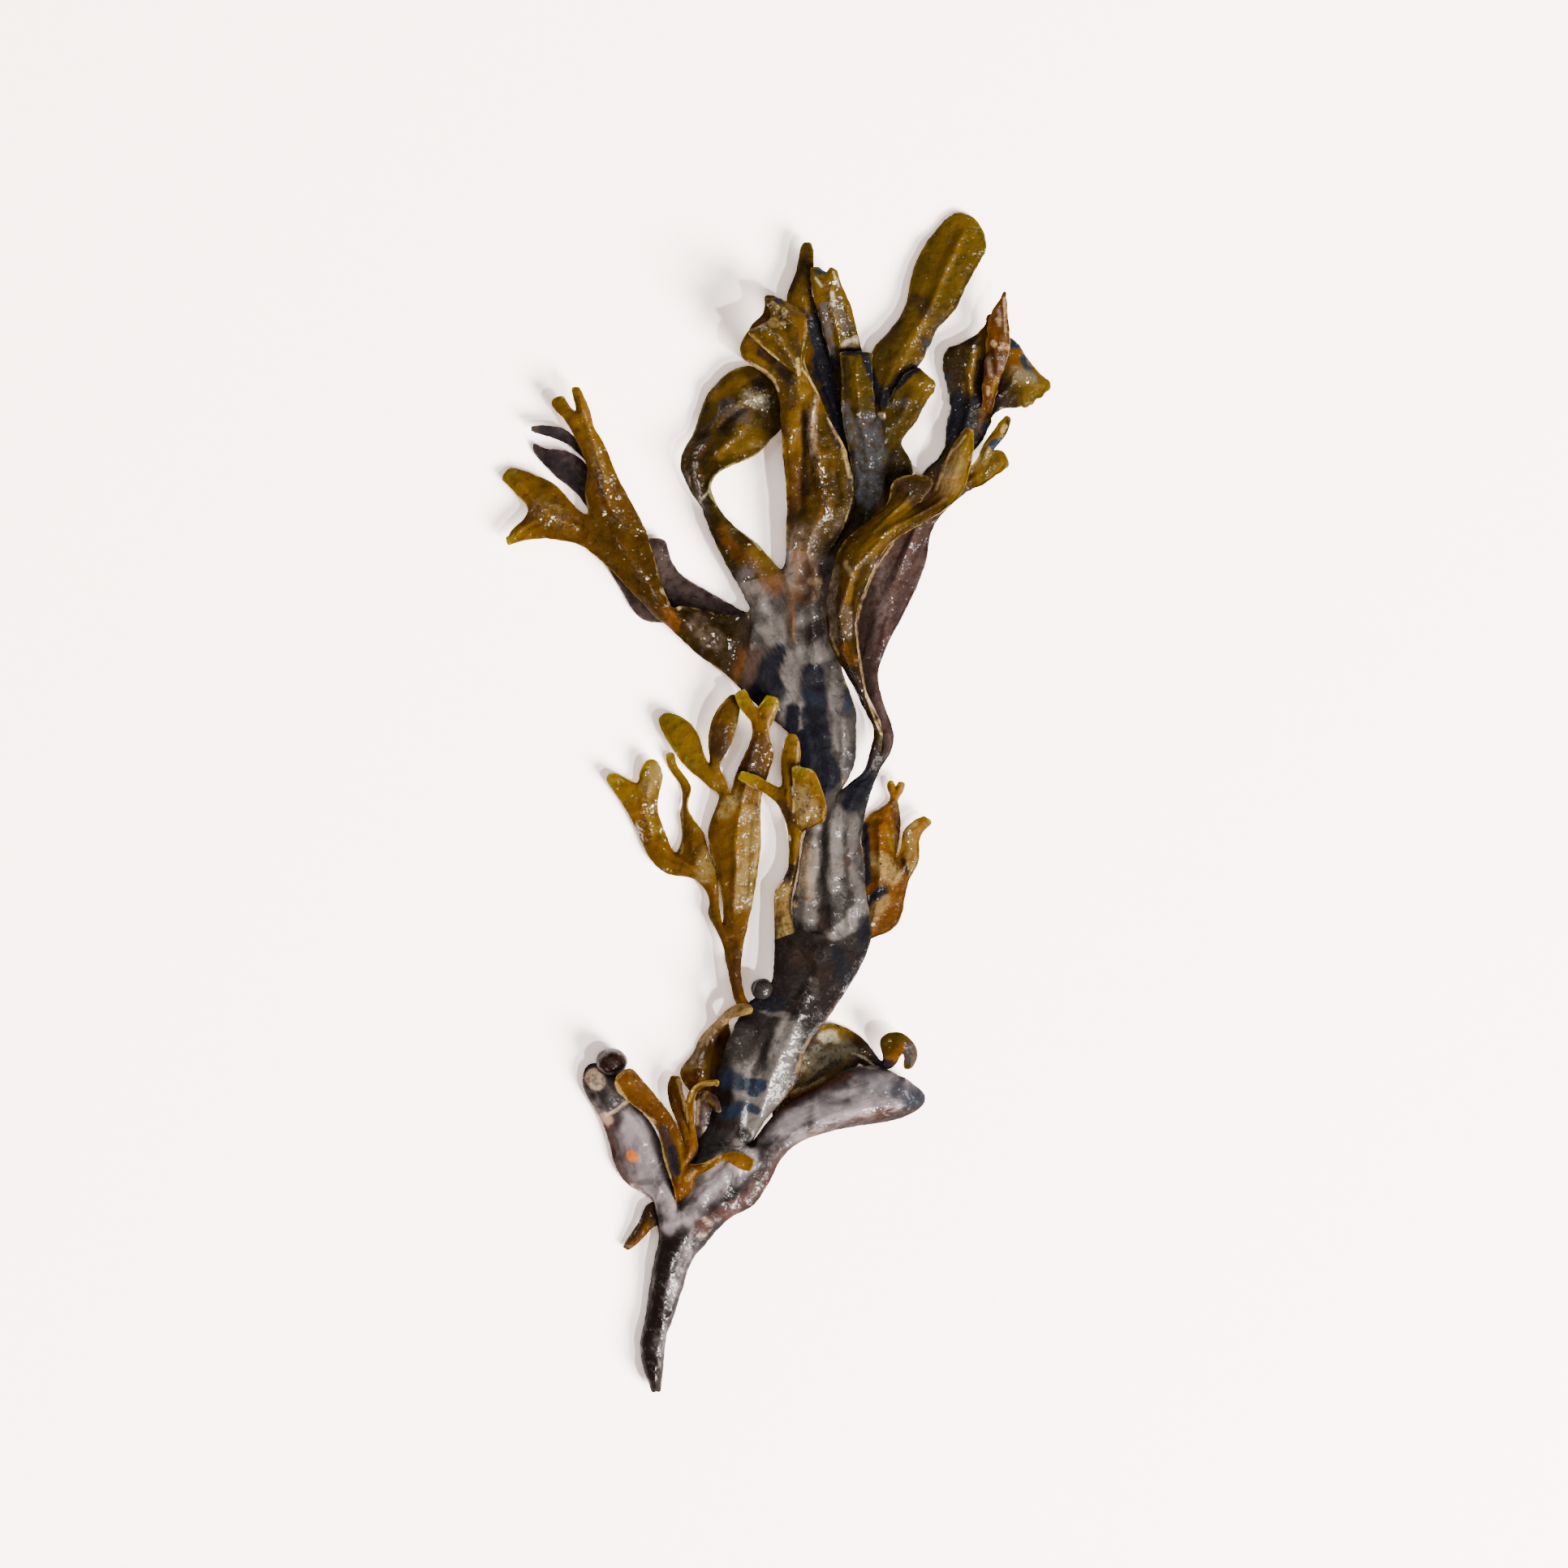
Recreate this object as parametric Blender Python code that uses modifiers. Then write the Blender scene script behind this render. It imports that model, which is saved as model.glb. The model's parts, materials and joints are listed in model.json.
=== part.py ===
# Bladderwrack: one flat branching seaweed, lying down, about 134 mm by 291 mm.
#
# It lies in the XY plane with its foot towards -Y, its top towards +Y and its upper face towards +Z.
# Each blade is a coarse cage two faces wide that follows the blade's own edges, is subdivided and
# is then given its thickness. Where a blade forks, the cage forks with it.

import bpy
from mathutils import Vector

MM = 0.001

# Driving sizes, in millimetres
PLAN_CENTRE = (-0.4, 0.2)      # middle of the whole outline, in the plan the rows are written in
SEAM = 0.5                     # gap left where one piece grows out of another
CROTCH_INSET = 0.6             # how far neighbours draw apart at the fork they share
FORK_RISE = 0.5                # how far the middle of a blade stands up where it forks
STALK_THICKNESS = 4.4
STUB_THICKNESS = 3.4
STRAP_THICKNESS = 2.2
FROND_THICKNESS = 1.5
LEAF_THICKNESS = 1.2
BLADDER_RADIUS = 3.7
BLADDER_CENTRE = (-41.4, -63.8, 3.7)
NUB_RADIUS = 2.6
NUB_CENTRE = (-4.2, -45.5, 6.7)
FLOOR_CUTTER_SIZE = 400.0
SPHERE_SEGMENTS = 12
SPHERE_RINGS = 7
WET_ROUGHNESS = 0.35

# Colours of the fresh wet plant: red, green, blue, in linear light
DARK_STALK = (0.045, 0.035, 0.045)
GREY_STRAP = (0.12, 0.10, 0.11)
GOLD = (0.20, 0.11, 0.012)
BROWN = (0.16, 0.075, 0.02)
OLIVE = (0.11, 0.08, 0.01)
SMOKE = (0.13, 0.10, 0.09)
COPPER = (0.35, 0.13, 0.06)

# Every blade, from its base to its tip. A row is the left edge (x, y, z), the right edge (x, y, z)
# and how far the middle stands above the line between them. A last row may add how far its middle
# reaches ahead, which rounds the tip. A fork gives the left edge, the crotch and the right edge.
BLADES = {
    # Foot of the plant
    "stalk": {
        "node": "stipe",
        "rows": [
            (-31.2, -144.6, 2.3, -29.4, -144.6, 2.3, 0.2),
            (-32.5, -141.0, 2.2, -28.9, -141.3, 2.2, 0.4),
            (-33.9, -136.5, 1.8, -28.5, -137.0, 1.8, 0.5),
            (-33.9, -131.5, 1.6, -28.0, -131.5, 1.6, 0.4),
            (-32.8, -126.0, 1.6, -26.0, -126.0, 1.6, 0.4),
            (-31.9, -119.5, 1.7, -23.9, -119.5, 1.7, 0.5),
            (-30.6, -112.5, 2.5, -21.6, -112.5, 2.5, 0.7),
            (-29.6, -107.5, 3.0, -18.0, -108.0, 3.0, 0.8)],
        "fork": ((-30.0, -102.5, 3.2), (-24.6, -99.3, 3.6), (-12.6, -102.0, 3.6)),
        "children": ("stub_left", "body")},
    "body": {
        "node": "stipe",
        "rows": [
            (-24.0, -95.0, 3.8, -6.9, -99.2, 3.8, 0.9),
            (-20.6, -91.0, 4.0, -3.2, -94.2, 4.0, 0.9),
            (-18.2, -87.6, 4.2, -0.7, -89.6, 4.2, 0.9)],
        "fork": ((-16.8, -84.0, 4.6), (-6.8, -83.4, 4.8), (1.8, -85.6, 4.4)),
        "children": ("strap_low", "stub_right")},
    "stub_left": {
        "node": "lower_left_branch",
        "rows": [
            (-31.2, -97.2, 2.6, -25.8, -94.8, 2.8, 0.5),
            (-36.0, -94.8, 2.0, -26.8, -91.0, 2.2, 0.6),
            (-39.8, -90.2, 1.4, -28.2, -86.8, 1.6, 0.7),
            (-41.6, -84.2, 1.3, -29.8, -82.0, 1.4, 0.8),
            (-43.4, -78.6, 1.4, -32.4, -77.6, 1.4, 0.8),
            (-46.4, -73.6, 2.0, -36.6, -73.2, 2.0, 0.8),
            (-48.4, -68.5, 2.2, -39.6, -68.5, 2.2, 0.8),
            (-46.9, -64.2, 2.6, -40.6, -65.6, 2.6, 0.5, 0.8)]},
    "stub_right": {
        "node": "lower_right_branch",
        "rows": [
            (-3.2, -78.6, 5.4, 6.4, -82.4, 5.0, 1.4),
            (1.4, -74.2, 6.0, 12.4, -80.5, 5.4, 1.8),
            (7.4, -70.8, 6.4, 18.6, -79.0, 5.6, 2.0),
            (13.4, -67.3, 6.4, 24.4, -78.2, 5.2, 2.2),
            (19.2, -64.7, 6.0, 30.4, -77.0, 4.6, 2.2),
            (25.8, -65.2, 5.2, 34.6, -74.6, 4.0, 1.6),
            (30.4, -68.0, 4.6, 35.6, -71.6, 4.0, 0.8, 0.6)]},
    "spur": {
        "node": "spur",
        "rows": [
            (-30.8, -104.0, 3.0, -32.8, -98.9, 2.8, 0.4),
            (-33.4, -106.9, 2.2, -34.0, -102.4, 2.4, 0.5),
            (-36.9, -109.8, 1.0, -38.1, -108.4, 1.2, 0.2, 0.5)]},
    "shoot_tuft": {
        "node": "young_shoots",
        "rows": [
            (-25.6, -95.2, 5.6, -21.0, -92.6, 6.5, 0.4)],
        "fork": ((-27.0, -90.6, 5.4), (-21.8, -88.6, 7.2), (-19.6, -90.8, 7.6)),
        "children": ("shoot_stem", "shoot_band")},
    "shoot_band": {
        "node": "young_shoots",
        "rows": [
            (-17.6, -87.8, 8.8, -17.0, -89.5, 8.8, 0.1),
            (-14.0, -86.0, 9.0, -13.4, -87.3, 9.0, 0.1),
            (-10.4, -85.5, 9.2, -11.2, -88.6, 9.2, 0.3),
            (-6.4, -87.0, 9.0, -7.4, -89.9, 9.0, 0.2, 0.4)]},
    "shoot_stem": {
        "node": "young_shoots",
        "rows": [],
        "fork": ((-28.4, -86.0, 5.2), (-23.2, -84.4, 6.6), (-20.2, -85.0, 6.6)),
        "children": ("shoot_gold", "shoot_pair")},
    "shoot_gold": {
        "node": "young_shoots",
        "rows": [
            (-29.4, -81.0, 5.4, -25.2, -78.8, 6.4, 0.3),
            (-32.4, -76.4, 6.0, -27.6, -75.2, 6.6, 0.4),
            (-37.0, -73.0, 6.4, -31.0, -70.6, 7.0, 0.4),
            (-40.3, -69.4, 7.2, -34.0, -67.2, 7.6, 0.4),
            (-39.6, -66.6, 8.0, -36.0, -65.0, 8.0, 0.3, 0.5)]},
    "shoot_pair": {
        "node": "young_shoots",
        "rows": [],
        "fork": ((-24.0, -80.6, 6.2), (-22.2, -79.6, 6.2), (-20.8, -80.8, 6.4)),
        "children": ("shoot_fringed", "shoot_curl")},
    "shoot_fringed": {
        "node": "young_shoots",
        "rows": [
            (-25.1, -77.8, 5.2, -22.7, -77.6, 5.6, 0.2),
            (-26.8, -73.6, 4.2, -22.9, -74.6, 4.6, 0.4),
            (-27.4, -69.8, 3.4, -23.6, -71.4, 3.8, 0.3),
            (-26.4, -67.4, 2.6, -24.4, -67.8, 2.8, 0.2, 0.4)]},
    "shoot_curl": {
        "node": "young_shoots",
        "rows": [
            (-22.6, -75.2, 6.8, -21.2, -75.2, 7.0, 0.1),
            (-21.9, -71.0, 7.8, -20.6, -71.6, 8.0, 0.1),
            (-19.0, -68.2, 8.6, -18.6, -69.4, 8.8, 0.1),
            (-15.0, -67.8, 9.6, -15.0, -69.0, 9.6, 0.1, 0.2)]},
    "curled_leaflet": {
        "node": "curled_leaflet",
        "rows": [
            (-19.0, -83.6, 4.6, -17.2, -82.4, 4.6, 0.2),
            (-20.2, -77.6, 5.4, -17.3, -78.2, 5.4, 0.5),
            (-19.8, -72.6, 6.6, -16.6, -74.4, 6.8, 0.9),
            (-17.6, -70.6, 8.2, -16.0, -74.6, 8.8, 0.9),
            (-15.2, -72.6, 9.4, -14.4, -75.6, 9.6, 0.5, 0.4)]},
    "leaf_low_left": {
        "node": "lower_left_leaf",
        "rows": [
            (-21.4, -71.4, 1.8, -11.5, -70.4, 3.7, 0.3),
            (-24.4, -66.4, 1.0, -12.0, -65.4, 3.2, 0.4),
            (-21.2, -62.0, 0.5, -11.8, -61.2, 2.6, 0.6),
            (-19.2, -57.8, 0.5, -11.8, -57.4, 2.6, 0.8),
            (-16.4, -54.4, 2.4, -12.2, -55.0, 4.0, 0.9),
            (-13.0, -51.2, 7.2, -12.0, -52.8, 8.2, 0.4),
            (-9.0, -49.0, 9.8, -8.6, -51.8, 10.6, 0.4),
            (-6.8, -49.6, 10.4, -6.9, -51.3, 10.6, 0.2, 0.4)]},
    "leaf_low_right": {
        "node": "lower_right_leaf",
        "rows": [
            (4.0, -61.0, 4.5, 1.8, -72.2, 3.4, 0.2),
            (9.6, -55.2, 1.4, 8.8, -71.2, 2.4, -0.6),
            (14.0, -54.4, 0.5, 14.2, -68.6, 2.4, -0.8),
            (18.6, -56.4, 0.5, 18.8, -65.2, 2.2, -0.3),
            (22.0, -59.4, 1.4, 20.0, -64.2, 2.2, 0.4),
            (24.8, -63.2, 2.4, 23.8, -65.6, 2.4, 0.3),
            (25.8, -62.0, 4.4, 28.2, -64.4, 3.8, 0.2),
            (25.0, -57.6, 6.6, 29.6, -62.2, 5.4, 0.5),
            (30.0, -56.2, 7.6, 30.4, -61.4, 6.6, 0.5),
            (33.8, -60.4, 6.2, 30.6, -62.6, 5.8, 0.4),
            (32.8, -64.2, 4.2, 30.8, -64.8, 4.2, 0.2, 0.4)]},

    # Main strap
    "strap_low": {
        "node": "strap_lower",
        "rows": [
            (-16.2, -79.3, 4.7, -4.7, -79.6, 5.2, 1.6),
            (-15.8, -74.0, 5.0, -1.6, -75.2, 5.8, 2.2),
            (-15.2, -68.5, 5.6, 2.4, -70.6, 6.2, 2.4),
            (-14.0, -63.0, 6.2, 5.2, -65.6, 6.4, 2.2),
            (-12.2, -57.6, 6.6, 6.0, -60.4, 6.6, 1.8),
            (-9.9, -52.6, 6.8, 9.8, -55.4, 6.8, 1.2),
            (-7.0, -48.4, 6.8, 14.4, -49.0, 6.8, 0.8),
            (-2.2, -44.8, 6.6, 17.6, -44.0, 6.6, 0.7),
            (-1.3, -39.0, 6.4, 20.8, -38.0, 6.4, 0.7)],
        "fork": ((-1.0, -33.6, 6.2), (4.0, -30.8, 6.2), (22.6, -32.2, 6.2)),
        "children": ("centre_stem", "strap_mid")},
    "strap_mid": {
        "node": "strap_middle",
        "rows": [
            (3.2, -25.5, 6.0, 22.2, -27.0, 6.0, 1.1),
            (4.5, -20.0, 5.8, 21.0, -21.0, 5.8, 1.2),
            (5.3, -14.6, 5.6, 20.8, -15.0, 5.6, 1.2),
            (6.1, -9.0, 5.4, 19.8, -8.8, 5.4, 1.1)],
        "fork": ((7.6, -1.0, 5.2), (14.9, 3.0, 5.0), (22.2, 1.6, 5.0)),
        "children": ("strap_up", "arm")},
    "strap_up": {
        "node": "strap_upper",
        "rows": [
            (6.6, 5.0, 5.0, 17.6, 7.2, 4.8, 0.7),
            (4.8, 11.4, 4.8, 18.8, 13.0, 4.6, 0.8),
            (3.0, 16.8, 4.6, 18.7, 18.8, 4.6, 0.9),
            (-2.6, 21.6, 4.6, 18.4, 24.6, 4.6, 0.9)],
        "fork": ((-9.8, 28.6, 4.8), (-7.4, 47.4, 4.8), (14.8, 35.0, 4.6)),
        "children": ("left_strap", "junction")},
    "junction": {
        "node": "strap_upper",
        "rows": [
            (-8.2, 50.2, 4.9, 15.8, 42.6, 4.6, 0.7)],
        "fork": ((-10.2, 54.0, 5.0), (0.4, 57.4, 5.0), (18.8, 50.0, 4.6)),
        "children": ("upper_left", "crown_root")},
    "crown_root": {
        "node": "strap_upper",
        "rows": [],
        "fork": ((1.7, 62.4, 5.8), (12.0, 62.0, 5.2), (21.4, 57.4, 4.6)),
        "children": ("central", "wide")},

    # Right-hand frond
    "arm": {
        "node": "right_arm",
        "rows": [
            (18.4, 5.9, 5.2, 23.9, 6.6, 4.6, 0.4),
            (21.2, 8.6, 5.6, 25.1, 9.6, 4.4, 0.3)],
        "fork": ((22.5, 13.8, 6.4), (24.7, 12.6, 5.4), (27.0, 12.6, 4.0)),
        "children": ("front_ribbon", "back_frond")},
    "front_ribbon": {
        "node": "right_front_ribbon",
        "rows": [
            (23.4, 17.2, 7.4, 25.2, 16.8, 7.6, 0.0),
            (22.4, 21.4, 7.9, 24.1, 21.2, 9.6, 0.2),
            (20.1, 26.0, 8.4, 21.9, 25.6, 11.0, 0.5),
            (17.3, 31.0, 8.8, 20.1, 31.4, 11.8, 0.8),
            (14.1, 36.6, 8.8, 19.2, 37.6, 11.8, 1.0),
            (11.9, 42.6, 8.8, 18.8, 42.8, 11.6, 1.2),
            (11.9, 49.2, 8.8, 19.6, 48.8, 11.4, 1.2),
            (13.3, 56.4, 8.8, 22.8, 56.2, 11.0, 1.2),
            (15.6, 63.2, 8.6, 27.4, 63.8, 10.4, 1.0)],
        "fork": ((21.4, 69.0, 8.6), (34.6, 73.6, 8.4), (37.4, 70.0, 9.6)),
        "children": ("fan", "leaf_front")},
    "fan": {
        "node": "right_front_ribbon",
        "rows": [
            (26.8, 73.6, 8.6, 36.6, 76.6, 8.0, 0.5),
            (27.6, 78.6, 8.4, 37.4, 79.8, 7.6, 0.4, 1.4)]},
    "leaf_front": {
        "node": "right_front_ribbon",
        "rows": [
            (38.2, 76.0, 8.6, 43.8, 75.0, 10.0, 0.6),
            (39.2, 80.4, 8.8, 46.2, 80.2, 10.4, 0.7),
            (42.2, 86.2, 9.0, 47.4, 85.8, 10.4, 0.6),
            (45.3, 91.0, 9.2, 47.4, 90.8, 10.0, 0.3, 0.8)]},
    "back_frond": {
        "node": "right_back_frond",
        "rows": [
            (25.1, 16.4, 5.0, 27.8, 16.4, 3.6, 0.2),
            (23.7, 21.2, 4.2, 26.4, 21.4, 2.8, 0.2),
            (21.8, 26.2, 3.4, 25.0, 26.6, 2.2, 0.3),
            (19.8, 32.6, 2.2, 24.4, 32.4, 1.6, 0.3),
            (19.0, 39.4, 1.6, 26.7, 39.2, 1.2, 0.3),
            (19.2, 46.4, 1.2, 30.4, 46.2, 0.7, 0.2),
            (20.6, 53.4, 1.2, 33.8, 53.2, 0.6, 0.2),
            (24.2, 60.4, 1.2, 36.4, 60.4, 0.6, 0.2),
            (29.4, 67.0, 1.4, 37.4, 67.0, 1.0, 0.3),
            (33.2, 73.4, 1.6, 41.6, 72.8, 1.2, 0.4)],
        "fork": ((34.8, 80.4, 2.2), (44.6, 81.2, 2.2), (46.6, 77.0, 2.0)),
        "children": ("cluster", "leaf_right")},
    "leaf_right": {
        "node": "right_leaf",
        "rows": [
            (48.2, 84.0, 3.8, 50.4, 78.6, 3.2, 0.4)],
        "fork": ((49.8, 87.0, 4.0), (52.2, 86.8, 4.2), (53.2, 80.8, 3.6)),
        "children": ("leaf_right_finger", "leaf_right_lobe")},
    "leaf_right_finger": {
        "node": "right_leaf",
        "rows": [
            (52.6, 91.6, 4.8, 55.6, 90.6, 4.8, 0.3),
            (55.4, 95.0, 5.6, 56.8, 94.2, 5.6, 0.2, 0.5)]},
    "leaf_right_lobe": {
        "node": "right_leaf",
        "rows": [
            (54.6, 86.8, 4.2, 56.2, 83.0, 3.8, 0.3, 0.5)]},
    "cluster": {
        "node": "right_cluster",
        "rows": [
            (39.6, 85.4, 2.6, 48.6, 87.8, 1.8, 0.4),
            (40.7, 90.4, 2.8, 51.6, 92.0, 2.0, 0.6),
            (41.9, 96.6, 2.8, 53.0, 96.4, 2.4, 0.6)],
        "fork": ((41.2, 101.6, 3.0), (52.2, 104.6, 2.4), (58.4, 97.6, 2.2)),
        "children": ("dark_blade", "gold_lobe")},
    "dark_blade": {
        "node": "right_cluster",
        "rows": [
            (40.2, 107.2, 3.2, 51.6, 109.2, 2.8, 0.6),
            (41.4, 111.6, 3.4, 52.2, 113.4, 3.0, 0.6),
            (47.6, 114.0, 3.4, 53.2, 117.0, 3.2, 0.4),
            (51.6, 119.8, 3.4, 53.4, 119.6, 3.4, 0.1, 0.6)]},
    "gold_lobe": {
        "node": "right_cluster",
        "rows": [
            (56.0, 114.6, 2.0, 60.6, 97.6, 2.0, 0.5),
            (60.4, 110.2, 2.0, 64.2, 100.0, 2.0, 0.4),
            (64.6, 105.0, 1.8, 66.8, 102.6, 1.8, 0.2, 0.5)]},
    "copper": {
        "node": "copper_strip",
        "rows": [
            (50.6, 99.0, 4.8, 52.8, 98.6, 4.8, 0.3),
            (50.8, 105.5, 5.2, 54.6, 105.5, 5.2, 0.5),
            (51.4, 112.0, 5.6, 56.2, 112.4, 5.6, 0.5),
            (52.8, 118.0, 6.0, 56.2, 117.6, 6.0, 0.4),
            (54.8, 124.8, 6.4, 55.7, 124.8, 6.4, 0.1, 0.6)]},

    # Left-hand frond
    "left_strap": {
        "node": "left_branch",
        "rows": [
            (-13.6, 32.2, 5.0, -12.2, 46.2, 5.0, 0.6),
            (-18.0, 35.2, 5.2, -17.8, 47.2, 5.2, 0.7),
            (-22.4, 38.8, 5.4, -22.0, 48.2, 5.4, 0.8),
            (-25.8, 42.6, 5.2, -24.8, 48.4, 6.4, 0.7),
            (-28.4, 44.6, 5.0, -26.4, 48.4, 7.2, 0.4),
            (-32.0, 47.8, 5.0, -28.0, 51.8, 7.0, 0.6),
            (-36.2, 52.2, 4.8, -29.8, 56.6, 6.6, 0.9),
            (-40.8, 57.0, 4.6, -31.0, 61.2, 6.0, 1.0)],
        "fork": ((-47.4, 62.8, 4.4), (-46.7, 71.2, 4.4), (-33.8, 69.4, 5.0)),
        "children": ("west", "fingers")},
    "west": {
        "node": "left_west_blade",
        "rows": [
            (-52.8, 64.5, 4.2, -50.2, 72.8, 3.8, 0.6),
            (-57.6, 65.2, 3.8, -54.4, 77.8, 3.0, 0.8)],
        "fork": ((-62.8, 64.7, 3.2), (-61.4, 71.8, 2.8), (-59.8, 80.6, 2.0)),
        "children": ("west_low", "west_high")},
    "west_low": {
        "node": "left_west_blade",
        "rows": [
            (-65.8, 63.7, 3.0, -64.6, 68.4, 2.8, 0.3),
            (-66.8, 63.8, 3.0, -66.8, 65.2, 3.0, 0.1, 0.2)]},
    "west_high": {
        "node": "left_west_blade",
        "rows": [
            (-64.6, 76.2, 2.2, -63.4, 81.9, 1.2, 0.4),
            (-67.6, 79.6, 1.0, -66.0, 82.3, 0.6, 0.2, 0.5)]},
    "fingers": {
        "node": "left_fingers",
        "rows": [
            (-47.8, 76.6, 4.6, -37.0, 75.2, 5.4, 0.8),
            (-46.8, 82.6, 4.8, -40.2, 81.4, 5.6, 0.8),
            (-49.2, 88.0, 5.0, -43.1, 88.4, 5.6, 0.7),
            (-51.0, 91.6, 5.2, -45.5, 92.4, 5.4, 0.5)],
        "fork": ((-53.0, 94.8, 5.0), (-50.0, 96.4, 5.2), (-46.4, 96.0, 5.2)),
        "children": ("finger_left", "finger_right")},
    "finger_left": {
        "node": "left_fingers",
        "rows": [
            (-55.4, 97.3, 4.6, -52.0, 98.2, 4.6, 0.2),
            (-55.8, 99.0, 4.4, -53.0, 100.2, 4.4, 0.2, 0.4)]},
    "finger_right": {
        "node": "left_fingers",
        "rows": [
            (-50.3, 99.2, 5.0, -47.6, 98.8, 5.0, 0.2),
            (-51.0, 102.0, 4.6, -48.8, 101.6, 4.6, 0.2, 0.6)]},
    "grey_back": {
        "node": "back_left_frond",
        "rows": [
            (-13.0, 42.5, 2.5, -9.0, 47.4, 2.8, 0.1),
            (-21.0, 43.5, 1.4, -17.0, 52.0, 1.6, 0.3),
            (-29.0, 44.6, 0.6, -23.2, 55.6, 1.0, 0.4),
            (-34.6, 45.9, 0.5, -27.0, 60.6, 1.2, 0.4),
            (-38.2, 51.8, 0.5, -28.4, 65.2, 2.0, 0.4),
            (-42.2, 58.0, 0.6, -33.6, 65.0, 1.2, 0.4),
            (-44.2, 65.0, 1.0, -37.0, 69.6, 1.2, 0.4)],
        "fork": ((-46.4, 71.6, 1.2), (-44.6, 79.6, 1.4), (-40.0, 78.4, 1.4)),
        "children": ("dark_leaf_low", "dark_leaf_high")},
    "dark_leaf_low": {
        "node": "back_left_frond",
        "rows": [
            (-49.8, 76.4, 1.4, -48.6, 84.8, 1.8, 0.5),
            (-53.6, 79.6, 1.2, -54.0, 87.0, 2.0, 0.5),
            (-58.2, 84.0, 0.8, -57.8, 87.4, 1.6, 0.3),
            (-60.2, 86.8, 0.5, -60.2, 88.8, 0.8, 0.1, 0.4)]},
    "dark_leaf_high": {
        "node": "back_left_frond",
        "rows": [
            (-47.4, 84.2, 2.0, -44.6, 84.2, 2.0, 0.2),
            (-50.9, 87.4, 2.6, -48.8, 88.4, 2.8, 0.1),
            (-54.4, 89.6, 2.8, -53.2, 92.4, 3.0, 0.2),
            (-60.4, 91.4, 2.6, -60.2, 92.9, 2.8, 0.1, 0.5)]},

    # Crown
    "upper_left": {
        "node": "upper_left_frond",
        "rows": [
            (-12.6, 58.0, 5.2, -4.0, 62.4, 5.2, 0.8),
            (-15.0, 62.8, 5.4, -8.2, 65.8, 5.6, 0.9),
            (-17.0, 67.8, 5.2, -12.2, 69.2, 6.6, 0.8),
            (-19.0, 72.6, 4.6, -15.4, 73.6, 7.6, 0.5),
            (-20.8, 76.4, 4.0, -16.6, 77.4, 8.0, 0.3),
            (-23.4, 81.0, 3.4, -15.2, 81.0, 7.4, 0.6),
            (-23.6, 85.6, 2.8, -10.4, 83.6, 6.0, 1.0),
            (-21.4, 90.4, 2.4, -5.4, 85.8, 5.0, 1.4),
            (-19.6, 95.6, 2.4, -2.6, 89.0, 4.4, 1.6),
            (-17.6, 100.6, 2.4, 0.6, 92.6, 4.0, 1.6),
            (-13.0, 105.2, 2.6, 2.0, 98.4, 3.6, 1.4),
            (-7.8, 107.4, 2.8, 2.2, 103.4, 3.4, 0.8, 0.8)]},
    "central": {
        "node": "central_frond",
        "rows": [
            (1.9, 68.6, 6.8, 15.6, 67.8, 6.8, 1.0),
            (2.0, 75.6, 7.6, 17.9, 75.6, 7.4, 1.2),
            (1.4, 82.4, 8.0, 17.4, 82.4, 7.8, 1.4),
            (0.8, 89.0, 8.6, 15.4, 88.6, 8.2, 1.4),
            (0.5, 94.6, 9.0, 12.0, 94.4, 8.2, 1.4),
            (-0.2, 100.0, 9.6, 9.8, 100.2, 9.0, 1.1),
            (-2.8, 105.0, 10.0, 7.2, 105.2, 9.6, 0.9),
            (-8.9, 109.2, 9.8, 6.0, 109.6, 9.8, 0.8),
            (-8.7, 113.8, 9.4, 6.6, 114.4, 9.4, 0.6),
            (-6.2, 117.6, 8.8, 6.6, 117.8, 8.8, 0.5),
            (-3.6, 120.6, 8.2, 5.4, 120.8, 8.2, 0.3),
            (-3.6, 124.2, 7.6, -0.6, 124.0, 7.6, 0.1, 0.4)]},
    "curl": {
        "node": "curled_tip",
        "rows": [
            (3.6, 106.0, 12.0, 5.6, 106.2, 11.8, 0.1),
            (-0.6, 109.0, 13.4, 6.2, 109.4, 12.2, 0.4),
            (-6.8, 114.4, 13.8, 6.7, 114.6, 12.0, 0.8),
            (-4.6, 118.6, 12.4, 5.8, 119.4, 11.2, 0.7),
            (-2.8, 123.2, 11.2, 1.8, 122.4, 11.0, 0.2, 0.4)]},
    "wide": {
        "node": "wide_frond",
        "rows": [
            (16.2, 68.6, 4.4, 26.0, 65.6, 4.6, 0.6),
            (18.2, 76.2, 4.4, 30.4, 74.4, 4.8, 0.7),
            (17.8, 82.6, 4.6, 32.8, 83.0, 5.0, 0.7)],
        "fork": ((16.6, 89.4, 5.2), (24.2, 92.6, 5.4), (29.8, 88.4, 5.2)),
        "children": ("wide_top", "lobe_root")},
    "wide_top": {
        "node": "wide_frond",
        "rows": [
            (15.4, 96.4, 5.6, 23.4, 98.2, 5.6, 0.5),
            (15.5, 103.6, 5.8, 22.8, 104.2, 5.6, 0.5),
            (15.5, 110.2, 5.8, 21.4, 110.4, 5.4, 0.3, 0.5)]},
    "lobe_root": {
        "node": "wide_frond",
        "rows": [],
        "fork": ((25.4, 97.4, 4.8), (27.4, 99.0, 4.8), (33.0, 92.6, 5.4)),
        "children": ("tall", "small")},
    "tall": {
        "node": "tall_lobe",
        "rows": [
            (22.9, 104.6, 3.4, 30.6, 103.6, 3.2, 0.4),
            (22.5, 110.8, 3.2, 35.2, 108.6, 3.0, 0.6),
            (28.2, 117.4, 2.8, 38.4, 116.2, 2.6, 0.8),
            (31.2, 123.2, 2.4, 43.2, 121.4, 2.4, 0.9),
            (32.8, 130.0, 1.8, 46.2, 128.0, 1.8, 0.9),
            (35.2, 136.4, 1.2, 50.2, 134.6, 1.2, 0.8),
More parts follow.
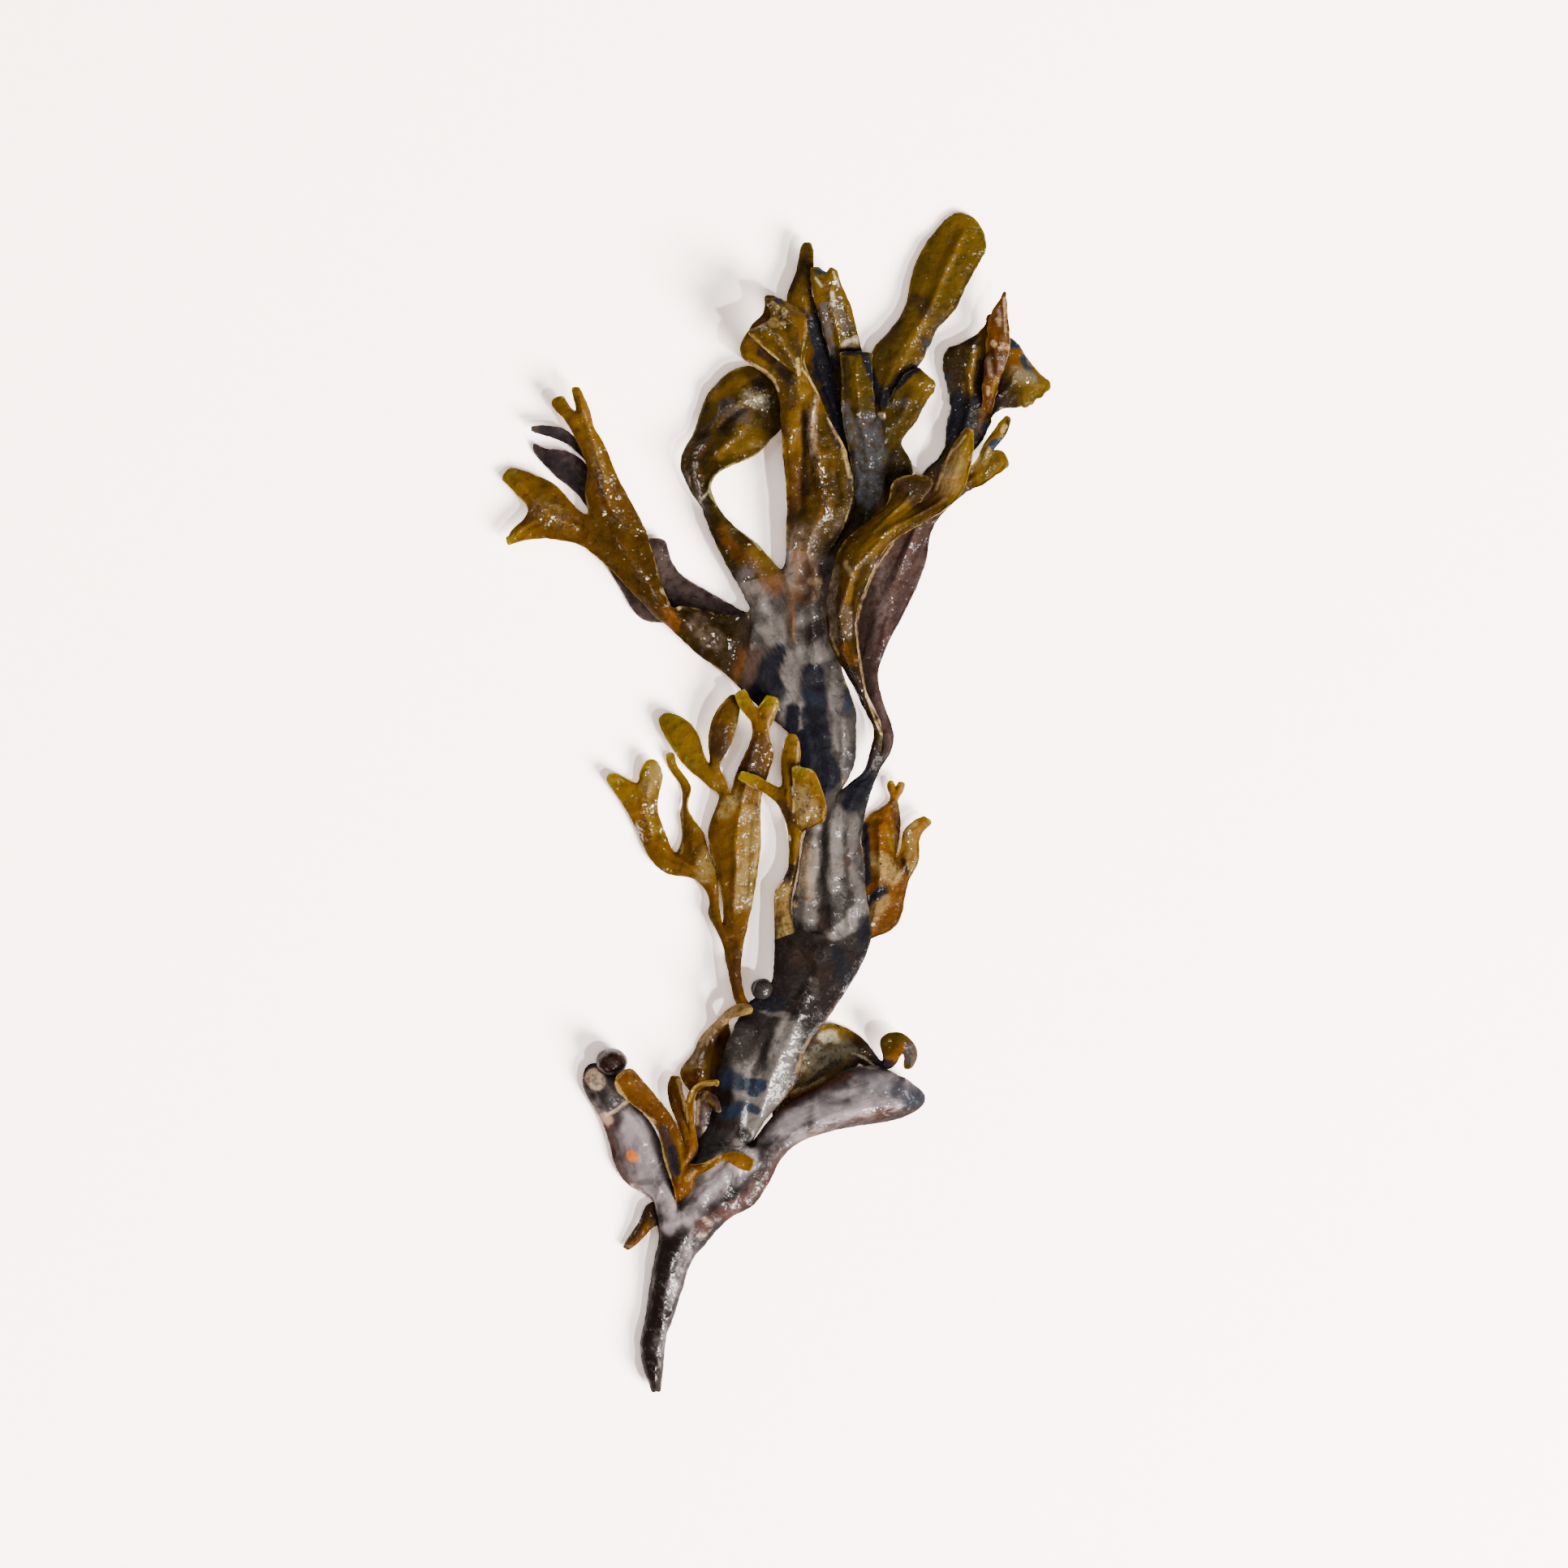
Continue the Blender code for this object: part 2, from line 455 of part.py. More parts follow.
            (39.4, 142.0, 0.6, 50.8, 139.0, 0.6, 0.6),
            (43.0, 145.2, 0.5, 48.8, 143.4, 0.5, 0.3, 0.8)]},
    "small": {
        "node": "small_lobe",
        "rows": [
            (31.0, 102.8, 5.4, 36.2, 96.8, 5.4, 0.4),
            (34.6, 106.4, 5.2, 38.6, 102.0, 5.2, 0.3, 0.8)]},
    "top_middle": {
        "node": "top_middle_frond",
        "rows": [
            (13.4, 84.6, 2.2, 19.4, 84.6, 2.4, 0.2),
            (12.6, 92.0, 2.4, 18.4, 92.0, 2.4, 0.3)],
        "fork": ((9.0, 100.6, 2.4), (13.0, 106.6, 2.6), (19.8, 102.4, 2.6)),
        "children": ("spike", "top_blade")},
    "spike": {
        "node": "top_spike",
        "rows": [
            (4.8, 108.6, 2.8, 11.4, 112.4, 2.2, 0.3),
            (2.8, 115.2, 3.6, 10.4, 117.6, 2.6, 0.3),
            (1.8, 124.0, 4.0, 8.2, 124.4, 3.6, 0.4),
            (4.2, 130.2, 4.0, 8.2, 130.2, 4.0, 0.3),
            (5.5, 136.8, 3.6, 8.2, 136.8, 3.6, 0.1, 0.9)]},
    "top_blade": {
        "node": "top_middle_frond",
        "rows": [
            (12.6, 111.4, 3.8, 20.6, 110.0, 2.8, 0.4),
            (11.2, 116.4, 4.8, 19.2, 115.6, 4.0, 0.6),
            (9.2, 122.0, 5.8, 17.6, 122.4, 5.2, 0.7),
            (7.9, 127.2, 6.4, 15.3, 127.0, 6.0, 0.7)],
        "fork": ((7.7, 129.8, 6.4), (11.5, 130.0, 6.2), (14.6, 129.0, 5.8)),
        "children": ("top_blade_left", "top_blade_right")},
    "top_blade_left": {
        "node": "top_middle_frond",
        "rows": [
            (7.9, 131.3, 6.2, 9.8, 131.4, 6.2, 0.1, 0.3)]},
    "top_blade_right": {
        "node": "top_middle_frond",
        "rows": [
            (12.4, 131.4, 6.0, 14.1, 130.7, 5.8, 0.1, 0.3)]},

    # Golden branch on the left of the strap
    "gold_stem": {
        "node": "mid_left_branch",
        "rows": [
            (-9.9, -50.3, 6.6, -8.0, -48.2, 6.6, 0.1),
            (-11.2, -46.8, 6.2, -8.7, -46.0, 6.2, 0.3),
            (-12.3, -42.0, 5.6, -9.6, -41.4, 5.6, 0.3),
            (-13.6, -35.6, 4.4, -9.0, -35.4, 4.4, 0.4)],
        "fork": ((-15.4, -31.0, 3.8), (-13.9, -29.6, 3.8), (-7.9, -30.6, 3.8)),
        "children": ("outer_stem", "gold_blade")},
    "gold_blade": {
        "node": "mid_left_branch",
        "rows": [
            (-13.7, -24.6, 3.4, -6.7, -25.0, 3.4, 0.6),
            (-14.8, -19.0, 3.2, -5.7, -19.0, 3.2, 0.8),
            (-16.2, -13.4, 3.0, -5.0, -13.4, 3.0, 1.0),
            (-17.4, -8.0, 3.0, -4.6, -8.0, 3.0, 1.0),
            (-16.2, -2.6, 3.2, -4.7, -2.2, 3.2, 0.9)],
        "fork": ((-14.5, 1.7, 3.6), (-12.0, 2.2, 3.8), (-4.2, 2.8, 4.0)),
        "children": ("cross_piece", "gold_leaf")},
    "cross_piece": {
        "node": "mid_left_crown",
        "rows": [
            (-16.6, 3.6, 3.8, -13.2, 6.0, 3.8, 0.3)],
        "fork": ((-19.6, 6.4, 4.0), (-17.0, 9.8, 4.0), (-14.8, 9.4, 4.2)),
        "children": ("north_west_leaf", "upright_leaf")},
    "north_west_leaf": {
        "node": "mid_left_crown",
        "rows": [
            (-22.8, 8.8, 3.8, -18.5, 12.2, 3.8, 0.4),
            (-26.2, 13.6, 3.4, -19.8, 16.6, 3.4, 0.6),
            (-28.6, 17.8, 2.8, -23.2, 20.6, 2.8, 0.5),
            (-29.6, 20.6, 2.4, -27.4, 22.1, 2.4, 0.2, 0.5)]},
    "upright_leaf": {
        "node": "mid_left_crown",
        "rows": [
            (-17.3, 13.6, 4.4, -12.4, 13.4, 4.6, 0.4),
            (-16.8, 19.0, 4.6, -10.4, 19.2, 5.0, 0.6),
            (-14.6, 23.6, 4.8, -9.6, 23.6, 5.2, 0.4),
            (-11.8, 26.6, 5.2, -9.4, 25.8, 5.4, 0.2, 0.3)]},
    "gold_leaf": {
        "node": "mid_left_branch",
        "rows": [
            (-10.8, 7.0, 4.6, -3.0, 6.8, 5.0, 0.5),
            (-8.4, 11.8, 5.6, -1.3, 11.8, 6.2, 0.5),
            (-6.4, 17.0, 6.8, -2.7, 17.0, 7.2, 0.4)],
        "fork": ((-7.1, 20.8, 7.6), (-5.4, 23.4, 8.0), (-1.5, 20.4, 7.8)),
        "children": ("gold_tip_left", "gold_tip_right")},
    "gold_tip_left": {
        "node": "mid_left_branch",
        "rows": [
            (-9.6, 23.4, 8.0, -7.2, 26.0, 8.2, 0.2),
            (-10.7, 26.8, 8.2, -8.4, 28.0, 8.2, 0.2, 0.3)]},
    "gold_tip_right": {
        "node": "mid_left_branch",
        "rows": [
            (-3.9, 25.4, 8.4, -0.2, 23.8, 8.2, 0.3),
            (-2.9, 26.4, 8.4, -0.5, 25.7, 8.2, 0.2, 0.2)]},
    "outer_stem": {
        "node": "mid_left_outer",
        "rows": [
            (-17.4, -27.0, 3.2, -14.7, -26.0, 3.4, 0.2),
            (-17.2, -22.6, 2.8, -14.9, -21.4, 3.0, 0.3),
            (-21.2, -18.4, 2.4, -15.6, -16.8, 2.8, 0.6)],
        "fork": ((-26.4, -17.6, 2.0), (-25.3, -12.2, 2.0), (-17.4, -12.0, 2.4)),
        "children": ("outer_arm", "inner_arm")},
    "outer_arm": {
        "node": "mid_left_outer",
        "rows": [
            (-30.6, -14.8, 1.6, -27.2, -9.4, 1.8, 0.5),
            (-34.0, -9.2, 1.2, -28.8, -5.0, 1.6, 0.6),
            (-36.4, -3.6, 1.2, -30.0, -1.4, 1.6, 0.5)],
        "fork": ((-39.6, 1.4, 1.6), (-35.0, 5.0, 1.8), (-29.4, 3.4, 2.0)),
        "children": ("outer_tip_left", "outer_tip_right")},
    "outer_tip_left": {
        "node": "mid_left_outer",
        "rows": [
            (-42.3, 5.2, 2.4, -38.6, 6.8, 2.4, 0.3),
            (-42.3, 6.6, 2.6, -40.8, 7.5, 2.6, 0.1, 0.2)]},
    "outer_tip_right": {
        "node": "mid_left_outer",
        "rows": [
            (-34.2, 7.8, 2.6, -28.5, 7.0, 2.6, 0.4),
            (-32.6, 10.4, 3.2, -29.8, 10.2, 3.2, 0.2, 0.6)]},
    "inner_arm": {
        "node": "mid_left_outer",
        "rows": [
            (-23.7, -8.0, 1.6, -18.6, -7.4, 2.2, 0.4),
            (-24.2, -3.6, 1.2, -21.3, -3.6, 2.2, 0.2),
            (-23.7, 0.2, 0.6, -22.8, 0.0, 2.4, 0.0),
            (-24.2, 4.6, 0.5, -21.7, 4.4, 1.0, 0.2),
            (-27.2, 8.8, 0.5, -24.8, 8.6, 0.8, 0.2),
            (-27.8, 11.9, 1.4, -25.8, 12.0, 1.4, 0.1, 0.5)]},

    # Branch along the strap's left edge
    "centre_stem": {
        "node": "mid_centre_branch",
        "rows": [
            (-1.0, -27.0, 5.6, 2.8, -26.0, 5.6, 0.3),
            (-1.0, -21.6, 5.2, 3.5, -20.4, 5.2, 0.3),
            (2.0, -17.0, 5.0, 4.5, -15.8, 5.2, 0.3),
            (2.6, -10.6, 5.2, 5.2, -9.8, 5.6, 0.3),
            (2.3, -6.0, 6.2, 6.0, -6.4, 7.6, 0.3)],
        "fork": ((0.9, -2.0, 7.2), (3.4, 1.6, 8.6), (10.8, -4.4, 8.8)),
        "children": ("centre_pair", "wet_leaf")},
    "wet_leaf": {
        "node": "mid_centre_branch",
        "rows": [
            (3.5, 4.6, 9.0, 11.2, 0.6, 8.6, 0.9),
            (3.2, 9.2, 9.0, 8.8, 7.4, 8.8, 0.6, 0.4)]},
    "centre_pair": {
        "node": "mid_centre_branch",
        "rows": [],
        "fork": ((-1.4, 1.0, 7.6), (0.5, 4.0, 8.0), (3.1, 4.8, 7.6)),
        "children": ("centre_left_leaf", "centre_upright_leaf")},
    "centre_left_leaf": {
        "node": "mid_centre_branch",
        "rows": [
            (-5.2, 3.6, 8.2, -4.2, 6.2, 8.4, 0.2),
            (-9.8, 6.0, 8.6, -9.0, 7.9, 8.8, 0.2, 0.3)]},
    "centre_upright_leaf": {
        "node": "mid_centre_branch",
        "rows": [
            (0.4, 9.4, 7.6, 5.0, 9.6, 7.2, 0.4),
            (1.3, 14.6, 7.6, 5.0, 14.4, 7.4, 0.3),
            (2.2, 16.8, 7.8, 4.2, 16.6, 7.8, 0.2, 0.3)]},

    # Leaves behind the strap on the right
    "behind_right": {
        "node": "mid_right_branch",
        "rows": [
            (17.0, -30.0, 3.9, 22.4, -33.4, 3.7, 0.2),
            (19.4, -25.0, 2.4, 28.4, -30.6, 2.0, 0.5),
            (20.6, -20.0, 1.8, 30.6, -24.6, 1.4, 0.6)],
        "fork": ((20.8, -13.2, 1.4), (28.6, -13.2, 1.4), (32.0, -18.4, 1.6)),
        "children": ("behind_left_leaf", "behind_right_leaf")},
    "behind_left_leaf": {
        "node": "mid_right_branch",
        "rows": [
            (20.4, -7.8, 0.5, 29.6, -8.2, 0.6, 0.6),
            (21.8, -3.2, 0.6, 29.8, -2.6, 1.0, 0.5),
            (27.2, 0.2, 1.6, 29.1, 0.8, 1.8, 0.2)],
        "fork": ((26.8, 3.6, 2.2), (28.6, 3.8, 2.4), (30.2, 2.8, 2.2)),
        "children": ("behind_tip_left", "behind_tip_right")},
    "behind_tip_left": {
        "node": "mid_right_branch",
        "rows": [
            (26.9, 5.3, 2.6, 27.9, 5.3, 2.6, 0.1, 0.2)]},
    "behind_tip_right": {
        "node": "mid_right_branch",
        "rows": [
            (29.4, 5.3, 2.8, 30.8, 4.9, 2.8, 0.1, 0.2)]},
    "behind_right_leaf": {
        "node": "mid_right_branch",
        "rows": [
            (30.3, -10.8, 2.0, 34.4, -14.0, 2.0, 0.4),
            (30.5, -6.8, 2.4, 34.5, -8.2, 2.4, 0.5),
            (34.6, -3.4, 3.2, 37.5, -4.8, 3.0, 0.2, 0.6)]},
}

# Blades that start on their own, beside or under the piece that carries them
ROOTS = (
    "stalk", "spur", "shoot_tuft", "curled_leaflet", "leaf_low_left", "leaf_low_right", "copper",
    "grey_back", "curl", "top_middle", "gold_stem", "behind_right")

# Each piece: thickness, subdivision, whether it is fleshy and rounded, whether it lies on the
# ground, and its colour
PIECES = {
    "stipe": (STALK_THICKNESS, 1, True, True, DARK_STALK),
    "lower_left_branch": (STUB_THICKNESS, 1, True, True, DARK_STALK),
    "lower_right_branch": (STUB_THICKNESS, 1, True, False, DARK_STALK),
    "spur": (LEAF_THICKNESS, 1, False, False, BROWN),
    "young_shoots": (LEAF_THICKNESS, 0, False, False, GOLD),
    "curled_leaflet": (LEAF_THICKNESS, 0, False, False, SMOKE),
    "lower_left_leaf": (LEAF_THICKNESS, 1, False, True, GOLD),
    "lower_right_leaf": (LEAF_THICKNESS, 0, False, True, OLIVE),
    "strap_lower": (STRAP_THICKNESS, 1, False, False, DARK_STALK),
    "strap_middle": (STRAP_THICKNESS, 1, False, False, GREY_STRAP),
    "strap_upper": (STRAP_THICKNESS, 1, False, False, GREY_STRAP),
    "right_arm": (FROND_THICKNESS, 1, False, False, DARK_STALK),
    "right_front_ribbon": (FROND_THICKNESS, 1, False, False, BROWN),
    "right_back_frond": (FROND_THICKNESS, 1, False, True, SMOKE),
    "right_cluster": (FROND_THICKNESS, 0, False, False, OLIVE),
    "right_leaf": (LEAF_THICKNESS, 0, False, False, GOLD),
    "copper_strip": (LEAF_THICKNESS, 0, False, False, COPPER),
    "left_branch": (FROND_THICKNESS, 1, False, False, BROWN),
    "left_west_blade": (FROND_THICKNESS, 1, False, True, GOLD),
    "left_fingers": (FROND_THICKNESS, 1, False, False, GOLD),
    "back_left_frond": (LEAF_THICKNESS, 0, False, True, SMOKE),
    "upper_left_frond": (FROND_THICKNESS, 1, False, False, OLIVE),
    "central_frond": (FROND_THICKNESS, 1, False, False, BROWN),
    "curled_tip": (LEAF_THICKNESS, 1, False, False, GOLD),
    "wide_frond": (FROND_THICKNESS, 1, False, False, OLIVE),
    "tall_lobe": (FROND_THICKNESS, 1, False, True, OLIVE),
    "small_lobe": (FROND_THICKNESS, 1, False, False, OLIVE),
    "top_middle_frond": (FROND_THICKNESS, 0, False, False, OLIVE),
    "top_spike": (FROND_THICKNESS, 0, False, False, OLIVE),
    "mid_left_branch": (FROND_THICKNESS, 0, False, False, GOLD),
    "mid_left_outer": (LEAF_THICKNESS, 0, False, True, GOLD),
    "mid_left_crown": (LEAF_THICKNESS, 0, False, False, GOLD),
    "mid_centre_branch": (LEAF_THICKNESS, 0, False, False, GOLD),
    "mid_right_branch": (LEAF_THICKNESS, 0, False, True, GOLD),
}


def clear_scene():
    for old in list(bpy.data.objects):
        bpy.data.objects.remove(old, do_unlink=True)


def add_collection(name):
    collection = bpy.data.collections.new(name)
    bpy.context.scene.collection.children.link(collection)
    return collection


def row_points(row):
    left = Vector(row[0:3])
    right = Vector(row[3:6])
    rise = row[6]
    push = row[7] if len(row) > 7 else 0.0
    across = right - left
    ahead = Vector((-across.y, across.x, 0.0)).normalized()
    middle = (left + right) / 2 + Vector((0.0, 0.0, rise)) + ahead * push
    return [left, middle, right]


def fork_points(fork, rise):
    left, crotch, right = (Vector(point) for point in fork)
    lift = Vector((0.0, 0.0, rise))
    left_middle = (left + crotch) / 2 + lift
    right_middle = (crotch + right) / 2 + lift
    return [left, left_middle, crotch, right_middle, right]


def first_points(name):
    # The first row that a blade lays down, which its start leans towards
    blade = BLADES[name]
    if blade["rows"]:
        return row_points(blade["rows"][0])
    return [Vector(point) for point in blade["fork"]]


def seam_points(start, ahead, crotch_side):
    # The start of a piece, drawn back from the fork it grows out of and from its neighbour there
    chord = (start[2] - start[0]).normalized()
    forward = sum(ahead, Vector()) - sum(start, Vector())
    forward = (forward - chord * forward.dot(chord)).normalized()
    moved = [point + forward * SEAM for point in start]
    corner = moved[crotch_side]
    moved[crotch_side] = corner + (moved[1] - corner).normalized() * CROTCH_INSET
    return moved


class Cage:
    def __init__(self):
        self.points = []
        self.faces = []
        self.corners = set()

    def add(self, points):
        first = len(self.points)
        self.points.extend(points)
        return list(range(first, len(self.points)))

    def bridge(self, below, above):
        for side in range(2):
            self.faces.append((below[side], below[side + 1], above[side + 1], above[side]))


def grow(name, cages, start=None):
    blade = BLADES[name]
    cage = cages.setdefault(blade["node"], Cage())
    below = start
    for row in blade["rows"]:
        points = row_points(row)
        above = cage.add(points)
        if below is not None:
            cage.bridge(below, above)
        else:
            cage.corners.update((above[0], above[2]))
        below = above
    if "fork" not in blade:
        return
    points = fork_points(blade["fork"], FORK_RISE)
    left, left_middle, crotch, right_middle, right = cage.add(points)
    cage.faces.append((below[0], below[1], left_middle, left))
    cage.faces.append((below[1], right_middle, crotch, left_middle))
    cage.faces.append((below[1], below[2], right, right_middle))
    halves = (
        ((left, left_middle, crotch), points[0:3], 2),
        ((crotch, right_middle, right), points[2:5], 0))
    for child, (indices, child_points, crotch_side) in zip(blade["children"], halves):
        if BLADES[child]["node"] == blade["node"]:
            grow(child, cages, indices)
            continue
        cage.corners.update((indices[0], indices[2]))
        child_cage = cages.setdefault(BLADES[child]["node"], Cage())
        moved = seam_points(child_points, first_points(child), crotch_side)
        child_start = child_cage.add(moved)
        child_cage.corners.update((child_start[0], child_start[2]))
        grow(child, cages, child_start)


def in_metres(point):
    return Vector((point.x - PLAN_CENTRE[0], point.y - PLAN_CENTRE[1], point.z)) * MM


def make_material(name, colour):
    material = bpy.data.materials.new(name)
    material.use_nodes = True
    shader = material.node_tree.nodes["Principled BSDF"]
    shader.inputs["Base Color"].default_value = (*colour, 1.0)
    shader.inputs["Roughness"].default_value = WET_ROUGHNESS
    return material


def make_cutter(name, cutters, position, radius=None, size=None):
    if radius is not None:
        bpy.ops.mesh.primitive_uv_sphere_add(
            segments=SPHERE_SEGMENTS, ring_count=SPHERE_RINGS, radius=radius * MM)
    else:
        bpy.ops.mesh.primitive_cube_add(size=size * MM)
    cutter = bpy.context.active_object
    cutter.name = name
    cutter.location = position
    for collection in list(cutter.users_collection):
        collection.objects.unlink(cutter)
    cutters.objects.link(cutter)
    cutter.hide_render = True
    cutter.display_type = "WIRE"
    return cutter


def add_boolean(part, cutter, operation):
    boolean = part.modifiers.new(operation.capitalize(), "BOOLEAN")
    boolean.operation = operation
    boolean.object = cutter
    boolean.solver = "EXACT"


def add_thickness(part, thickness):
    solidify = part.modifiers.new("Thickness", "SOLIDIFY")
    solidify.thickness = thickness * MM
    solidify.offset = 0.0
    solidify.use_rim = True


def add_subdivision(part, levels):
    if levels == 0:
        return
    subdivision = part.modifiers.new("Soften", "SUBSURF")
    subdivision.levels = levels
    subdivision.render_levels = levels


def make_piece(name, cage, collection, floor_cutter):
    thickness, levels, fleshy, on_ground, colour = PIECES[name]
    mesh = bpy.data.meshes.new(name)
    mesh.from_pydata([in_metres(point) for point in cage.points], [], cage.faces)
    mesh.validate()
    creases = mesh.attributes.new("crease_vert", "FLOAT", "POINT")
    for corner in cage.corners:
        creases.data[corner].value = 1.0
    mesh.shade_smooth()
    part = bpy.data.objects.new(name, mesh)
    collection.objects.link(part)
    mesh.materials.append(make_material(name, colour))
    if fleshy:
        add_thickness(part, thickness)
        add_subdivision(part, levels)
    else:
        add_subdivision(part, levels)
        add_thickness(part, thickness)
    if on_ground:
        add_boolean(part, floor_cutter, "DIFFERENCE")
    return part


def main():
    clear_scene()
    collection = add_collection("bladderwrack")
    cutters = add_collection("cutters")
    cages = {}
    for root in ROOTS:
        grow(root, cages)

    floor_position = (0.0, 0.0, -FLOOR_CUTTER_SIZE / 2 * MM)
    floor_cutter = make_cutter("floor", cutters, floor_position, size=FLOOR_CUTTER_SIZE)
    parts = {name: make_piece(name, cages[name], collection, floor_cutter) for name in PIECES}

    bladder_place = in_metres(Vector(BLADDER_CENTRE))
    bladder = make_cutter("bladder", cutters, bladder_place, radius=BLADDER_RADIUS)
    add_boolean(parts["lower_left_branch"], bladder, "UNION")
    nub_place = in_metres(Vector(NUB_CENTRE))
    nub = make_cutter("nub", cutters, nub_place, radius=NUB_RADIUS)
    add_boolean(parts["strap_lower"], nub, "UNION")


main()
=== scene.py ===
import json
import math

import bpy
import numpy as np
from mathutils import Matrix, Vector

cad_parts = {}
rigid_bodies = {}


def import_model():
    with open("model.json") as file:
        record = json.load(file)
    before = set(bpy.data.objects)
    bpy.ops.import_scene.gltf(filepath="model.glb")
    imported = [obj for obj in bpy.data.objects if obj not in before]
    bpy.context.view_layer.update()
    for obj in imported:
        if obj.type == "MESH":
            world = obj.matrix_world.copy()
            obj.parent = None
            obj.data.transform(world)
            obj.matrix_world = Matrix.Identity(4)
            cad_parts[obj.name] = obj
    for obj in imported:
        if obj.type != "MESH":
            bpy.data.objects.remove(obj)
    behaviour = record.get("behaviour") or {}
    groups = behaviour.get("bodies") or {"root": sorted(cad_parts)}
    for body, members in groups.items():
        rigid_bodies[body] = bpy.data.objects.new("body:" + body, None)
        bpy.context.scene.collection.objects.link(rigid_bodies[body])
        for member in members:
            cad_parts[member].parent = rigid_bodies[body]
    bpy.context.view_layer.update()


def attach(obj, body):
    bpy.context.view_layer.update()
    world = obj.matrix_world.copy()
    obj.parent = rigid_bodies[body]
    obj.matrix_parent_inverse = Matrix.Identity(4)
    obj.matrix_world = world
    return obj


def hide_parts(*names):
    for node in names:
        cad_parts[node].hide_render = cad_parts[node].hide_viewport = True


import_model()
print("frame loaded")

mm = 0.001
planCentre = (-0.4, 0.2)  # middle of the whole outline, in the plan that the rows are written in
fineLevel = 4  # how finely the surface is divided

# Every piece has one dictionary. thick is in mm; flesh is how round and solid it is; lump, ridge, ruffle
# and ragged are how far it is lumped, ridged lengthwise, and waved and frayed at the edge, in mm;
# olive tints it, and grey lays a painted sheen, a reflection of the lamps, over all of it.
# Its blades run from base to tip. A row is the left edge (x, y, z), the right edge (x, y, z) and how far
# the middle stands above the line between them; an eighth number pushes the middle ahead at a tip.
# A fork is the left edge, the crotch and the right edge, and two children grow on it, also of another
# piece. Tone runs from dark stalk (0) to gold tip (1).
# A fold is width, height and the places along its crest; a negative height is a groove or a pit.
# A stroke of colour is width, strength and the places along it; above a strength of 1 its edge is crisp.
lookNames = ("thick", "flesh", "lump", "ridge", "ruffle", "ragged", "olive", "grey")
pieces = {}

pieces["stipe"] = dict(  # the stalk at the foot and the fleshy body above its first fork
    thick=4.4, flesh=1.0, lump=0.8, ridge=0.12, ragged=0.25, grey=0.12, tissue="stalkTissue",
    slot="stalk_flesh",
    blades=dict(
        stalk=dict(tone=(0.02, 0.06), rows=[
            (-31.2, -144.6, 2.3, -29.4, -144.6, 2.3, 0.2), (-32.5, -141, 2.2, -28.9, -141.3, 2.2, 0.4),
            (-33.9, -136.5, 1.8, -28.5, -137, 1.8, 0.5), (-33.9, -131.5, 1.6, -28, -131.5, 1.6, 0.4),
            (-32.8, -126, 1.6, -26, -126, 1.6, 0.4), (-31.9, -119.5, 1.7, -23.9, -119.5, 1.7, 0.5),
            (-30.6, -112.5, 2.5, -21.6, -112.5, 2.5, 0.7), (-29.6, -107.5, 3, -18, -108, 3, 0.8)],
            fork=((-30, -102.5, 3.2), (-24.6, -99.3, 3.6), (-12.6, -102, 3.6)),
            children=("stubLeft", "body")),
        body=dict(tone=(0.06, 0.08), rows=[
            (-24, -95, 3.8, -6.9, -99.2, 3.8, 0.9), (-22.6, -91.6, 4, -3.2, -94.2, 4, 0.9),
            (-22.4, -88.4, 4.2, -0.7, -89.6, 4.2, 0.9)],
            fork=((-20.6, -84.4, 4.4), (-6.8, -83.4, 4.8), (1.8, -85.6, 4.4)),
            children=("strapLow", "stubRight")),
    ),
    folds=[(3, 0.5, -30.6, -142, -29.6, -128, -26.6, -112, -19, -100),
        (3, 0.6, -24, -100, -14, -92, -10, -84), (2.6, -0.6, -22, -104, -16, -97),
        (2, -0.9, -8, -80, -9, -83)],
    # the dark strokes are painted shade, mostly down the stalk's left side away from the light and in the gaps
    # at the forks; the two pale strokes are painted glints
    strokes=dict(
        bloom=[(8, 1, -25, -101, -17, -94, -9, -87), (5, 0.9, -27, -104, -23, -102.4),
            (3.4, 0.7, -22.4, -104, -23.6, -116), (3.6, 0.9, -26, -118, -28.4, -125),
            (1.8, 0.5, -27.8, -128, -29, -137), (2, 1, -29.8, -131.4, -30.4, -134.4)],
        wet=[(2, 0.35, -26.4, -119, -28, -124), (1.4, 0.5, -29.8, -132, -30.2, -134),
            (5, 0.5, -14.6, -95, -11.6, -97.4)],
        dark=[(5, 0.95, -28, -109, -30, -118, -31, -128, -32.6, -136, -30.8, -142),
            (4, 0.9, -25, -107, -23.6, -105.4), (4.4, 1, -28.4, -127.4, -26.8, -126.2),
            (2, 0.6, -29.4, -137, -29.4, -142), (3, 0.6, -19, -99.6, -16, -99.8),
            (3, 0.5, -3.4, -87, -4.6, -92), (2.6, 2, -10.4, -79.6, -8.6, -81.4, -7, -83)],
        rust=[(2.2, 0.35, -31.2, -128, -32.2, -137),
            (3.2, 0.6, -20.6, -104, -15, -100.6, -10, -98.6, -5, -93, -1, -89.6),
            (3, 0.5, -26.6, -99, -24.6, -95), (2.4, 0.7, -18.6, -104.4, -17.6, -103.8),
            (1.6, 0.4, -1, -90, -4.4, -95, -9, -99.4), (2, 0.6, -22.4, -96.6, -24.8, -95)],
        pale=[(1, 1.4, -18.4, -101.8, -16.8, -103), (1.1, 1.4, -19.4, -106, -18.4, -106)],
    ),
)
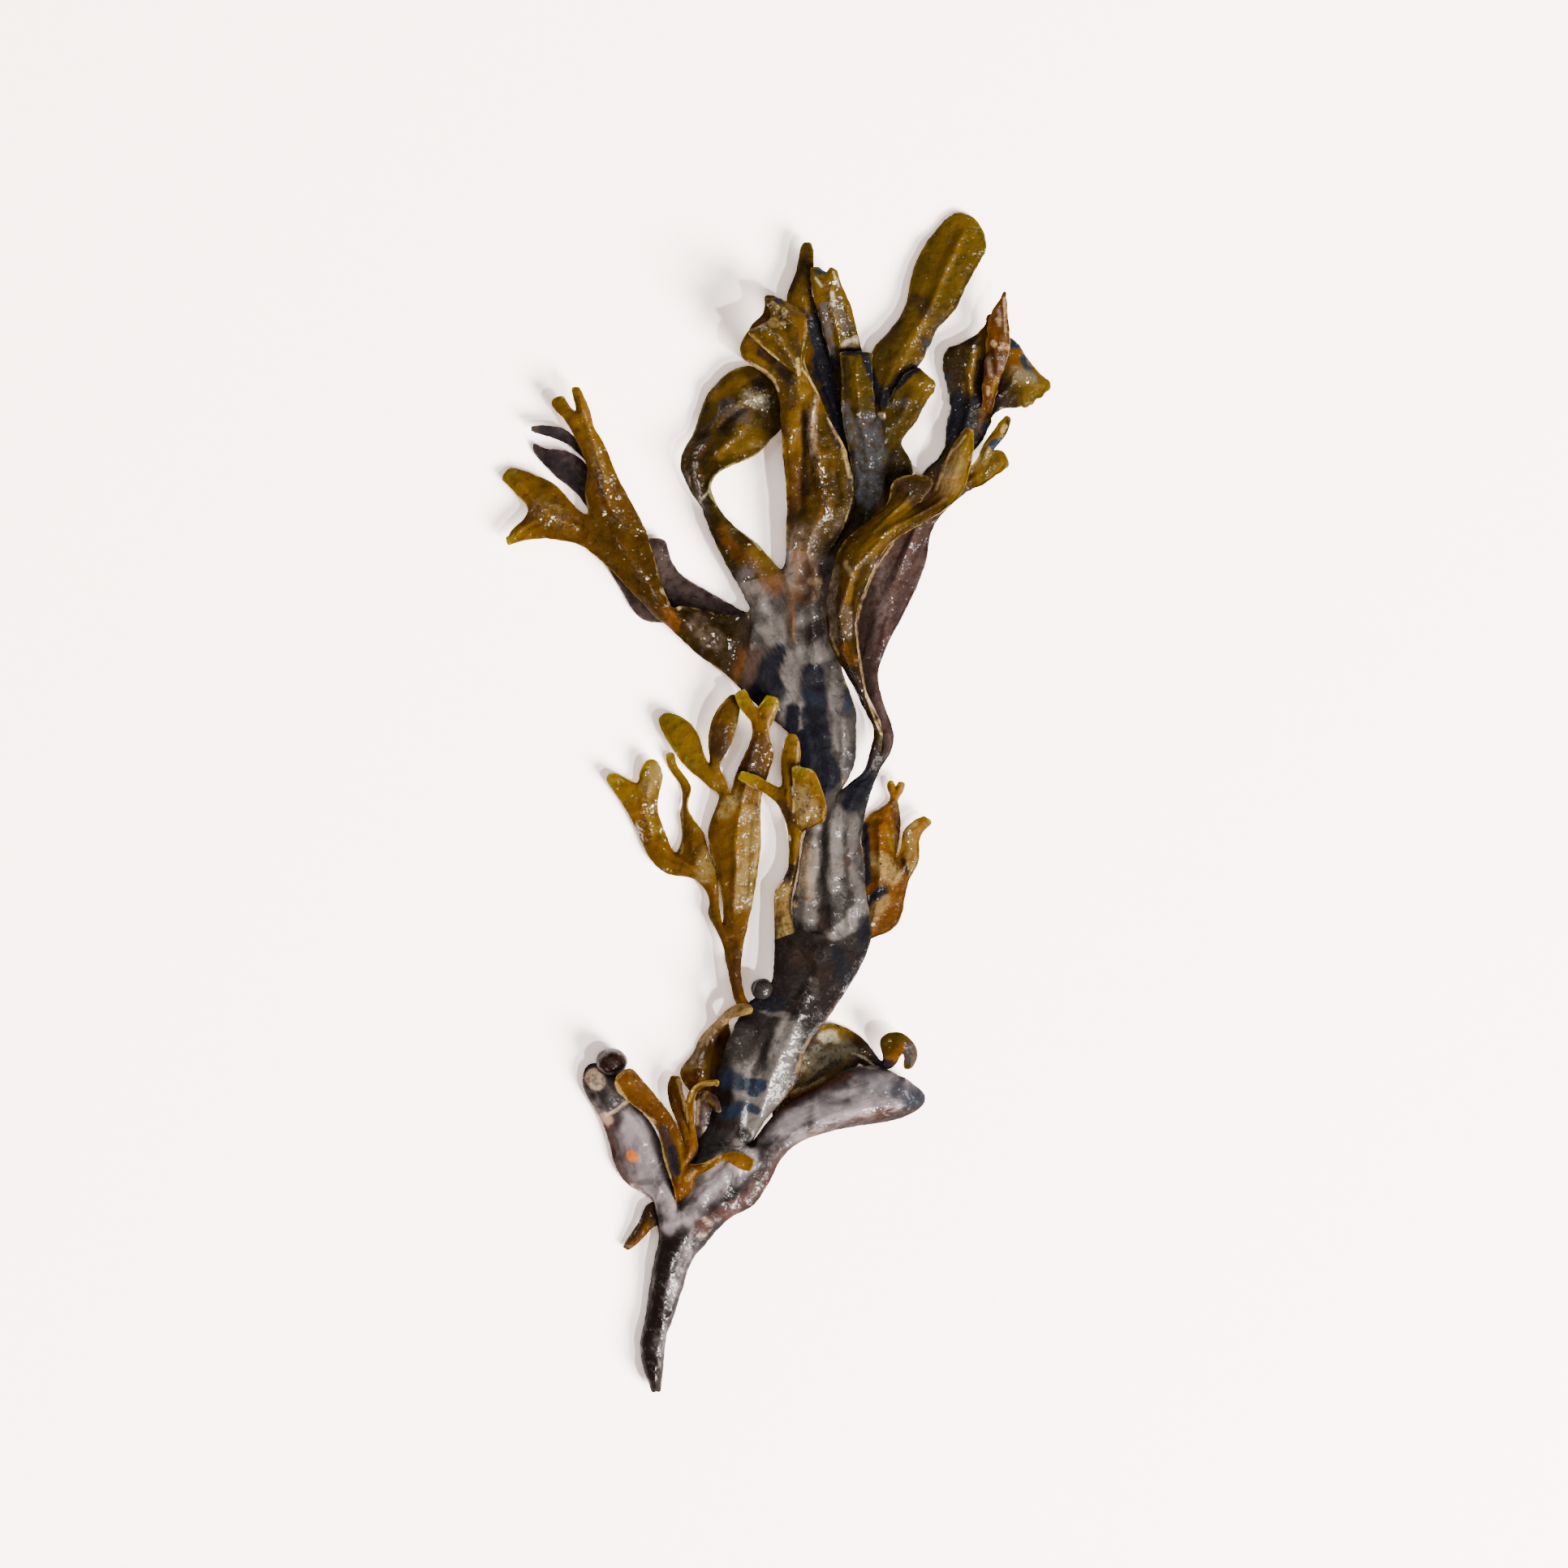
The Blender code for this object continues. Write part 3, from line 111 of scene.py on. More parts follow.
pieces["spur"] = dict(  # a small brown point by the first fork
    thick=1.2, lump=0.2, ridge=0.08, ruffle=0.2, ragged=0.15, tissue="amberTissue", slot="brown_frond",
    blades=dict(
        spur=dict(tone=(0.5, 0.55), rows=[
            (-28.6, -103.4, 2.6, -30.2, -98.2, 2.4, 0.3), (-30.8, -104, 3, -32.8, -98.9, 2.8, 0.4),
            (-33.4, -106.9, 2.2, -34, -102.4, 2.4, 0.5), (-36.9, -109.8, 1, -38.1, -108.4, 1.2, 0.2, 0.5)]),
    ),
    strokes=dict(
        dark=[(2, 0.6, -31.6, -99, -36, -107), (2.4, 0.5, -31, -98, -31.4, -101)],
        rust=[(2, 0.6, -32.4, -104, -36, -108.6)],
    ),
)
pieces["lower_left_branch"] = dict(  # the left stub, which ends in the dark bladder
    thick=3.4, flesh=1.0, lump=0.7, ridge=0.06, ragged=0.2, grey=0.3, tissue="stalkTissue",
    slot="stalk_flesh",
    blades=dict(
        stubLeft=dict(tone=(0.06, 0.1), rows=[
            (-31.2, -97.2, 2.6, -25.8, -94.8, 2.8, 0.5), (-36, -94.8, 2, -26.8, -91, 2.2, 0.6),
            (-39.8, -90.2, 1.4, -28.2, -86.8, 1.6, 0.7), (-41.6, -84.2, 1.3, -29.8, -82, 1.4, 0.8),
            (-43.4, -78.6, 1.4, -32.4, -77.6, 1.4, 0.8), (-46.4, -73.6, 2, -36.6, -73.2, 2, 0.8),
            (-48.4, -68.5, 2.2, -39.6, -68.5, 2.2, 0.8), (-46.9, -64.2, 2.6, -40.6, -65.6, 2.6, 0.5, 0.8)]),
    ),
    folds=[(3.4, 0.5, -29, -95, -33, -84, -38, -76), (1.6, -0.4, -42, -76.5, -37.5, -73.3)],
    # the first dark stroke is painted shade along the left side, away from the light; the last pale stroke is a
    # painted glint, while the other pale strokes and the gold spot are the stub's own marks
    strokes=dict(
        bloom=[(8, 0.9, -36, -76, -33, -86, -29, -97), (6, 0.5, -40, -83, -36, -91),
            (3.4, 0.7, -46.4, -71.6, -44, -75), (3.4, 0.4, -42.4, -66, -40.6, -71)],
        dark=[(5, 0.55, -42.4, -71.6, -41, -77), (3, 0.3, -41.6, -79, -40.6, -86, -38, -91),
            (1.8, 0.6, -29.4, -83, -27.6, -89, -26, -94), (2.4, 0.9, -47.6, -69, -46.6, -72),
            (1.4, 0.5, -34, -93, -31.6, -93)],
        rust=[(6, 0.4, -37, -85.4, -36, -87.4), (3, 0.7, -41.6, -80, -41, -87, -36, -93.4, -32.6, -96.4)],
        gold=[(1.9, 3, -36.5, -86.3, -35.5, -87), (2.6, 0.6, -42.6, -77, -42.2, -78.2)],
        pale=[(2.4, 1.5, -42.7, -77, -42.3, -78), (0.7, 2, -42, -76.4, -40, -75.4, -37.2, -73.2),
            (3.5, 3, -45.6, -67.2, -44.8, -68.3), (1, 1.4, -36, -94, -34, -95.6, -33, -97)],
        wet=[(5, 0.6, -34, -80, -29, -95)],
    ),
    balls=[
        ((-41.2, -63.7, 3.9), (3.9, 3.6, 3.7), 71, {"tone": -0.1, "rust": 0.45, "dark": 0.6, "wet": 0.35})],
)
pieces["lower_right_branch"] = dict(  # the blunt stub on the right
    thick=3.4, flesh=1.0, lump=0.7, ridge=0.08, ragged=0.2, grey=0.3, tissue="stalkTissue",
    slot="stalk_flesh",
    blades=dict(
        stubRight=dict(tone=(0.06, 0.1), rows=[
            (-3.2, -78.6, 5.4, 6.4, -82.4, 5, 1.4), (1.4, -74.2, 6, 12.4, -80.5, 5.4, 1.8),
            (7.4, -70.8, 6.4, 18.6, -79, 5.6, 2), (13.4, -67.3, 6.4, 24.4, -78.2, 5.2, 2.2),
            (19.2, -64.7, 6, 30.4, -77, 4.6, 2.2), (25.8, -65.2, 5.2, 34.6, -74.6, 4, 1.6),
            (30.4, -68, 4.6, 35.6, -71.6, 4, 0.8, 0.6)]),
    ),
    folds=[(3, 0.7, 4, -80, 10, -77.5, 15, -76, 30, -73.6), (3, -0.5, 8, -74, 24, -70)],
    # the stroke along the lower side from 11.4, -78.2 to 30, -73.2 is a painted highlight; the dark stroke
    # along the lower rim and the navy and blue strokes are painted shade
    strokes=dict(
        bloom=[(9, 0.9, 0, -80, 10, -76, 22, -71, 28, -70),
            (2.4, 1, 11.4, -78.2, 14.4, -76.2, 20, -74.8, 30, -73.2), (1.8, 1, 25, -67, 27, -70)],
        wet=[(5, 0.5, 8, -78, 28, -72), (2, 0.9, 11, -78, 20, -74.8, 31, -73)],
        dark=[(2.2, 0.7, 11.6, -79.8, 18, -78.2, 26, -76.8, 33.4, -75), (1.8, 2, 31, -74.4, 34.4, -73.6),
            (4.4, 0.4, 2, -82.4, 8, -80), (3, 0.35, -3, -84, 1.6, -84.4)],
        rust=[(2, 0.9, 4, -83, 11, -79.6, 16, -78, 24, -76.6, 33, -74.6),
            (1.3, 0.8, -6, -82.4, -2, -77, 3, -73, 9, -70.4, 17, -66.4), (3, 0.3, 0, -86.4, 7, -82)],
        blue=[(5, 0.45, 22, -68.4, 28, -69.6, 33, -72)],
        navy=[(4, 0.8, 29.6, -70.6, 33, -72.6), (2.4, 0.5, 10.6, -72.4, 16, -72.4)],
    ),
)
pieces["young_shoots"] = dict(  # the tuft of golden shoots in the first fork
    thick=1.2, lump=0.15, ridge=0.08, ruffle=0.25, ragged=0.2, tissue="goldenTissue", slot="gold_frond",
    blades=dict(
        shootTuft=dict(tone=(0.55, 0.7), rows=[
            (-25.2, -98.6, 3.2, -20.6, -95.6, 4.6, 0.3), (-25.6, -95.2, 5.6, -21, -92.6, 6.5, 0.4)],
            fork=((-27, -90.6, 5.4), (-21.8, -88.6, 7.2), (-19.6, -90.8, 7.6)),
            children=("shootStem", "shootBand")),
        shootBand=dict(tone=(0.72, 0.8), rows=[
            (-17.6, -87.8, 8.8, -17, -89.5, 8.8, 0.1), (-14, -86, 9, -13.4, -87.3, 9, 0.1),
            (-10.4, -85.5, 9.2, -11.2, -88.6, 9.2, 0.3), (-6.4, -87, 9, -7.4, -89.9, 9, 0.2, 0.4)]),
        shootStem=dict(tone=(0.72, 0.75), rows=[],
            fork=((-28.4, -86, 5.2), (-23.2, -84.4, 6.6), (-20.2, -85, 6.6)),
            children=("shootGold", "shootPair")),
        shootGold=dict(tone=(0.6, 0.72), rows=[
            (-29.4, -81, 5.4, -25.2, -78.8, 6.4, 0.3), (-32.4, -76.4, 6, -27.6, -75.2, 6.6, 0.4),
            (-37, -73, 6.4, -31, -70.6, 7, 0.4), (-40.3, -69.4, 7.2, -34, -67.2, 7.6, 0.4),
            (-39.6, -66.6, 8, -36, -65, 8, 0.3, 0.5)]),
        shootPair=dict(tone=(0.72, 0.75), rows=[],
            fork=((-24, -80.6, 6.2), (-22.2, -79.6, 6.2), (-20.8, -80.8, 6.4)),
            children=("shootFringed", "shootCurl")),
        shootFringed=dict(tone=(0.6, 0.75), rows=[
            (-25.1, -77.8, 5.2, -22.7, -77.6, 5.6, 0.2), (-26.8, -73.6, 4.2, -22.9, -74.6, 4.6, 0.4),
            (-27.4, -69.8, 3.4, -23.6, -71.4, 3.8, 0.3), (-26.4, -67.4, 2.6, -24.4, -67.8, 2.8, 0.2, 0.4)]),
        shootCurl=dict(tone=(0.75, 0.9), rows=[
            (-22.6, -75.2, 6.8, -21.2, -75.2, 7, 0.1), (-21.9, -71, 7.8, -20.6, -71.6, 8, 0.1),
            (-19, -68.2, 8.6, -18.6, -69.4, 8.8, 0.1), (-15, -67.8, 9.6, -15, -69, 9.6, 0.1, 0.2)]),
    ),
    strokes=dict(
        rust=[(3, 0.7, -21, -84, -24, -94.6), (2, 0.5, -26.4, -79, -25.6, -80)],
        # blue and navy: painted shade in the gap between the stub and the shoots
        blue=[(2.4, 0.5, -28, -80.4, -26.6, -86, -25.8, -91)],
        navy=[(2, 0.9, -26.4, -84.6, -25, -90.4)],
        pale=[(0.9, 1, -30, -80.6, -28.2, -87, -26.8, -91.6),
            (0.9, 0.9, -40, -68.4, -37.4, -73, -30.6, -78.4), (1.1, 0.8, -24.6, -68, -23.6, -72, -22.4, -78),
            (0.7, 0.8, -22, -73, -20.4, -69, -16, -68.4), (0.8, 0.7, -18.6, -88.6, -14.4, -86.2),
            (1.6, 0.6, -21, -90, -22.4, -92)],
        gold=[(0.8, 1, -25, -82.4, -23.6, -88, -24.6, -93)],
        dark=[(1.4, 0.6, -27.2, -70, -26.8, -73)],
    ),
)
pieces["curled_leaflet"] = dict(  # the pinkish curled leaf beside the strap
    thick=1.2, lump=0.2, ridge=0.14, ruffle=0.3, ragged=0.2, grey=0.3, tissue="shadedTissue",
    slot="smoke_frond",
    blades=dict(
        curledLeaflet=dict(tone=(0.35, 0.45), rows=[
            (-21, -87, 3.4, -16.2, -85.2, 3.8, 0.2), (-21.2, -83.4, 4.2, -16.8, -82, 4.4, 0.2),
            (-20.2, -77.6, 5.4, -17.3, -78.2, 5.4, 0.5), (-19.8, -72.6, 6.6, -16.6, -74.4, 6.8, 0.9),
            (-17.6, -70.6, 8.2, -16, -74.6, 8.8, 0.9), (-15.2, -72.6, 9.4, -14.4, -75.6, 9.6, 0.5, 0.4)]),
    ),
    strokes=dict(
        # dark: painted shade in the gap between the leaflet and the strap
        dark=[(2.4, 1, -16.4, -75, -16.6, -80, -18, -86), (3, 1.5, -20.6, -86, -19.4, -83.4)],
        pale=[(1, 1, -20.2, -78.6, -19.6, -73, -17.8, -70.8), (1, 0.7, -18.4, -80, -17.4, -83)],
        gold=[(1.6, 0.6, -18, -71, -15.4, -75.4)],
        bloom=[(2, 0.9, -19, -74, -18.4, -81)],
    ),
)
pieces["lower_left_leaf"] = dict(  # the leaf behind the strap on the left
    thick=1.2, lump=0.3, ridge=0.08, ruffle=0.4, ragged=0.2, tissue="goldenTissue", slot="gold_frond",
    blades=dict(
        leafLowLeft=dict(tone=(0.55, 0.8), rows=[
            (-18, -76.4, 1.8, -9.5, -75, 3.9, 0.3), (-21.4, -71.4, 1.8, -11.5, -70.4, 3.7, 0.3),
            (-24.4, -66.4, 1, -12, -65.4, 3.2, 0.4), (-21.2, -62, 0.5, -11.8, -61.2, 2.6, 0.6),
            (-19.2, -57.8, 0.5, -11.8, -57.4, 2.6, 0.8), (-16.4, -54.4, 2.4, -12.2, -55, 4, 0.9),
            (-13, -51.2, 7.2, -12, -52.8, 8.2, 0.4), (-9, -49, 9.8, -8.6, -51.8, 10.6, 0.4),
            (-6.8, -49.6, 10.4, -6.9, -51.3, 10.6, 0.2, 0.4)]),
    ),
    folds=[(2, 0.6, -20, -70, -18, -60, -13, -53), (2, -0.6, -15, -68, -14, -58)],
    strokes=dict(
        pale=[(3.4, 0.8, -19.4, -58, -15, -53.6, -9, -50.2), (1.6, 0.7, -12, -51.6, -7.2, -50.4)],
        bloom=[(4, 0.7, -22, -64, -18, -57)],
        dark=[(3, 0.35, -20, -62.4, -16, -58.6), (4, 0.2, -18, -68, -14, -66),
            (2.4, 0.5, -12.4, -58, -13.4, -66)],
        rust=[(3, 0.8, -24, -66.4, -21.6, -66.4)],
        gold=[(5, 0.7, -17, -66.4, -17, -61)],
    ),
)
pieces["lower_right_leaf"] = dict(  # the leaf behind the right stub, with a curled end
    thick=1.2, lump=0.3, ridge=0.08, ruffle=0.4, ragged=0.3, olive=0.5, tissue="oliveTissue",
    slot="olive_frond",
    blades=dict(
        leafLowRight=dict(tone=(0.5, 0.6), rows=[
            (0.5, -61.5, 5, -1.6, -76.4, 4.6, 0.2), (4, -61, 4.5, 0.6, -77.2, 3.4, 0.2),
            (9.6, -55.2, 1.4, 8.4, -74, 2.4, -0.6), (14, -54.4, 0.5, 14.2, -70.4, 2.4, -0.8),
            (18.6, -56.4, 0.5, 18.8, -65.2, 2.2, -0.3), (22, -59.4, 1.4, 20, -64.2, 2.2, 0.4),
            (24.8, -63.2, 2.4, 23.8, -65.6, 2.4, 0.3), (25.8, -62, 4.4, 28.2, -64.4, 3.8, 0.2),
            (25, -57.6, 6.6, 29.6, -62.2, 5.4, 0.5), (30, -56.2, 7.6, 30.4, -61.4, 6.6, 0.5),
            (33.8, -60.4, 6.2, 30.6, -62.6, 5.8, 0.4), (32.8, -64.2, 4.2, 30.8, -64.8, 4.2, 0.2, 0.4)]),
    ),
    folds=[(2, 0.6, 4, -66, 14, -60, 21, -61), (2, -0.6, 6, -60, 16, -65)],
    strokes=dict(
        pale=[(2.6, 0.8, 10.4, -57, 14, -57.6), (6, 0.3, 8, -64, 16, -61), (0.8, 0.6, 4, -71, 11, -67.6),
            (0.7, 0.8, 18, -61.4, 21, -62.6, 23.6, -64.8)],
        gold=[(3, 0.8, 11, -55.6, 17, -57.4), (1.6, 1, 3.4, -71.8, 9, -69, 13.6, -66, 17, -62.6)],
        navy=[(6, 0.5, 7.4, -60, 10, -64, 16, -62), (2.6, 0.9, 24.4, -64.6, 26.6, -64.2)],
        bloom=[(3, 0.5, 10, -61, 14, -65)],
        rust=[(2, 0.5, 8, -66, 14, -62.4), (2, 0.7, 27.6, -62.6, 30.6, -60)],
        dark=[(4, 0.7, 18, -58.6, 23.4, -62)],
        blue=[(2.4, 0.6, 32, -60, 31.6, -63), (2, 0.4, 23, -60.6, 25, -63)],
    ),
)
pieces["strap_lower"] = dict(  # the strap from the stalk to its first fork
    thick=2.2, flesh=0.2, lump=0.3, ridge=0.1, ruffle=0.3, ragged=0.25, grey=0.1, tissue="strapTissue",
    slot="stalk_flesh",
    blades=dict(
        strapLow=dict(tone=(0.08, 0.14), rows=[
            (-18.2, -79.3, 4.4, -4.7, -79.6, 5.2, 1.6), (-15.8, -74, 5, -1.6, -75.2, 5.8, 2.2),
            (-15.2, -68.5, 5.6, 2.4, -70.6, 6.2, 2.4), (-14, -63, 6.2, 5.2, -65.6, 6.4, 2.2),
            (-12.2, -57.6, 6.6, 6, -60.4, 6.6, 1.8), (-9.9, -52.6, 6.8, 9.8, -55.4, 6.8, 1.2),
            (-7, -48.4, 6.8, 14.4, -49, 6.8, 0.8), (-2.2, -44.8, 6.6, 17.6, -44, 6.6, 0.7),
            (-1.3, -39, 6.4, 20.8, -38, 6.4, 0.7)],
            fork=((-1, -33.6, 6.2), (4, -30.8, 6.2), (22.6, -32.2, 6.2)),
            children=("centreStem", "strapMid")),
    ),
    folds=[(3, 0.8, -4.5, -79, -3.4, -70, 0.6, -62, 4, -54, 7, -46), (2.2, -0.6, -8, -78, -7, -66, -2, -56),
        (2, 0.4, -12, -74, -11, -64)],
    strokes=dict(
        dark=[(6, 0.7, 1, -35, 0.6, -46), (9, 0.75, 4, -39, 12, -38, 18, -40), (8, 0.8, 14, -44, 6, -50),
            (5, 0.8, 7, -47, 7.4, -53), (9, 0.8, -9, -54, -9.4, -60), (1.6, 0.5, -6, -66, -3, -56, -1.4, -51),
            (4, 0.9, -13.6, -72, -14.4, -78), (3, 0.6, -13.4, -60, -14, -66)],
        rust=[(2.6, 0.7, 4, -36.6, 4.4, -38), (3, 0.4, 10.6, -40.6, 11.4, -42), (3, 0.3, 8, -36, 10, -44),
            (2, 0.4, 19.4, -41, 15, -48, 9.4, -56.4), (1, 0.7, 16, -47, 9, -56.6),
            (1, 0.8, 7.6, -57.6, 4.8, -65, 2, -71, -5.6, -81.6)],
        bloom=[(2.6, 0.5, 8, -44, 9.4, -46.6), (2, 0.6, -4, -50.6, 2, -52),
            (7, 0.9, -9.6, -57, -8.6, -66, -8, -70), (6.4, 0.8, -4, -80, -1.6, -72, 0.6, -64, 2.6, -56),
            (3, 0.7, -7.4, -78, -6, -71)],
        wet=[(3, 0.6, 8, -44, 8.4, -46), (6, 1, -11, -61.6, -8.4, -65), (3.4, 0.35, -5, -77, 1, -64)],
        # navy and blue: painted shadows cast on the strap by the shoots and leaflets above
        navy=[(4, 0.8, 14.6, -37, 16.4, -43), (4, 2, -7, -48.4, -0.6, -48.8)],
        blue=[(4.4, 0.9, -12.4, -67.4, -9.4, -68.6), (2.6, 3, -8, -69, -4.4, -69),
            (1.8, 3, -7, -70.6, -5.8, -70.8), (3.6, 0.9, -13, -76, -9.6, -74.6),
            (1.8, 3, -7, -74.6, -5.6, -75.2)],
        pale=[(1, 0.5, 7, -58, 4.4, -65.4)],
    ),
    balls=[((-4.2, -45.5, 6.9), (2.7, 2.7, 2.6), 72, {"tone": 0.0, "bloom": 0.3, "dark": 0.65, "wet": 0.4})],
)
pieces["strap_middle"] = dict(  # the strap's middle
    thick=2.2, flesh=0.1, lump=0.55, ridge=0.3, ruffle=0.3, ragged=0.3, grey=0.25, tissue="strapTissue",
    slot="strap_flesh",
    blades=dict(
        strapMid=dict(tone=(0.16, 0.2), rows=[
            (3.2, -25.5, 6, 22.2, -27, 6, 1.1), (4.5, -20, 5.8, 21, -21, 5.8, 1.2),
            (5.3, -14.6, 5.6, 20.8, -15, 5.6, 1.2), (6.1, -9, 5.4, 19.8, -8.8, 5.4, 1.1)],
            fork=((7.6, -1, 5.2), (14.9, 3, 5), (22.2, 1.6, 5)), children=("strapUp", "arm")),
    ),
    folds=[(2.4, 0.45, 6, -31, 7, -16, 8.6, -3), (1.9, 0.3, 12.6, -34, 13, -14, 13, -3),
        (2, 0.4, 17.6, -30, 17.4, -14, 17, -4), (1.8, -0.8, 9, -40, 10.2, -16, 10.6, -6),
        (2.2, -0.9, 18, -13, 18.1, -13.4)],
    # the thin dark strokes along the grooves are painted shade; the small crisp pale stroke is a painted glint
    strokes=dict(
        bloom=[(5.4, 1.1, 8.4, -6, 7.6, -14, 6.8, -22), (4.4, 0.9, 15, -2, 14, -10, 13.4, -20),
            (3.4, 0.6, 18.4, -4, 18.6, -20), (3, 0.9, 19.6, -20, 20.6, -25),
            (4, 1.2, 13.6, -32, 17.6, -29.6, 20.6, -25.6), (4, 0.6, 5, -26, 8, -28)],
        pale=[(3.4, 0.6, 6.8, -10, 6.4, -22), (1.2, 3, 3.6, -24.6, 3.9, -24.7)],
        wet=[(3, 0.8, 13.6, -31.6, 18, -29), (4, 0.7, 14, -19, 15.6, -24), (3, 0.5, 7.6, -9, 7, -21)],
        dark=[(1.6, 0.7, 10.4, -7, 10, -16, 9.4, -23), (1.3, 0.5, 16.4, -4, 16, -10),
            (1, 0.6, 19, -12, 17, -12.8, 16.9, -15), (1.4, 1, 15.4, -18.6, 15.9, -18.9),
            (0.9, 1, 4.4, -22.9, 8, -23.6), (3, 0.8, 12.6, -26, 12.4, -30), (4, 0.8, 6, -32, 8, -36),
            (1.4, 0.6, 5.4, -10, 6.2, -10.6), (3, 0.5, 17.6, -20.6, 18, -23)],
        rust=[(0.9, 1, 19.4, -11.8, 17, -12.4, 16.6, -14.6, 17.8, -16.6), (4, 0.4, 9, -25, 11, -31)],
        navy=[(4, 0.8, 20.4, -29, 21, -34)],
    ),
)
pieces["strap_upper"] = dict(  # the strap's top and the broad junction
    thick=2.2, lump=0.5, ridge=0.3, ruffle=0.3, ragged=0.3, grey=0.3, tissue="strapTissue",
    slot="strap_flesh",
    blades=dict(
        strapUp=dict(tone=(0.16, 0.24), rows=[
            (6.6, 5, 5, 17.6, 7.2, 4.8, 0.7), (4.8, 11.4, 4.8, 18.8, 13, 4.6, 0.8),
            (3, 16.8, 4.6, 18.7, 18.8, 4.6, 0.9), (-2.6, 21.6, 4.6, 18.4, 24.6, 4.6, 0.9)],
            fork=((-9.8, 28.6, 4.8), (-7.4, 47.4, 4.8), (14.8, 35, 4.6)), children=("leftStrap", "junction")),
        junction=dict(tone=(0.26, 0.34), rows=[
            (-8.2, 50.2, 4.9, 15.8, 42.6, 4.6, 0.7)],
            fork=((-10.2, 54, 5), (0.4, 57.4, 5), (18.8, 50, 4.6)), children=("upperLeft", "crownRoot")),
        crownRoot=dict(tone=(0.36, 0.45), rows=[],
            fork=((1.7, 62.4, 5.8), (12, 62, 5.2), (21.4, 57.4, 4.6)), children=("central", "wide")),
    ),
    folds=[(2.4, 0.7, 15.4, 6, 15.4, 20, 16, 32), (1.4, 0.5, 2.8, 39.2, 3.4, 46, 3.6, 50, 1.6, 56.4),
        (2, 0.5, -7, 38, -5, 50), (2, 0.6, 9, 34, 8.4, 50, 9, 58), (2, 0.5, 13, 38, 14, 54),
        (2, -0.5, 6, 36, 6, 58)],
    strokes=dict(
        bloom=[(6, 0.8, 1.4, 27, 3, 35), (5, 0.8, 5, 36, 11, 37), (2.4, 1, 1, 18, 1.4, 26),
            (2.2, 1, 5.4, 16, 5.6, 24), (4.4, 0.75, 15, 33, 14.4, 22, 15.6, 14), (3.4, 0.6, 16, 14, 16.6, 7),
            (4, 0.6, 12, 38, 11, 46), (7, 0.75, -7, 55, -5, 49, -1, 42), (4, 0.6, 6, 44, 9, 52)],
        wet=[(2, 0.9, 16.6, 31.6, 16.4, 30.6)],
        # the first pale stroke is a painted glint
        pale=[(1.5, 2, 16.4, 31.2, 16.8, 30), (1.6, 1.2, 8, 54.8, 9.8, 54.4)],
        rust=[(7, 0.6, -8, 31, -7.6, 35), (1.4, 0.7, 15.6, 6.4, 16.4, 4),
            (2.2, 0.6, 2.2, 54, 3.6, 49, 3.2, 42), (5, 0.4, -8, 60, -6, 52)],
        dark=[(4, 0.5, -9, 28, -5, 26), (3, 0.6, -8, 45, -4, 45.6), (4.4, 0.8, 7, 42, 11, 43.6),
            (3, 0.5, 6, 48, 7, 58), (3, 0.6, 11.6, 58, 12.4, 46), (5, 0.5, 1, 22, 0, 16)],
        # navy: crisp painted shadows cast on the strap by the golden leaflets above
        navy=[(4.6, 3, -5.6, 24, -3, 30), (4, 3, -3, 33, -0.6, 27), (2.3, 3, 0.2, 37.8, -0.4, 34),
            (2.2, 3, 0.2, 37.6, -3, 35), (2.8, 3, 3.4, 23, 3, 18), (4.6, 3, 8.4, 31.6, 9, 24),
            (1.6, 3, 9.2, 32.4, 9.4, 33), (5.4, 3, 8.4, 22, 9.6, 14), (7.4, 3, 8, 13, 10.6, 7),
            (4, 2, 6, 16, 6.4, 10), (2.6, 0.7, 17, 27, 16.6, 22), (3, 0.6, 17.6, 12.6, 17, 9)],
        blue=[(1.6, 0.8, 17, 26, 16.8, 23), (3, 0.4, 7, 26, 10, 25)],
        gold=[(1, 0.4, 1.4, 56.6, 2.2, 53, 3.4, 50, 3.4, 46, 3, 40), (6, 0.55, 6, 60, 7, 52),
            (6, 0.5, -4, 62, -2, 54)],
    ),
)
pieces["right_arm"] = dict(  # the dark arm to the right-hand frond
    thick=1.5, lump=0.2, ridge=0.2, ruffle=0.2, ragged=0.2, tissue="strapTissue", slot="stalk_flesh",
    blades=dict(
        arm=dict(tone=(0.2, 0.3), rows=[
            (18.4, 5.9, 5.2, 23.9, 6.6, 4.6, 0.4), (21.2, 8.6, 5.6, 25.1, 9.6, 4.4, 0.3)],
            fork=((22.5, 13.8, 6.4), (24.7, 12.6, 5.4), (27, 12.6, 4)),
            children=("frontRibbon", "backFrond")),
    ),
    strokes=dict(
        navy=[(6, 1, 18, 0, 21, 5)],
        dark=[(4, 1, 21, 5, 24, 12)],
        bloom=[(1.4, 0.7, 19.2, 0.6, 20.4, 2.4)],
    ),
)
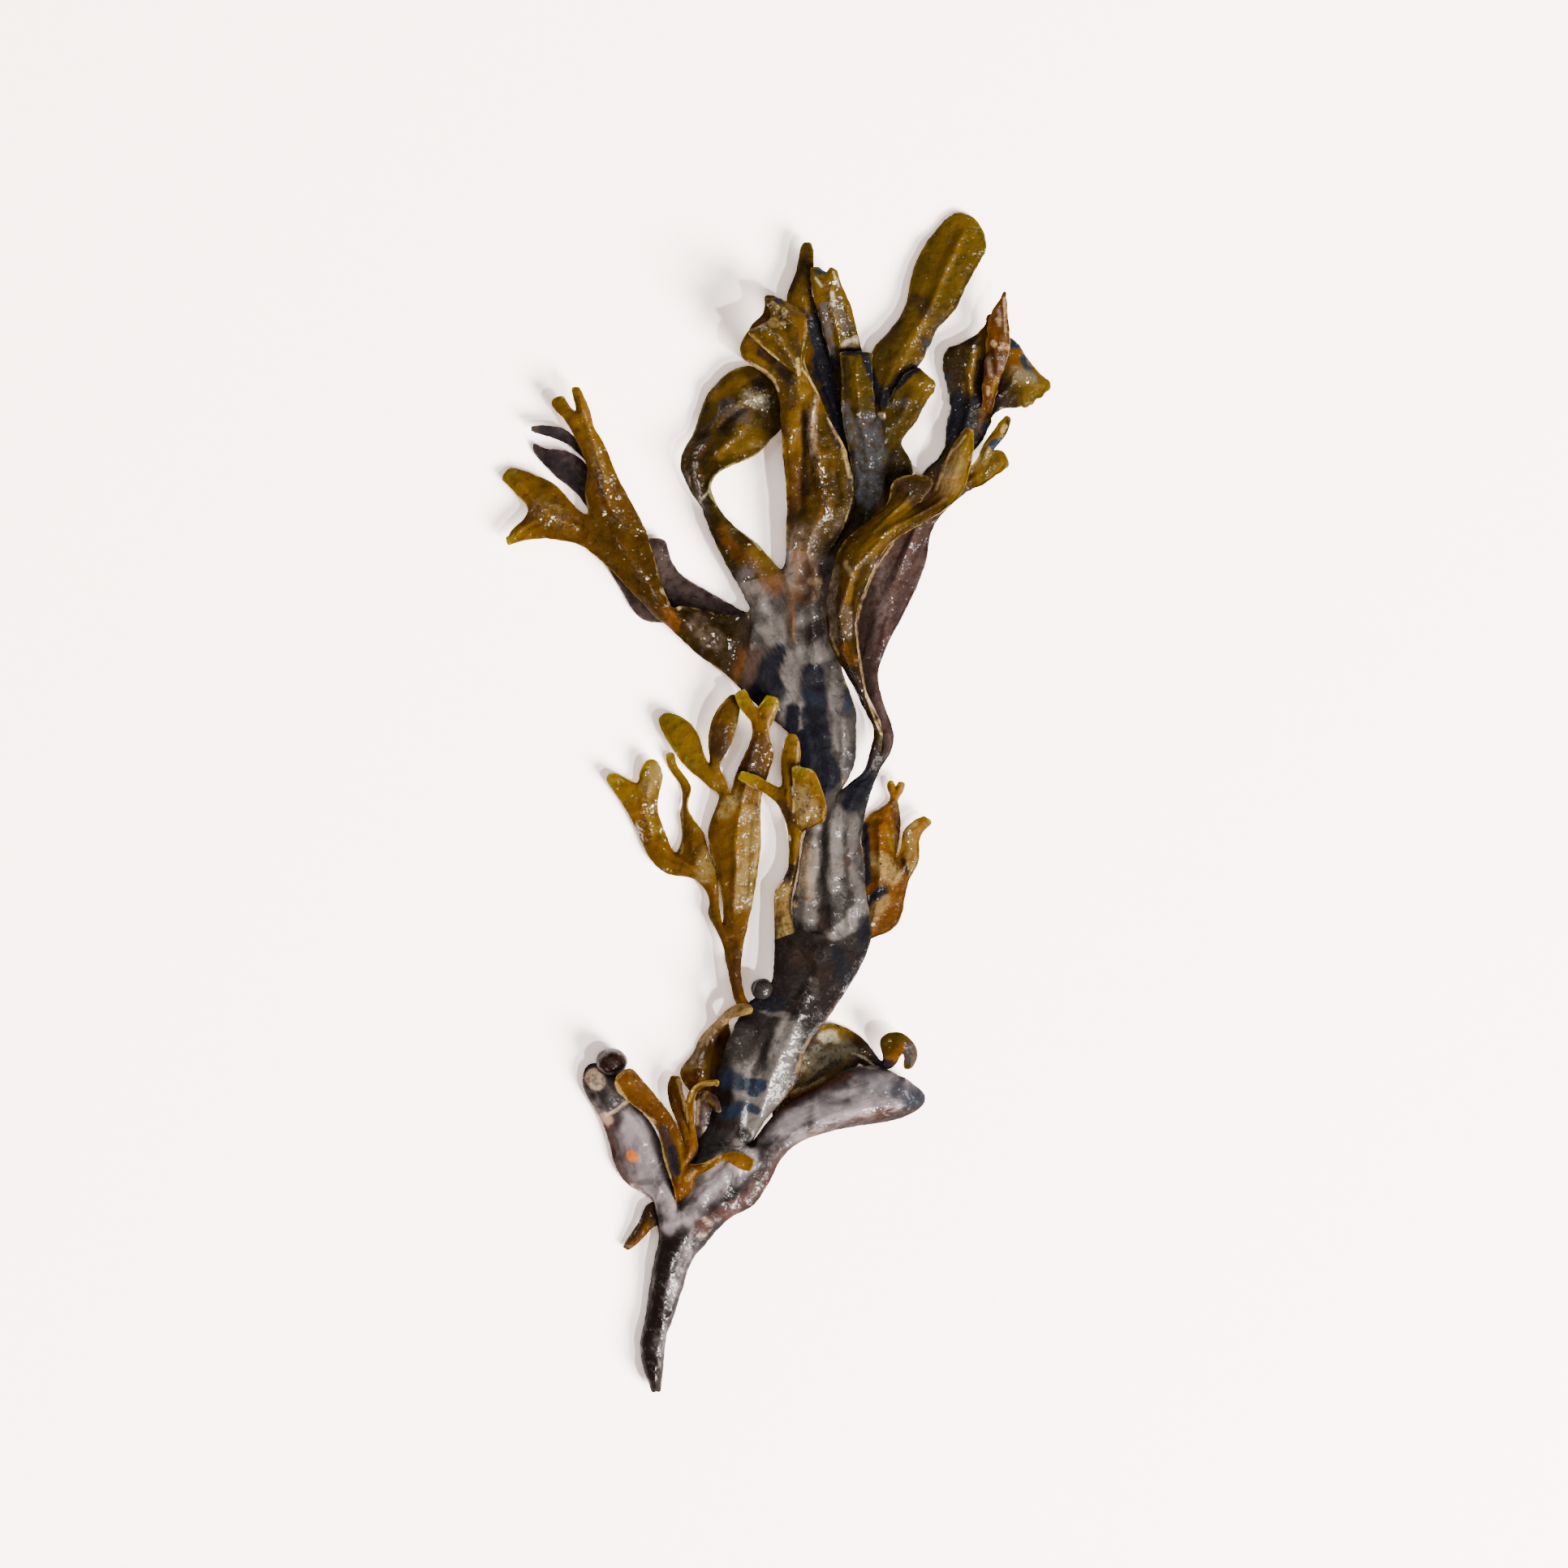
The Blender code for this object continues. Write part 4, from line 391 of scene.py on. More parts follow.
pieces["right_front_ribbon"] = dict(  # the twisted ribbon in front
    thick=1.5, lump=0.2, ridge=0.14, ruffle=0.4, ragged=0.25, olive=0.5, tissue="amberTissue",
    slot="brown_frond",
    blades=dict(
        frontRibbon=dict(tone=(0.35, 0.62), rows=[
            (23.4, 17.2, 7.4, 25.2, 16.8, 7.6, 0), (22.4, 21.4, 7.9, 24.1, 21.2, 9.6, 0.2),
            (20.1, 26, 8.4, 21.9, 25.6, 11, 0.5), (17.3, 31, 8.8, 20.1, 31.4, 11.8, 0.8),
            (14.1, 36.6, 8.8, 19.2, 37.6, 11.8, 1), (11.9, 42.6, 8.8, 18.8, 42.8, 11.6, 1.2),
            (11.9, 49.2, 8.8, 19.6, 48.8, 11.4, 1.2), (13.3, 56.4, 8.8, 22.8, 56.2, 11, 1.2),
            (15.6, 63.2, 8.6, 27.4, 63.8, 10.4, 1)],
            fork=((21.4, 69, 8.6), (34.6, 73.6, 8.4), (37.4, 70, 9.6)), children=("fan", "leafFront")),
        fan=dict(tone=(0.5, 0.5), rows=[
            (26.8, 73.6, 8.6, 36.6, 76.6, 8, 0.5), (27.6, 78.6, 8.4, 37.4, 79.8, 7.6, 0.4, 1.4)]),
        leafFront=dict(tone=(0.75, 0.95), rows=[
            (38.2, 76, 8.6, 43.8, 75, 10, 0.6), (39.2, 80.4, 8.8, 46.2, 80.2, 10.4, 0.7),
            (42.2, 86.2, 9, 47.4, 85.8, 10.4, 0.6), (45.3, 91, 9.2, 47.4, 90.8, 10, 0.3, 0.8)]),
    ),
    folds=[(1.8, 0.6, 21.6, 25, 16, 36, 14.6, 46, 18, 57, 27, 67), (1.5, -0.5, 17.5, 40, 18, 54)],
    strokes=dict(
        bloom=[(2, 1, 14, 58, 12.6, 48, 13.4, 41), (3, 0.6, 16.4, 47, 17, 42), (3, 0.5, 40, 76, 41, 82)],
        gold=[(4, 0.6, 17.6, 58, 17, 51), (5, 0.75, 18.6, 60, 23, 65, 30, 71), (3, 0.5, 22, 66, 30, 72),
            (1.6, 0.6, 42, 86, 46.6, 91)],
        rust=[(3, 0.6, 16, 38, 18, 35)],
        pale=[(0.5, 1.2, 25, 17, 21.4, 26, 19.4, 38, 18.8, 44, 20.4, 50, 23.4, 57.4, 28, 64),
            (1, 0.8, 17.6, 56, 16.4, 59), (0.5, 0.7, 14.6, 36.4, 12.4, 41.4), (4, 0.3, 41.4, 78, 44, 85),
            (0.6, 1, 38.6, 77, 41.6, 85, 45.6, 90), (0.8, 1, 46.8, 84.4, 47.6, 86)],
        dark=[(3, 0.5, 18, 32, 21, 24), (1.6, 0.5, 18.6, 54, 21, 60), (4, 0.5, 30, 78, 35, 77),
            (3, 0.5, 33, 74, 37, 73)],
    ),
)
pieces["right_back_frond"] = dict(  # the smoky frond behind it
    thick=1.5, lump=0.3, ridge=0.14, ruffle=0.3, ragged=0.25, grey=0.35, tissue="shadedTissue",
    slot="smoke_frond",
    blades=dict(
        backFrond=dict(tone=(0.35, 0.5), rows=[
            (25.1, 16.4, 5, 27.8, 16.4, 3.6, 0.2), (23.7, 21.2, 4.2, 26.4, 21.4, 2.8, 0.2),
            (21.8, 26.2, 3.4, 25, 26.6, 2.2, 0.3), (19.8, 32.6, 2.2, 24.4, 32.4, 1.6, 0.3),
            (19, 39.4, 1.6, 26.7, 39.2, 1.2, 0.3), (19.2, 46.4, 1.2, 30.4, 46.2, 0.7, 0.2),
            (20.6, 53.4, 1.2, 33.8, 53.2, 0.6, 0.2), (24.2, 60.4, 1.2, 36.4, 60.4, 0.6, 0.2),
            (29.4, 67, 1.4, 37.4, 67, 1, 0.3), (33.2, 73.4, 1.6, 41.6, 72.8, 1.2, 0.4)],
            fork=((34.8, 80.4, 2.2), (44.6, 81.2, 2.2), (46.6, 77, 2)), children=("cluster", "leafRight")),
    ),
    folds=[(1.8, 0.5, 25, 36, 28, 54, 34, 68)],
    strokes=dict(
        bloom=[(5, 0.8, 25, 58, 26, 46), (5, 0.4, 30, 62, 33, 54)],
        dark=[(4, 0.7, 22, 52, 21, 40, 22, 28), (2, 0.7, 26.4, 38, 24.6, 34)],
    ),
)
pieces["right_cluster"] = dict(  # the ragged dark and golden blades
    thick=1.5, lump=0.3, ridge=0.08, ruffle=0.4, ragged=0.9, olive=0.75, tissue="oliveTissue",
    slot="olive_frond",
    blades=dict(
        cluster=dict(tone=(0.3, 0.45), rows=[
            (39.6, 85.4, 2.6, 48.6, 87.8, 1.8, 0.4), (40.7, 90.4, 2.8, 51.6, 92, 2, 0.6),
            (41.9, 96.6, 2.8, 53, 96.4, 2.4, 0.6)],
            fork=((41.2, 101.6, 3), (52.2, 104.6, 2.4), (58.4, 97.6, 2.2)),
            children=("darkBlade", "goldLobe")),
        darkBlade=dict(tone=(0.4, 0.6), rows=[
            (40.2, 107.2, 3.2, 51.6, 109.2, 2.8, 0.6), (41.4, 111.6, 3.4, 52.2, 113.4, 3, 0.6),
            (47.6, 114, 3.4, 53.2, 117, 3.2, 0.4), (51.6, 119.8, 3.4, 53.4, 119.6, 3.4, 0.1, 0.6)]),
        goldLobe=dict(tone=(0.7, 0.9), rows=[
            (56, 114.6, 2, 60.6, 97.6, 2, 0.5), (60.4, 110.2, 2, 64.2, 100, 2, 0.4),
            (64.6, 105, 1.8, 66.8, 102.6, 1.8, 0.2, 0.5)]),
    ),
    folds=[(1.6, 0.6, 44, 86, 47, 98, 47.4, 112), (1.6, -0.5, 50, 90, 54, 104)],
    strokes=dict(
        gold=[(2.8, 0.8, 46, 99, 48, 107, 50.4, 115), (2, 0.4, 52, 119, 51, 116)],
        dark=[(6, 0.4, 43, 111, 44.4, 102), (2.4, 0.9, 49.4, 108, 49.6, 101), (3.4, 0.8, 54.4, 104, 54, 99),
            (1.5, 0.8, 46, 113.6, 48.6, 113)],
        navy=[(8, 1, 44, 97, 44.6, 91), (4, 0.9, 47.6, 98.4, 50, 98.6)],
        rust=[(2.4, 0.7, 52, 98.6, 49.6, 92), (2.6, 0.7, 58, 111.6, 58.8, 107)],
        pale=[(3.4, 0.2, 59, 106, 61.6, 104), (0.8, 0.6, 54.6, 97, 57.4, 96.6)],
        wet=[(3, 0.6, 58, 107, 61, 103)],
        blue=[(1.8, 1.5, 57, 113, 58.4, 112.8), (1.6, 1, 60.2, 109.6, 61.2, 107),
            (1.6, 0.5, 61.6, 106, 62.8, 104.4), (2.6, 1, 50.6, 92.6, 51.4, 90),
            (1.4, 0.5, 41.2, 105, 41.6, 101)],
    ),
)
pieces["right_leaf"] = dict(  # the small forked leaf beside them
    thick=1.2, lump=0.2, ridge=0.08, ruffle=0.3, ragged=0.3, olive=0.7, tissue="goldenTissue",
    slot="gold_frond",
    blades=dict(
        leafRight=dict(tone=(0.75, 0.85), rows=[
            (48.2, 84, 3.8, 50.4, 78.6, 3.2, 0.4)],
            fork=((49.8, 87, 4), (52.2, 86.8, 4.2), (53.2, 80.8, 3.6)),
            children=("leafRightFinger", "leafRightLobe")),
        leafRightFinger=dict(tone=(0.85, 0.9), rows=[
            (52.6, 91.6, 4.8, 55.6, 90.6, 4.8, 0.3), (55.4, 95, 5.6, 56.8, 94.2, 5.6, 0.2, 0.5)]),
        leafRightLobe=dict(tone=(0.85, 0.9), rows=[
            (54.6, 86.8, 4.2, 56.2, 83, 3.8, 0.3, 0.5)]),
    ),
    strokes=dict(
        blue=[(2.2, 1.5, 52.8, 88, 54.8, 88.6)],
        navy=[(1.6, 1, 53, 87.4, 54, 87.4)],
        bloom=[(4, 0.7, 48, 83, 51, 87)],
        pale=[(1.2, 1.5, 55, 91.6, 55.4, 92.6), (0.6, 0.7, 47.6, 84.6, 50, 87.6)],
        dark=[(2, 0.4, 54, 84, 51, 82), (1, 0.8, 56.2, 94, 56, 91)],
    ),
)
pieces["copper_strip"] = dict(  # one coppery strip on the cluster
    thick=1.2, lump=0.5, ridge=0.14, ruffle=0.3, ragged=0.6, tissue="copperTissue", slot="copper_frond",
    blades=dict(
        copper=dict(tone=(0.6, 0.6), rows=[
            (50.4, 96.6, 3.2, 52.2, 96.2, 3.2, 0.2), (50.2, 100.4, 4.8, 53, 100.2, 4.8, 0.3),
            (50.4, 105.5, 5.2, 54.6, 105.5, 5.2, 0.5), (51, 112, 5.6, 56.4, 112.4, 5.6, 0.5),
            (51.6, 118.4, 6, 56.2, 117.6, 6, 0.4), (54.8, 124.8, 6.4, 55.7, 124.8, 6.4, 0.1, 0.6)]),
    ),
    strokes=dict(
        pale=[(1.2, 2, 52.5, 113, 52.9, 112.6), (1, 2, 53.4, 118.7, 54, 118.5),
            (0.9, 0.8, 51.4, 100.6, 51.2, 102), (0.8, 0.7, 55.2, 124, 55.6, 116),
            (1.2, 0.8, 55, 112.6, 57, 112)],
        bloom=[(1.3, 0.9, 51.4, 109, 52, 105), (1.6, 0.8, 54.6, 109.6, 55, 107),
            (1, 0.9, 53.8, 121, 54, 117.4)],
        gold=[(1.2, 0.8, 53.4, 105, 52.6, 101)],
        rust=[(1.6, 0.9, 52, 118, 52.4, 114)],
        dark=[(1.2, 0.7, 54.4, 110.6, 54.8, 108), (0.9, 0.8, 52.4, 111.6, 53.4, 105)],
    ),
)
pieces["left_branch"] = dict(  # the branch to the left-hand frond
    thick=1.5, lump=0.4, ridge=0.08, ruffle=0.6, ragged=0.25, olive=0.35, tissue="amberTissue",
    slot="brown_frond",
    blades=dict(
        leftStrap=dict(tone=(0.34, 0.6), rows=[
            (-13.6, 32.2, 5, -12.2, 46.2, 5, 0.6), (-18, 35.2, 5.2, -17.8, 47.2, 5.2, 0.7),
            (-22.4, 38.8, 5.4, -22, 48.2, 5.4, 0.8), (-25.8, 42.6, 5.2, -24.8, 48.4, 6.4, 0.7),
            (-28.4, 44.6, 5, -26.4, 48.4, 7.2, 0.4), (-32, 47.8, 5, -28, 51.8, 7, 0.6),
            (-36.2, 52.2, 4.8, -29.8, 56.6, 6.6, 0.9), (-40.8, 57, 4.6, -31, 61.2, 6, 1)],
            fork=((-47.4, 62.8, 4.4), (-46.7, 71.2, 4.4), (-33.8, 69.4, 5)), children=("west", "fingers")),
    ),
    folds=[(2, 0.6, -12, 40, -24, 45, -31, 53, -40, 66), (1.6, -0.5, -14, 44, -24, 47.4)],
    strokes=dict(
        rust=[(3, 0.8, -26, 44, -28, 47)],
        pale=[(1.2, 0.7, -24.6, 48, -28.6, 52.4)],
        wet=[(5, 0.8, -35, 68, -41, 71)],
        bloom=[(5, 0.5, -16, 40, -20, 44)],
    ),
)
pieces["left_west_blade"] = dict(  # its outermost blade
    thick=1.5, lump=0.3, ridge=0.08, ruffle=0.5, ragged=0.25, olive=0.3, tissue="goldenTissue",
    slot="gold_frond",
    blades=dict(
        west=dict(tone=(0.65, 0.8), rows=[
            (-52.8, 64.5, 4.2, -50.2, 72.8, 3.8, 0.6), (-57.6, 65.2, 3.8, -54.4, 77.8, 3, 0.8)],
            fork=((-62.8, 64.7, 3.2), (-61.4, 71.8, 2.8), (-59.8, 80.6, 2)),
            children=("westLow", "westHigh")),
        westLow=dict(tone=(0.85, 0.9), rows=[
            (-65.8, 63.7, 3, -64.6, 68.4, 2.8, 0.3), (-66.8, 63.8, 3, -66.8, 65.2, 3, 0.1, 0.2)]),
        westHigh=dict(tone=(0.85, 0.95), rows=[
            (-64.6, 76.2, 2.2, -63.4, 81.9, 1.2, 0.4), (-67.6, 79.6, 1, -66, 82.3, 0.6, 0.2, 0.5)]),
    ),
    folds=[(1.6, 0.5, -50, 68, -57, 71, -64, 79)],
    strokes=dict(
        wet=[(6, 0.7, -52, 69, -58, 72)],
        bloom=[(4, 0.3, -54, 70, -58, 74)],
    ),
)
pieces["left_fingers"] = dict(  # its two fingers
    thick=1.5, lump=0.4, ridge=0.08, ruffle=0.5, ragged=0.25, olive=0.4, tissue="goldenTissue",
    slot="gold_frond",
    blades=dict(
        fingers=dict(tone=(0.68, 0.85), rows=[
            (-47.8, 76.6, 4.6, -37, 75.2, 5.4, 0.8), (-46.8, 82.6, 4.8, -40.2, 81.4, 5.6, 0.8),
            (-49.2, 88, 5, -43.1, 88.4, 5.6, 0.7), (-51, 91.6, 5.2, -45.5, 92.4, 5.4, 0.5)],
            fork=((-53, 94.8, 5), (-50, 96.4, 5.2), (-46.4, 96, 5.2)),
            children=("fingerLeft", "fingerRight")),
        fingerLeft=dict(tone=(0.88, 0.95), rows=[
            (-55.4, 97.3, 4.6, -52, 98.2, 4.6, 0.2), (-55.8, 99, 4.4, -53, 100.2, 4.4, 0.2, 0.4)]),
        fingerRight=dict(tone=(0.88, 0.95), rows=[
            (-50.3, 99.2, 5, -47.6, 98.8, 5, 0.2), (-51, 102, 4.6, -48.8, 101.6, 4.6, 0.2, 0.6)]),
    ),
    folds=[(1.6, 0.5, -42, 74, -45, 86, -49, 98)],
    strokes=dict(
        wet=[(5, 0.7, -41, 71, -44, 84)],
        bloom=[(3, 0.3, -43, 80, -46, 88)],
    ),
)
pieces["back_left_frond"] = dict(  # the grey frond behind it
    thick=1.2, lump=0.3, ridge=0.08, ruffle=0.3, ragged=0.3, grey=0.5, tissue="shadedTissue",
    slot="smoke_frond",
    blades=dict(
        greyBack=dict(tone=(0.3, 0.36), rows=[
            (-7, 41, 3.6, -3, 45, 3.8, 0.1), (-13, 42.5, 2.5, -9, 47.4, 2.8, 0.1),
            (-21, 43.5, 1.4, -17, 52, 1.6, 0.3), (-29, 44.6, 0.6, -23.2, 55.6, 1, 0.4),
            (-34.6, 45.9, 0.5, -27, 60.6, 1.2, 0.4), (-38.2, 51.8, 0.5, -28.4, 65.2, 2, 0.4),
            (-42.2, 58, 0.6, -33.6, 65, 1.2, 0.4), (-44.2, 65, 1, -37, 69.6, 1.2, 0.4)],
            fork=((-46.4, 71.6, 1.2), (-44.6, 79.6, 1.4), (-40, 78.4, 1.4)),
            children=("darkLeafLow", "darkLeafHigh")),
        darkLeafLow=dict(tone=(0.3, 0.3), rows=[
            (-49.8, 76.4, 1.4, -48.6, 84.8, 1.8, 0.5), (-53.6, 79.6, 1.2, -54, 87, 2, 0.5),
            (-58.2, 84, 0.8, -57.8, 87.4, 1.6, 0.3), (-60.2, 86.8, 0.5, -60.2, 88.8, 0.8, 0.1, 0.4)]),
        darkLeafHigh=dict(tone=(0.25, 0.3), rows=[
            (-47.4, 84.2, 2, -44.6, 84.2, 2, 0.2), (-50.9, 87.4, 2.6, -48.8, 88.4, 2.8, 0.1),
            (-54.4, 89.6, 2.8, -53.2, 92.4, 3, 0.2), (-60.4, 91.4, 2.6, -60.2, 92.9, 2.8, 0.1, 0.5)]),
    ),
    strokes=dict(
        navy=[(4, 0.6, -51, 80, -57, 85), (3, 0.6, -48, 86, -58, 92)],
    ),
)
pieces["upper_left_frond"] = dict(  # the broad curved frond of the crown
    thick=1.5, lump=0.6, ridge=0.08, ruffle=0.6, ragged=0.25, olive=0.8, tissue="oliveTissue",
    slot="olive_frond",
    blades=dict(
        upperLeft=dict(tone=(0.42, 0.75), rows=[
            (-12.6, 58, 5.2, -4, 62.4, 5.2, 0.8), (-15, 62.8, 5.4, -8.2, 65.8, 5.6, 0.9),
            (-17, 67.8, 5.2, -12.2, 69.2, 6.6, 0.8), (-19, 72.6, 4.6, -15.4, 73.6, 7.6, 0.5),
            (-20.8, 76.4, 4, -16.6, 77.4, 8, 0.3), (-23.4, 81, 3.4, -15.2, 81, 7.4, 0.6),
            (-23.6, 85.6, 2.8, -10.4, 83.6, 6, 1), (-21.4, 90.4, 2.4, -5.4, 85.8, 5, 1.4),
            (-19.6, 95.6, 2.4, -2.6, 89, 4.4, 1.6), (-17.6, 100.6, 2.4, 0.6, 92.6, 4, 1.6),
            (-13, 105.2, 2.6, 2, 98.4, 3.6, 1.4), (-7.8, 107.4, 2.8, 2.2, 103.4, 3.4, 0.8, 0.8)]),
    ),
    folds=[(2, 0.6, -18.6, 76, -21, 84, -13, 97, -3, 101), (1.8, 0.5, -15, 86, -8, 93),
        (2, -0.6, -18, 90, -8, 98)],
    strokes=dict(
        dark=[(3, 0.9, -5.4, 103.6, -4.6, 101.6), (3, 0.5, -20, 84, -18, 92), (4, 0.5, -14, 92, -12, 97)],
        wet=[(5, 1, -7, 99.6, -3.6, 98.6)],
        # the first three pale strokes paint a wet highlight
        pale=[(3, 0.3, -7.4, 99.6, -4, 98.4), (1, 0.8, -8, 100.6, -6.6, 99.4), (1, 0.8, -5, 99.4, -4.2, 99),
            (0.6, 0.9, -19.4, 74, -16.6, 77.6, -14.4, 81), (0.6, 0.6, -4.4, 62.4, -8.4, 66.4, -12.6, 71)],
        bloom=[(4, 0.5, -9, 95, -13, 98)],
        gold=[(3, 0.5, -16, 100, -9, 104), (4, 0.4, -14, 86, -5, 90)],
        rust=[(3, 0.5, -10, 61, -14, 67)],
    ),
)
pieces["central_frond"] = dict(  # the tall frond in the middle
    thick=1.5, lump=0.6, ridge=0.14, ruffle=0.6, ragged=0.25, olive=0.6, tissue="amberTissue",
    slot="brown_frond",
    blades=dict(
        central=dict(tone=(0.5, 0.8), rows=[
            (1.9, 68.6, 6.8, 15.6, 67.8, 6.8, 1), (2, 75.6, 7.6, 17.9, 75.6, 7.4, 1.2),
            (1.4, 82.4, 8, 17.4, 82.4, 7.8, 1.4), (0.8, 89, 8.6, 15.4, 88.6, 8.2, 1.4),
            (0.5, 94.6, 9, 12, 94.4, 8.2, 1.4), (-0.2, 100, 9.6, 9.8, 100.2, 9, 1.1),
            (-2.8, 105, 10, 7.2, 105.2, 9.6, 0.9), (-8.9, 109.2, 9.8, 6, 109.6, 9.8, 0.8),
            (-8.7, 113.8, 9.4, 6.6, 114.4, 9.4, 0.6), (-6.2, 117.6, 8.8, 6.6, 117.8, 8.8, 0.5),
            (-3.6, 120.6, 8.2, 5.4, 120.8, 8.2, 0.3), (-3.6, 124.2, 7.6, -0.6, 124, 7.6, 0.1, 0.4)]),
    ),
    folds=[(2.2, 1.0, 8.8, 98.8, 7.5, 87.6, 9.4, 84.4, 10.9, 78.6, 11.8, 70), (1.8, -0.6, 5.6, 98, 5.4, 72),
        (1.4, 0.4, 2.6, 96, 3, 70), (1.6, -0.5, 14, 88, 14.6, 74)],
    strokes=dict(
        # the first dark stroke is painted shadow under the curl and the third painted shade along the groove;
        # the strokes on the crest from 9.2, 98.8 and from 8.8, 98.6 are painted highlights
        gold=[(1.6, 0.7, -7.4, 110, -4, 108), (2, 0.5, 6, 104, 7.4, 99), (5, 0.6, 5, 101, 4.6, 88),
            (1.4, 0.5, 2.4, 96, 2, 76)],
        rust=[(4, 0.3, -6.6, 112, -3, 109.4), (5, 0.3, 3.6, 96, 4.6, 74)],
        dark=[(2.6, 0.9, -4, 110.4, 0.6, 107, 3, 103.6), (3.4, 0.6, 2.6, 104, 3, 98),
            (1.6, 0.8, 6.4, 96, 6.6, 76), (2, 0.6, 12, 95, 14.9, 88), (3, 0.4, 3, 74, 4, 68)],
        pale=[(0.6, 0.8, -7.6, 108.3, -3.4, 106, -1.2, 104, -0.1, 101),
            (0.5, 0.8, 5.6, 106.4, 7, 104.8, 8.4, 102.2, 10.2, 99.6), (0.7, 0.8, 8.8, 98.6, 7.8, 90),
            (0.6, 0.7, 12, 94.4, 15.4, 88, 17.4, 80)],
        wet=[(2.2, 1, 8.8, 98.8, 7.5, 87.6, 9.4, 84.4, 11.8, 72.2)],
        bloom=[(1.6, 1.3, 9.2, 98.8, 8, 93, 8.6, 86), (9, 0.8, 5, 64, 5, 56)],
    ),
)
pieces["curled_tip"] = dict(  # the curl over its top
    thick=1.2, lump=0.4, ridge=0.08, ruffle=0.6, ragged=0.4, olive=0.85, tissue="goldenTissue",
    slot="gold_frond",
    blades=dict(
        curl=dict(tone=(0.7, 0.8), rows=[
            (4.3, 104.6, 10.2, 5.1, 104.6, 10.2, 0.1), (2.2, 107.2, 12, 5.4, 107, 11.8, 0.3),
            (-1.6, 109.4, 13.4, 5.4, 110, 12.6, 0.6), (-6.6, 113.8, 13.6, 6.2, 113.6, 12.2, 0.9),
            (-7, 115.6, 12.8, 6.7, 116.2, 12, 0.8), (-3, 117.6, 12.2, 6.1, 119.2, 11.6, 0.7),
            (-2.2, 120.4, 11.8, 3.6, 120.8, 11.4, 0.5), (-3.5, 123.4, 11.2, 0.6, 123.4, 11, 0.2, 0.2)]),
    ),
    folds=[(1.8, 0.7, -5, 116, 0, 113, 4.4, 105), (1.6, -0.5, 0, 120, 3, 112)],
    strokes=dict(
        # the three small pale strokes of strength 1.6 are painted glints
        pale=[(0.7, 0.9, -6.6, 114.4, -4, 111.6, -0.2, 108.5), (0.8, 1, 4.6, 108.6, 4.9, 105.2),
            (2.1, 3, -1.6, 117.8, -1.1, 117.4), (1, 1.6, -1.6, 122.6, -0.4, 121.4),
            (1, 1.6, 1.1, 120.8, 1.4, 119.2), (0.9, 1.6, 0.7, 117.5, 1.1, 117.3),
            (0.5, 0.8, 6.3, 118, 6.5, 113.6)],
        wet=[(3, 0.8, -1.4, 122, 1.6, 118)],
        rust=[(2.6, 0.35, 3, 120, 5.4, 117.4, 5.8, 114)],
        dark=[(1.3, 0.8, -3.2, 123.4, -2.8, 120.4), (1.2, 0.5, 4.2, 116, 5, 110),
            (2, 0.4, 0, 111, 3.4, 107.6)],
        blue=[(1.6, 1, -0.6, 123.6, 1, 123.9)],
    ),
)
pieces["wide_frond"] = dict(  # the wide frond right of the middle
    thick=1.5, lump=0.25, ridge=0.08, ruffle=0.3, ragged=0.25, olive=1.0, tissue="oliveTissue",
    slot="olive_frond",
    blades=dict(
        wide=dict(tone=(0.4, 0.55), rows=[
            (16.2, 68.6, 4.4, 26, 65.6, 4.6, 0.6), (18.2, 76.2, 4.4, 30.4, 74.4, 4.8, 0.7),
            (17.8, 82.6, 4.6, 32.8, 83, 5, 0.7)],
            fork=((16.6, 89.4, 5.2), (23.4, 94.6, 5.0), (29.8, 88.4, 5.2)), children=("wideTop", "lobeRoot")),
        wideTop=dict(tone=(0.6, 0.65), rows=[
            (15.4, 96.4, 5.6, 23.4, 98.2, 5.6, 0.5), (15.5, 103.6, 5.8, 22.8, 104.2, 5.6, 0.5),
            (15.2, 109, 5.8, 22.8, 109.2, 5.4, 0.3), (15.2, 110.8, 5.8, 22.6, 110.6, 5.4, 0.3, 0.2)]),
        lobeRoot=dict(tone=(0.6, 0.6), rows=[],
            fork=((22.6, 98.6, 3.8), (27.4, 99, 4.8), (33, 92.6, 5.4)), children=("tall", "small")),
    ),
    folds=[(1.8, 0.4, 21, 66, 22.5, 80, 19.4, 96, 18.6, 108), (2, -0.4, 27, 74, 26, 88)],
    strokes=dict(
        gold=[(2, 0.35, 18.4, 109, 19, 98)],
        rust=[(4, 0.5, 25, 68, 26.4, 76)],
        # navy: painted shadow along the top edge and in the gap at the foot of the tall and small lobes
        navy=[(6, 0.2, 22, 92, 21.4, 76), (1.3, 3, 15.8, 110.9, 18.4, 110.7, 20.8, 111.4),
            (1.6, 3, 20.8, 111, 22, 107.4, 24.4, 101, 25.6, 98.4), (1.3, 3, 24.4, 99, 29, 102.8)],
        bloom=[(7, 0.9, 22, 92, 22, 76), (3, 0.7, 16.6, 97, 17, 90)],
        wet=[(1.6, 1, 25, 95.5, 25.4, 95)],
        pale=[(1, 0.8, 24.8, 95.6, 25.6, 94.8)],
        dark=[(2, 0.8, 17.6, 86, 18, 68), (3, 0.5, 28, 86, 27, 70), (2, 0.5, 16.6, 109, 16.2, 100)],
    ),
)
